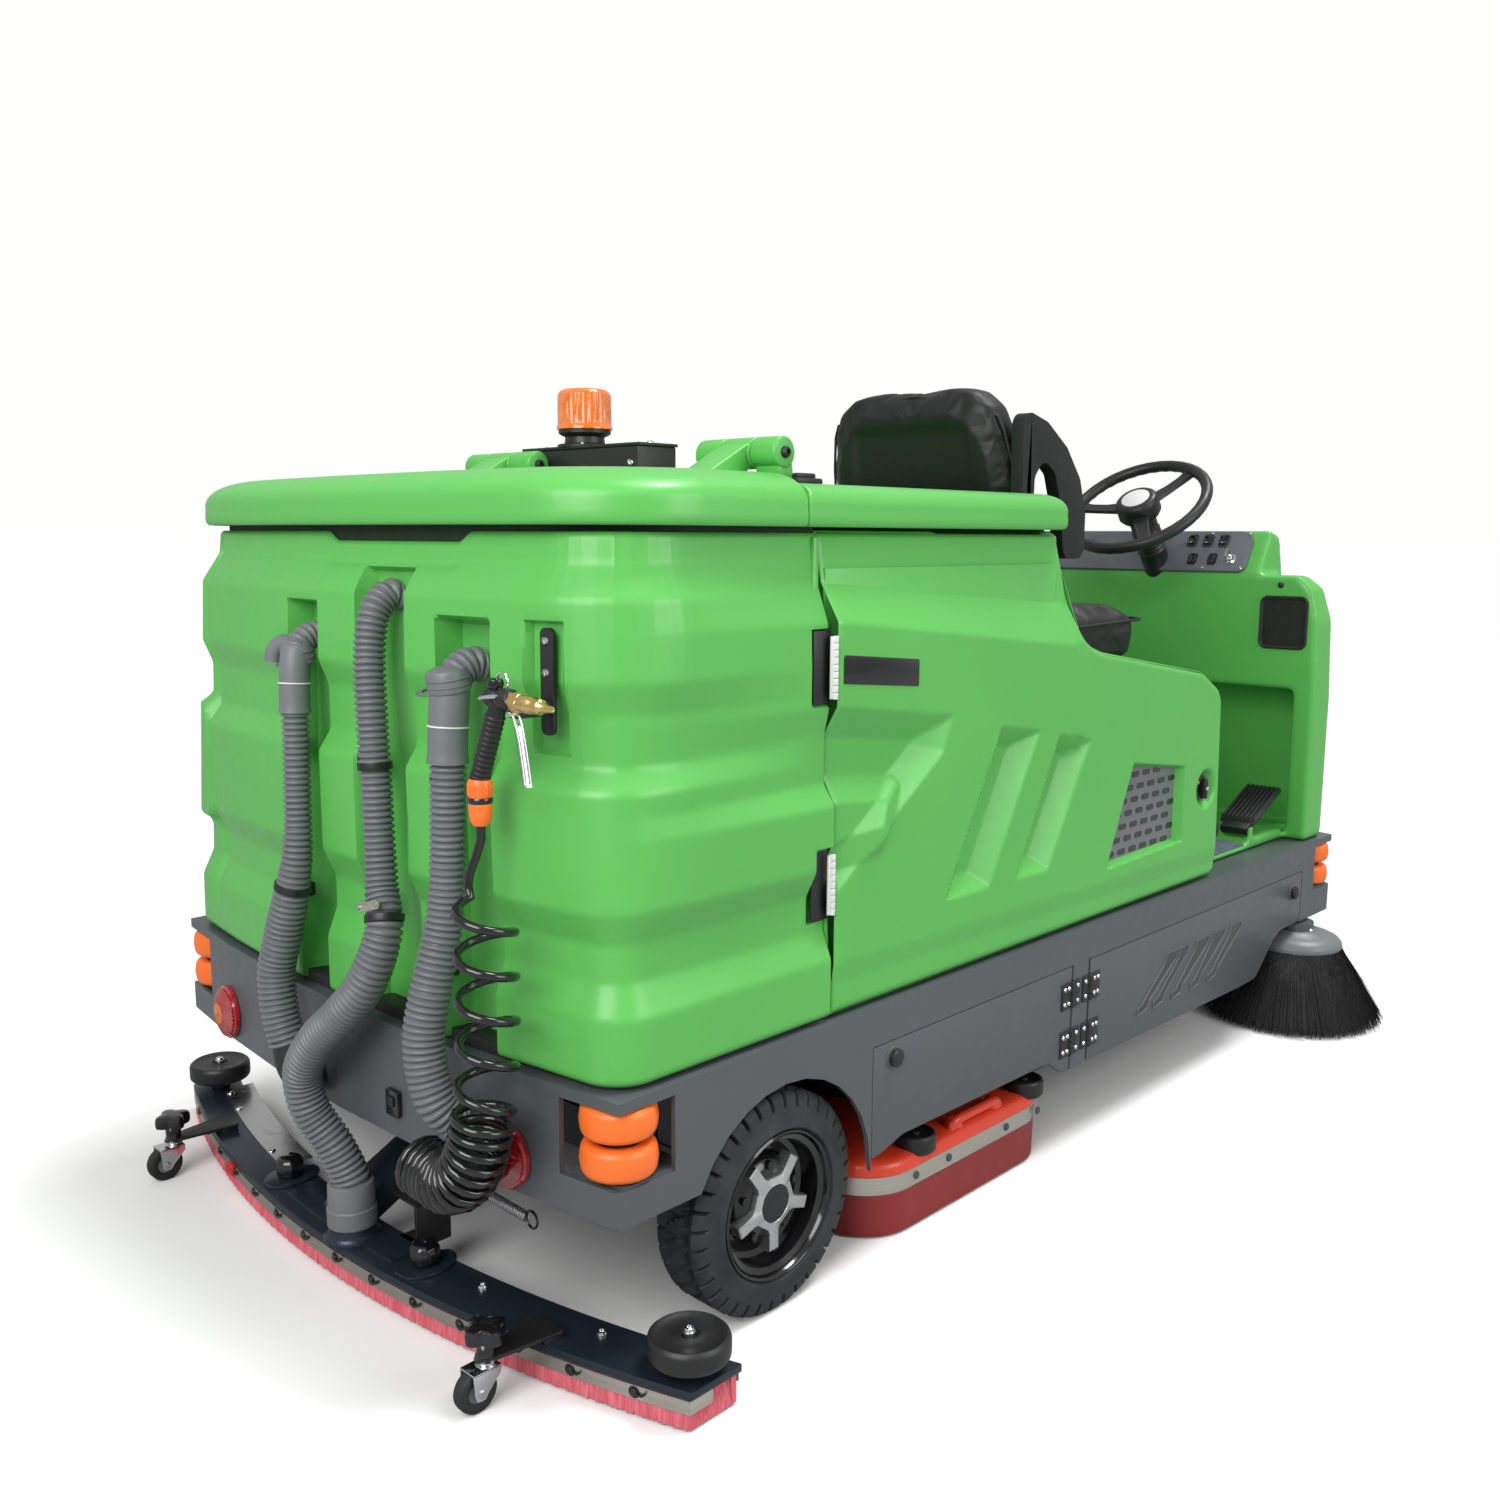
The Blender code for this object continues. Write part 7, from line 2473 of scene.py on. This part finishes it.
def upholstered(name, body, node, skin, trims):
    """Remeshes the skin, puffs it with cloth pressure, then joins its piping and trim."""
    points, faces = skin
    mesh = bpy.data.meshes.new(name)
    mesh.from_pydata([tuple(Vector(p) + AXLE) for p in points], [], faces)
    made = bpy.data.objects.new(name, mesh)
    bpy.context.scene.collection.objects.link(made)
    mesher = made.modifiers.new("mesher", "REMESH")
    mesher.mode = "VOXEL"
    mesher.voxel_size = 0.0055
    relax = made.modifiers.new("relax", "SMOOTH")
    relax.iterations = 4
    bake(made)
    puff(made)
    finer = made.modifiers.new("finer", "SUBSURF")
    finer.levels = 1
    bake(made)
    made.data.materials.clear()
    made.data.materials.append(MATERIALS["vinyl"])
    made.data.shade_smooth()
    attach(made, body)
    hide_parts(node)
    if trims:
        piece(name + "_piping", body, trims)
    return made


def bake(made):
    """Turns the object's modifiers into plain mesh."""
    bpy.context.view_layer.update()
    view = made.evaluated_get(bpy.context.evaluated_depsgraph_get())
    mesh = bpy.data.meshes.new_from_object(view)
    made.modifiers.clear()
    made.data = mesh


def puff(made):
    """Inflates the object as cloth, with each point kept within the cap of where it began."""
    scene = bpy.context.scene
    before = np.array([v.co for v in made.data.vertices])
    cloth = made.modifiers.new("cloth", "CLOTH")
    settings = cloth.settings
    settings.use_pressure = True
    settings.uniform_pressure_force = CUSHION_PRESSURE
    settings.effector_weights.gravity = 0
    settings.quality = 5
    settings.mass = 0.3
    settings.tension_stiffness = 15
    settings.compression_stiffness = 15
    settings.bending_stiffness = 0.5
    cloth.point_cache.frame_start = 1
    cloth.point_cache.frame_end = SIM_FRAMES
    for number in range(1, SIM_FRAMES + 1):
        scene.frame_set(number)
    bake(made)
    scene.frame_set(1)
    after = np.array([v.co for v in made.data.vertices])
    step_by = after - before
    far = np.linalg.norm(step_by, axis=1)
    share = np.minimum(1, CUSHION_CAP / np.maximum(far, 1e-9))
    made.data.vertices.foreach_set("co", (before + step_by * share[:, None]).ravel())
    made.data.update()


def seat_cushion():
    low = SEAT_DECK_Z + 0.062
    levels = [
        (low, 0.935, 1.325, 0.205, 0.05), (low + 0.012, 0.918, 1.342, 0.222, 0.05),
        (low + 0.045, 0.914, 1.346, 0.226, 0.05),
        (low + 0.078, 0.914, 1.346, 0.226, 0.05), (low + 0.092, 0.924, 1.336, 0.217, 0.05),
        (low + 0.102, 0.950, 1.310, 0.19, 0.045),
    ]
    rows = ringed(blended(levels, 16), 0.0)
    skin = grid(rows, True, True)
    seam_level = low + 0.073
    ring = rounded(rect(0.9085, SEAT_Y - 0.2315, 1.3515, SEAT_Y + 0.2315), 0.05, None, 12)
    ring = [(x, y, seam_level + 0.010 * step(x, 1.05, 1.35)) for x, y in ring]
    piping = sweep(ring, 0.0030, 10, True)
    channels = []
    for y in (SEAT_Y - 0.095, SEAT_Y + 0.095):
        line = [
            (x, y, low + 0.1045 + 0.003 * math.sin(math.pi * (x - 0.95) / 0.36))
            for x in np.linspace(0.955, 1.305, 24)
        ]
        channels.append((sweep(line, 0.0020, 8), "piping"))
    upholstered("seat_cushion_pad", "seat", "seat_cushion", skin, [(piping, "piping")] + channels)


BACK_LEVELS = (
    (0.912, 0.868, 0.892, 0.13, 0.018), (0.930, 0.862, 0.893, 0.165, 0.02),
    (0.96, 0.856, 0.890, 0.190, 0.025), (1.00, 0.848, 0.925, 0.212, 0.03),
    (1.06, 0.836, 0.955, 0.224, 0.034), (1.12, 0.825, 0.940, 0.2270, 0.036),
    (1.17, 0.815, 0.895, 0.226, 0.030),
    (1.20, 0.808, 0.876, 0.224, 0.028), (1.25, 0.795, 0.866, 0.217, 0.028),
    (1.31, 0.782, 0.860, 0.205, 0.030),
    (1.355, 0.774, 0.852, 0.185, 0.030), (1.382, 0.778, 0.846, 0.150, 0.024),
    (1.390, 0.790, 0.840, 0.12, 0.02),
)


SEAT_BACK_Y = SEAT_Y - 0.020
WING = (
    (0.805, 1.090), (0.800, 1.345), (0.880, 1.325), (0.950, 1.282), (1.000, 1.226), (1.024, 1.160),
    (1.024, 1.075),
    (0.950, 1.075), (0.936, 1.170), (0.912, 1.232), (0.872, 1.258), (0.842, 1.225), (0.838, 1.090),
)


def back_at(z, column):
    """A column of BACK_LEVELS read at height z."""
    return np.interp(z, [level[0] for level in BACK_LEVELS], [level[column] for level in BACK_LEVELS])


def seat_back():
    """Back cushion: bolsters at its sides stand forward of the hollow middle."""
    rows = []
    for z, back, front, half, corner in blended(BACK_LEVELS, 46):
        ring = []
        for x, y in rounded_ring(back, front, half, corner):
            hollow = 1 - step(abs(y), half * 0.50, half * 0.78)
            upper = step(z, 0.93, 1.02) * (1 - step(z, 1.30, 1.385))
            forward = (x - back) / (front - back)
            dip = 0.030 * hollow * upper * max(0.0, forward) ** 2
            panel = (1 - step(abs(y), half * 0.60, half * 0.68)) * (1 - step(z, 1.312, 1.327))
            sunk = 0.010 * panel * (1 - step(forward, 0.1, 0.4))
            ring.append((x - dip + sunk, SEAT_BACK_Y + y, z))
        rows.append(ring)
    skin = grid(rows, True, True)
    line = []
    for t in np.linspace(0, 1, 70):
        z = 0.985 + (1.362 - 0.985) * math.sin(math.pi * t) ** 0.55
        half = back_at(z, 3) - 0.0048
        back = back_at(z, 1)
        side = -1 if t < 0.5 else 1
        reach = min(1.0, abs(2 * t - 1) * 3.0)
        line.append((
            back + 0.016, SEAT_BACK_Y + side * half * reach, z + (0.016 if reach < 1 else 0) * (1 - reach)
        ))
    trims = [(sweep(line, 0.0028, 10), "piping")]
    for z, high in ((1.02, 0.060), (1.11, 0.060)):
        centre_x = back_at(z, 1)
        trims.append((
            block(
                (centre_x - 0.0060, SEAT_BACK_Y - 0.11, z - 0.003),
                (centre_x + 0.004, SEAT_BACK_Y + 0.11, z + high - 0.003), 0.002
            ),
            "black"
        ))
    wing = rounded(WING, 0.024, None, 6)
    trims.append((prism(wing, "y", SEAT_BACK_Y - 0.242, SEAT_BACK_Y - 0.216, 0.011, 4), "vinyl"))
    upholstered("seat_back_pad", "seat", "back_cushion", skin, trims)


def rounded_ring(back, front, half, corner):
    """Points about 12 mm apart round one level of the back."""
    ring = rounded(rect(back, -half, front, half), min(corner, (front - back) * 0.45), None, 6)
    closed = np.array(ring + ring[:1])
    far = np.concatenate([[0], np.cumsum(np.hypot(*np.diff(closed, axis=0).T))])
    places = np.linspace(0, far[-1], 97)[:-1]
    return list(zip(np.interp(places, far, closed[:, 0]), np.interp(places, far, closed[:, 1])))


def seat_frame():
    """Pan on slide rails, back strap and the adjusting lever."""
    z = SEAT_DECK_Z + 0.0145
    parts = []
    for y in (SEAT_Y - 0.175, SEAT_Y + 0.175):
        parts.append((block((0.912, y - 0.014, z), (1.278, y + 0.014, z + 0.011), 0.002), "steel"))
        parts.append((
            block((0.925, y - 0.009, z + 0.010), (1.290, y + 0.009, z + 0.022), 0.002), "dark_grey"
        ))
        for x in (0.94, 1.25):
            parts.append((screw((x, y, z + 0.011), (0, 0, 1), 0.006), "steel"))
    pan = [(0.912, z + 0.022), (1.278, z + 0.022), (1.272, z + 0.044), (0.918, z + 0.044)]
    parts.append((prism(rounded(pan, 0.004, None, 3), "y", SEAT_Y - 0.188, SEAT_Y + 0.188, 0.003), "black"))
    strap = [
        (0.930, z + 0.012), (0.930, z + 0.042), (0.858, z + 0.042), (0.8555, 0.913), (0.8465, 0.913),
        (0.8465, z + 0.020), (0.856, z + 0.012)
    ]
    parts.append((
        prism(
            rounded(strap, [0.002, 0.002, 0.006, 0.002, 0.002, 0.008, 0.003], None, 3), "y", SEAT_Y - 0.048,
            SEAT_Y + 0.048, 0.001
        ),
        "black"
    ))
    lever = smooth(
        [
            (1.15, SEAT_Y - 0.150, z + 0.026), (1.22, SEAT_Y - 0.155, z + 0.022),
            (1.262, SEAT_Y - 0.178, z + 0.018), (1.290, SEAT_Y - 0.186, z + 0.020)
        ],
        0.006
    )
    parts.append((sweep(lever, 0.0035, 10), "chrome"))
    piece("seat_frame_pan", "seat", parts, ["seat_frame"])


# ---- hose fittings, spray gun ---------------------------------------------------------------

GUN_HEAD = Vector((-0.378, -0.462, 0.918))
GRIP = Vector((0, 0.050, -0.115)).normalized()
TRIGGER_PIVOT = Vector((-0.378, -0.488, 0.9009))


def cuff(points, size, low, high, material="grey", proud=0.0022, lip=0.004):
    """A smooth sleeve on a hose between two lengths along it, with a bead at its lower end."""
    route = smooth(points, 0.006)
    far = along(route)
    kept = [p for p, d in zip(route, far) if low <= d <= high]
    start = far[next(i for i, d in enumerate(far) if d >= low)]

    def radius(distance):
        end = high - low
        swell = lip * math.exp(-((distance - end + 0.008) / 0.004) ** 2)
        return size[0] + proud + swell * 0.5 - (0.002 if distance < 0.003 else 0)

    return sweep(kept, radius, 32), material, start


def seam_ring(points, size, at, material="white"):
    """Thin ring round a hose at a length along it."""
    route = smooth(points, 0.004)
    far = along(route)
    i = min(range(len(far)), key=lambda k: abs(far[k] - at))
    axis = (route[i + 1] - route[i - 1]).normalized()
    return disc(size[0] + 0.0036, -0.0012, 0.0012, route[i], axis, 0.0008, 40, size[0] - 0.004), material


def clip(y, z, half_y, half_z, x, tilt=0.0):
    """Black moulded hose clip screwed to the tank."""
    body = block((-0.012, -half_y, -half_z), (0.010, half_y, half_z), 0.003)
    tongue = block((-0.018, -half_y * 0.55, -half_z * 0.45), (-0.010, half_y * 0.55, half_z * 0.45), 0.002)
    bolt = screw((-0.012, half_y * 0.62, half_z * 0.3), (-1, 0, 0), 0.0035)
    place = Matrix.Translation((x, y, z)) @ Matrix.Rotation(tilt, 4, "X")
    return [
        (shifted(body, place), "black"), (shifted(tongue, place), "black"), (shifted(bolt, place), "steel")
    ]


def strap(points, size, at, material, width=0.010):
    route = smooth(points, 0.004)
    far = along(route)
    i = min(range(len(far)), key=lambda k: abs(far[k] - at))
    axis = (route[i + 1] - route[i - 1]).normalized()
    radius = hose_size(at, *size)
    return disc(
        radius + 0.0018, -width / 2, width / 2, route[i], axis, 0.0008, 40, radius - 0.004
    ), material


def hose_fittings():
    parts = []
    for route, size, end in ((DRAIN_ROUTE, DRAIN_SIZE, 0.155), (DIRTY_ROUTE, DIRTY_SIZE, 0.160)):
        part, material, _ = cuff(route, size, 0.052, end)
        parts += [(part, material), seam_ring(route, size, 0.110)]
    for y, z, r in ((0.078, 0.936, 0.0245), (-0.317, 0.926, 0.0285)):
        cap = [
            (0, 0.020), (r - 0.012, 0.0195), (r - 0.003, 0.016), (r, 0.010), (r, -0.012),
            (r - 0.002, -0.014), (r - 0.004, -0.016)
        ]
        place = Matrix.Translation((-0.354, y, z)) @ facing((-0.16, 0, 0.987))
        parts.append((shifted(lathe(cap, segments=48), place), "grey"))
        for low in (-0.004, 0.005):
            parts.append((
                shifted(disc(r + 0.0012, low - 0.0012, low + 0.0012, segments=48, inner=r - 0.004), place),
                "grey"
            ))
        tab = disc(r * 0.9, -0.0015, 0.0015, (0, r * 1.25, -0.016), segments=32, inner=r * 0.62)
        parts.append((shifted(tab, place), "grey"))
    stub = smooth(
        [(-0.345, 0.110, 0.948), (-0.352, 0.128, 0.950), (-0.360, 0.138, 0.938), (-0.362, 0.140, 0.922)],
        0.004
    )
    parts.append((sweep(stub, 0.0135, 20), "grey"))
    bar = prism(rounded(rect(-0.0065, -0.030, 0.0065, 0.030), 0.006, None, 5), "x", -0.002, 0.0015, 0.0006)
    turn = Matrix.Translation((-0.4005, -0.176, 0.606)) @ Matrix.Rotation(math.radians(74), 4, "X")
    parts.append((shifted(bar, turn), "strip"))
    for end in (-0.024, 0.024):
        parts.append((shifted(screw((-0.002, 0, end), (-1, 0, 0), 0.0035), turn), "steel"))
    for y, z, x in (
        (0.106, 0.800, -0.345), (0.104, 0.570, -0.345), (-0.098, 0.800, -0.342), (-0.112, 0.600, -0.345),
        (-0.283, 0.790, -0.343), (-0.283, 0.530, -0.345)
    ):
        parts += clip(y, z, 0.015, 0.011, x)
    parts += [
        strap(DRAIN_ROUTE, DRAIN_SIZE, 0.420, "black", 0.011),
        strap(SUCTION_ROUTE, SUCTION_SIZE, 0.262, "black", 0.011),
        strap(SUCTION_ROUTE, SUCTION_SIZE, 0.480, "black", 0.011)
    ]
    elbow = smooth(
        [(-0.398, 0.078, 0.345), (-0.397, 0.070, 0.310), (-0.388, 0.060, 0.288), (-0.365, 0.054, 0.280)],
        0.006
    )
    parts.append((sweep(elbow, 0.026, 24), "black"))
    parts.append((disc(0.034, -0.003, 0.012, (-0.372, -0.343, 0.336), (0.25, 0, -1), 0.002, 40), "grey"))
    piece("hose_fittings", "root", parts)


def spray_gun():
    """Barrel and hexagon nozzle, knob on top, ribbed grip, hanging quick connector."""
    barrel = Vector((0, -1, -0.05)).normalized()
    tube = [
        (0, -0.022), (0.009, -0.022), (0.0125, -0.018), (0.0125, -0.004), (0.0105, 0.000), (0.0125, 0.003),
        (0.0140, 0.010), (0.0140, 0.024), (0.0125, 0.027), (0, 0.027)
    ]
    parts = [(lathe(tube, GUN_HEAD, barrel, 40), "black")]
    parts.append((disc(0.0132, 0.026, 0.046, GUN_HEAD, barrel, 0.0015, 6), "brass"))
    nozzle = [
        (0, 0.044), (0.0115, 0.044), (0.0110, 0.066), (0.0095, 0.068), (0.0095, 0.082), (0.0062, 0.086),
        (0.0050, 0.096), (0.0035, 0.104), (0.002, 0.105), (0, 0.103)
    ]
    parts.append((lathe(nozzle, GUN_HEAD, barrel, 32), "brass"))
    parts.append((
        lathe(
            [
                (0, 0.024), (0.006, 0.024), (0.0095, 0.022), (0.0105, 0.017), (0.0095, 0.012),
                (0.006, 0.009), (0.006, 0.0), (0, 0)
            ],
            GUN_HEAD + barrel * -0.008, (0, 0, 1), 32
        ),
        "gloss_black"
    ))
    fork = smooth(
        [
            tuple(GUN_HEAD + Vector((a, b, c))) for a, b,
            c in (
                (-0.010, -0.014, 0.004), (-0.012, 0.006, 0.002), (-0.008, 0.030, -0.002),
                (0.0, 0.040, -0.003), (0.008, 0.030, -0.002), (0.012, 0.006, 0.002), (0.010, -0.014, 0.004)
            )
        ],
        0.004
    )
    parts.append((sweep(fork, 0.0030, 10), "chrome"))
    ring = [
        GUN_HEAD + barrel * 0.006 + Vector((0, 0.011 * math.cos(a), 0.021 + 0.011 * math.sin(a)))
        for a in np.linspace(0, TURN, 25)
    ]
    parts.append((sweep(ring, 0.0016, 8), "chrome"))

    def grip_radius(distance):
        if distance < 0.020:
            return 0.0115
        return 0.0132 - 0.0014 * (
            0.5 - 0.5 * math.cos(TURN * distance / 0.0072)
        ) if distance < 0.105 else 0.0132

    line = [GUN_HEAD + GRIP * d for d in np.arange(0.004, 0.1201, 0.0012)]
    parts.append((sweep(line, grip_radius, 24), "black"))
    foot = GUN_HEAD + GRIP * 0.115
    socket = [
        (0, 0.004), (0.010, 0.004), (0.0135, 0.0), (0.0155, -0.003), (0.0155, -0.022), (0.0140, -0.024)
    ]
    parts.append((lathe(socket + [(0, -0.024)], foot, (0, 0, 1), 40), "orange"))
    parts.append((
        lathe(
            [
                (0, -0.023), (0.0145, -0.023), (0.0158, -0.025), (0.0158, -0.030), (0.0145, -0.032),
                (0, -0.032)
            ],
            foot, (0, 0, 1), 40
        ),
        "gloss_black"
    ))
    parts.append((
        lathe(
            [
                (0, -0.031), (0.0150, -0.031), (0.0155, -0.034), (0.0140, -0.052), (0.010, -0.0595),
                (0, -0.060)
            ],
            foot, (0, 0, 1), 40
        ),
        "orange"
    ))
    for k in range(12):
        a = TURN * k / 12
        rib = block((0.0138, -0.0012, -0.021), (0.0163, 0.0012, -0.005), 0.0005, 1)
        parts.append((shifted(rib, Matrix.Translation(foot) @ Matrix.Rotation(a, 4, "Z")), "orange"))
    piece("spray_gun_body", "root", parts, ["spray_gun"])
    trigger()


def trigger():
    """Bent wire lever, doubled, with a curved finger plate."""
    parts = []
    offsets = [(0.002, 0.002), (-0.008, -0.004), (-0.016, -0.030), (-0.022, -0.058), (-0.027, -0.084)]
    for x in (-0.0045, 0.0045):
        line = smooth([tuple(TRIGGER_PIVOT + Vector((x, a, b))) for a, b in offsets], 0.004)
        parts.append((sweep(line, 0.0016, 10), "chrome"))
    rows = []
    for a, b in (
        (-0.0115, -0.014), (-0.0165, -0.030), (-0.0225, -0.058), (-0.0275, -0.084), (-0.0285, -0.087)
    ):
        rows.append([
            tuple(TRIGGER_PIVOT + Vector((x, a + 0.0015 - 22 * x * x, b)))
            for x in np.linspace(-0.0058, 0.0058, 7)
        ])
    outer = grid(rows)
    parts.append((outer, "chrome"))
    parts.append((moved(outer, 0, 0.0012, 0), "chrome"))
    parts.append((disc(0.0035, -0.0065, 0.0065, TRIGGER_PIVOT, (1, 0, 0), 0.0005, 16), "chrome"))
    piece("gun_trigger_lever", "gun_trigger", parts, ["gun_trigger"])


def rear_fittings():
    """Square latch on the rear panel."""
    y, z = -0.155, 0.300
    x = rear_x(y) - 0.001
    outline = rounded(rect(y - 0.016, z - 0.020, y + 0.016, z + 0.020), 0.004, None, 4)
    parts = [
        (prism(outline, "x", x - 0.0055, x + 0.004, 0.001), "gloss_black"),
        (block((x - 0.009, y - 0.008, z - 0.004), (x - 0.004, y + 0.008, z + 0.012), 0.002), "black")
    ]
    piece("rear_latch", "root", parts)


# ---- everything -----------------------------------------------------------------------------

def finish_nodes():
    """Gives the CAD nodes that stay in view their finish."""
    for finish, names in NODE_FINISH.items():
        for name in names:
            NODES[name].data.materials.clear()
            NODES[name].data.materials.append(MATERIALS[finish])


materials()
camera()
studio()
floor()
curly_hose()
hoses()
recovery_tank()
rear_lid()
front_lid()
side_doors()
rear_wheels()
front_wheel()
corner_rollers()
tail_lights()
front_lamps()
skirt_doors()
beacon()
squeegee_blade()
squeegee_plate()
squeegee_wheels()
pull_spring()
scrub_deck()
side_brushes()
disc_brushes()
main_broom()
front_body()
floor_mat()
fender_cover()
dash_face()
rockers()
ignition_key()
steering_wheel()
pedal()
seat_cushion()
seat_back()
seat_frame()
hose_fittings()
spray_gun()
rear_fittings()
finish_nodes()
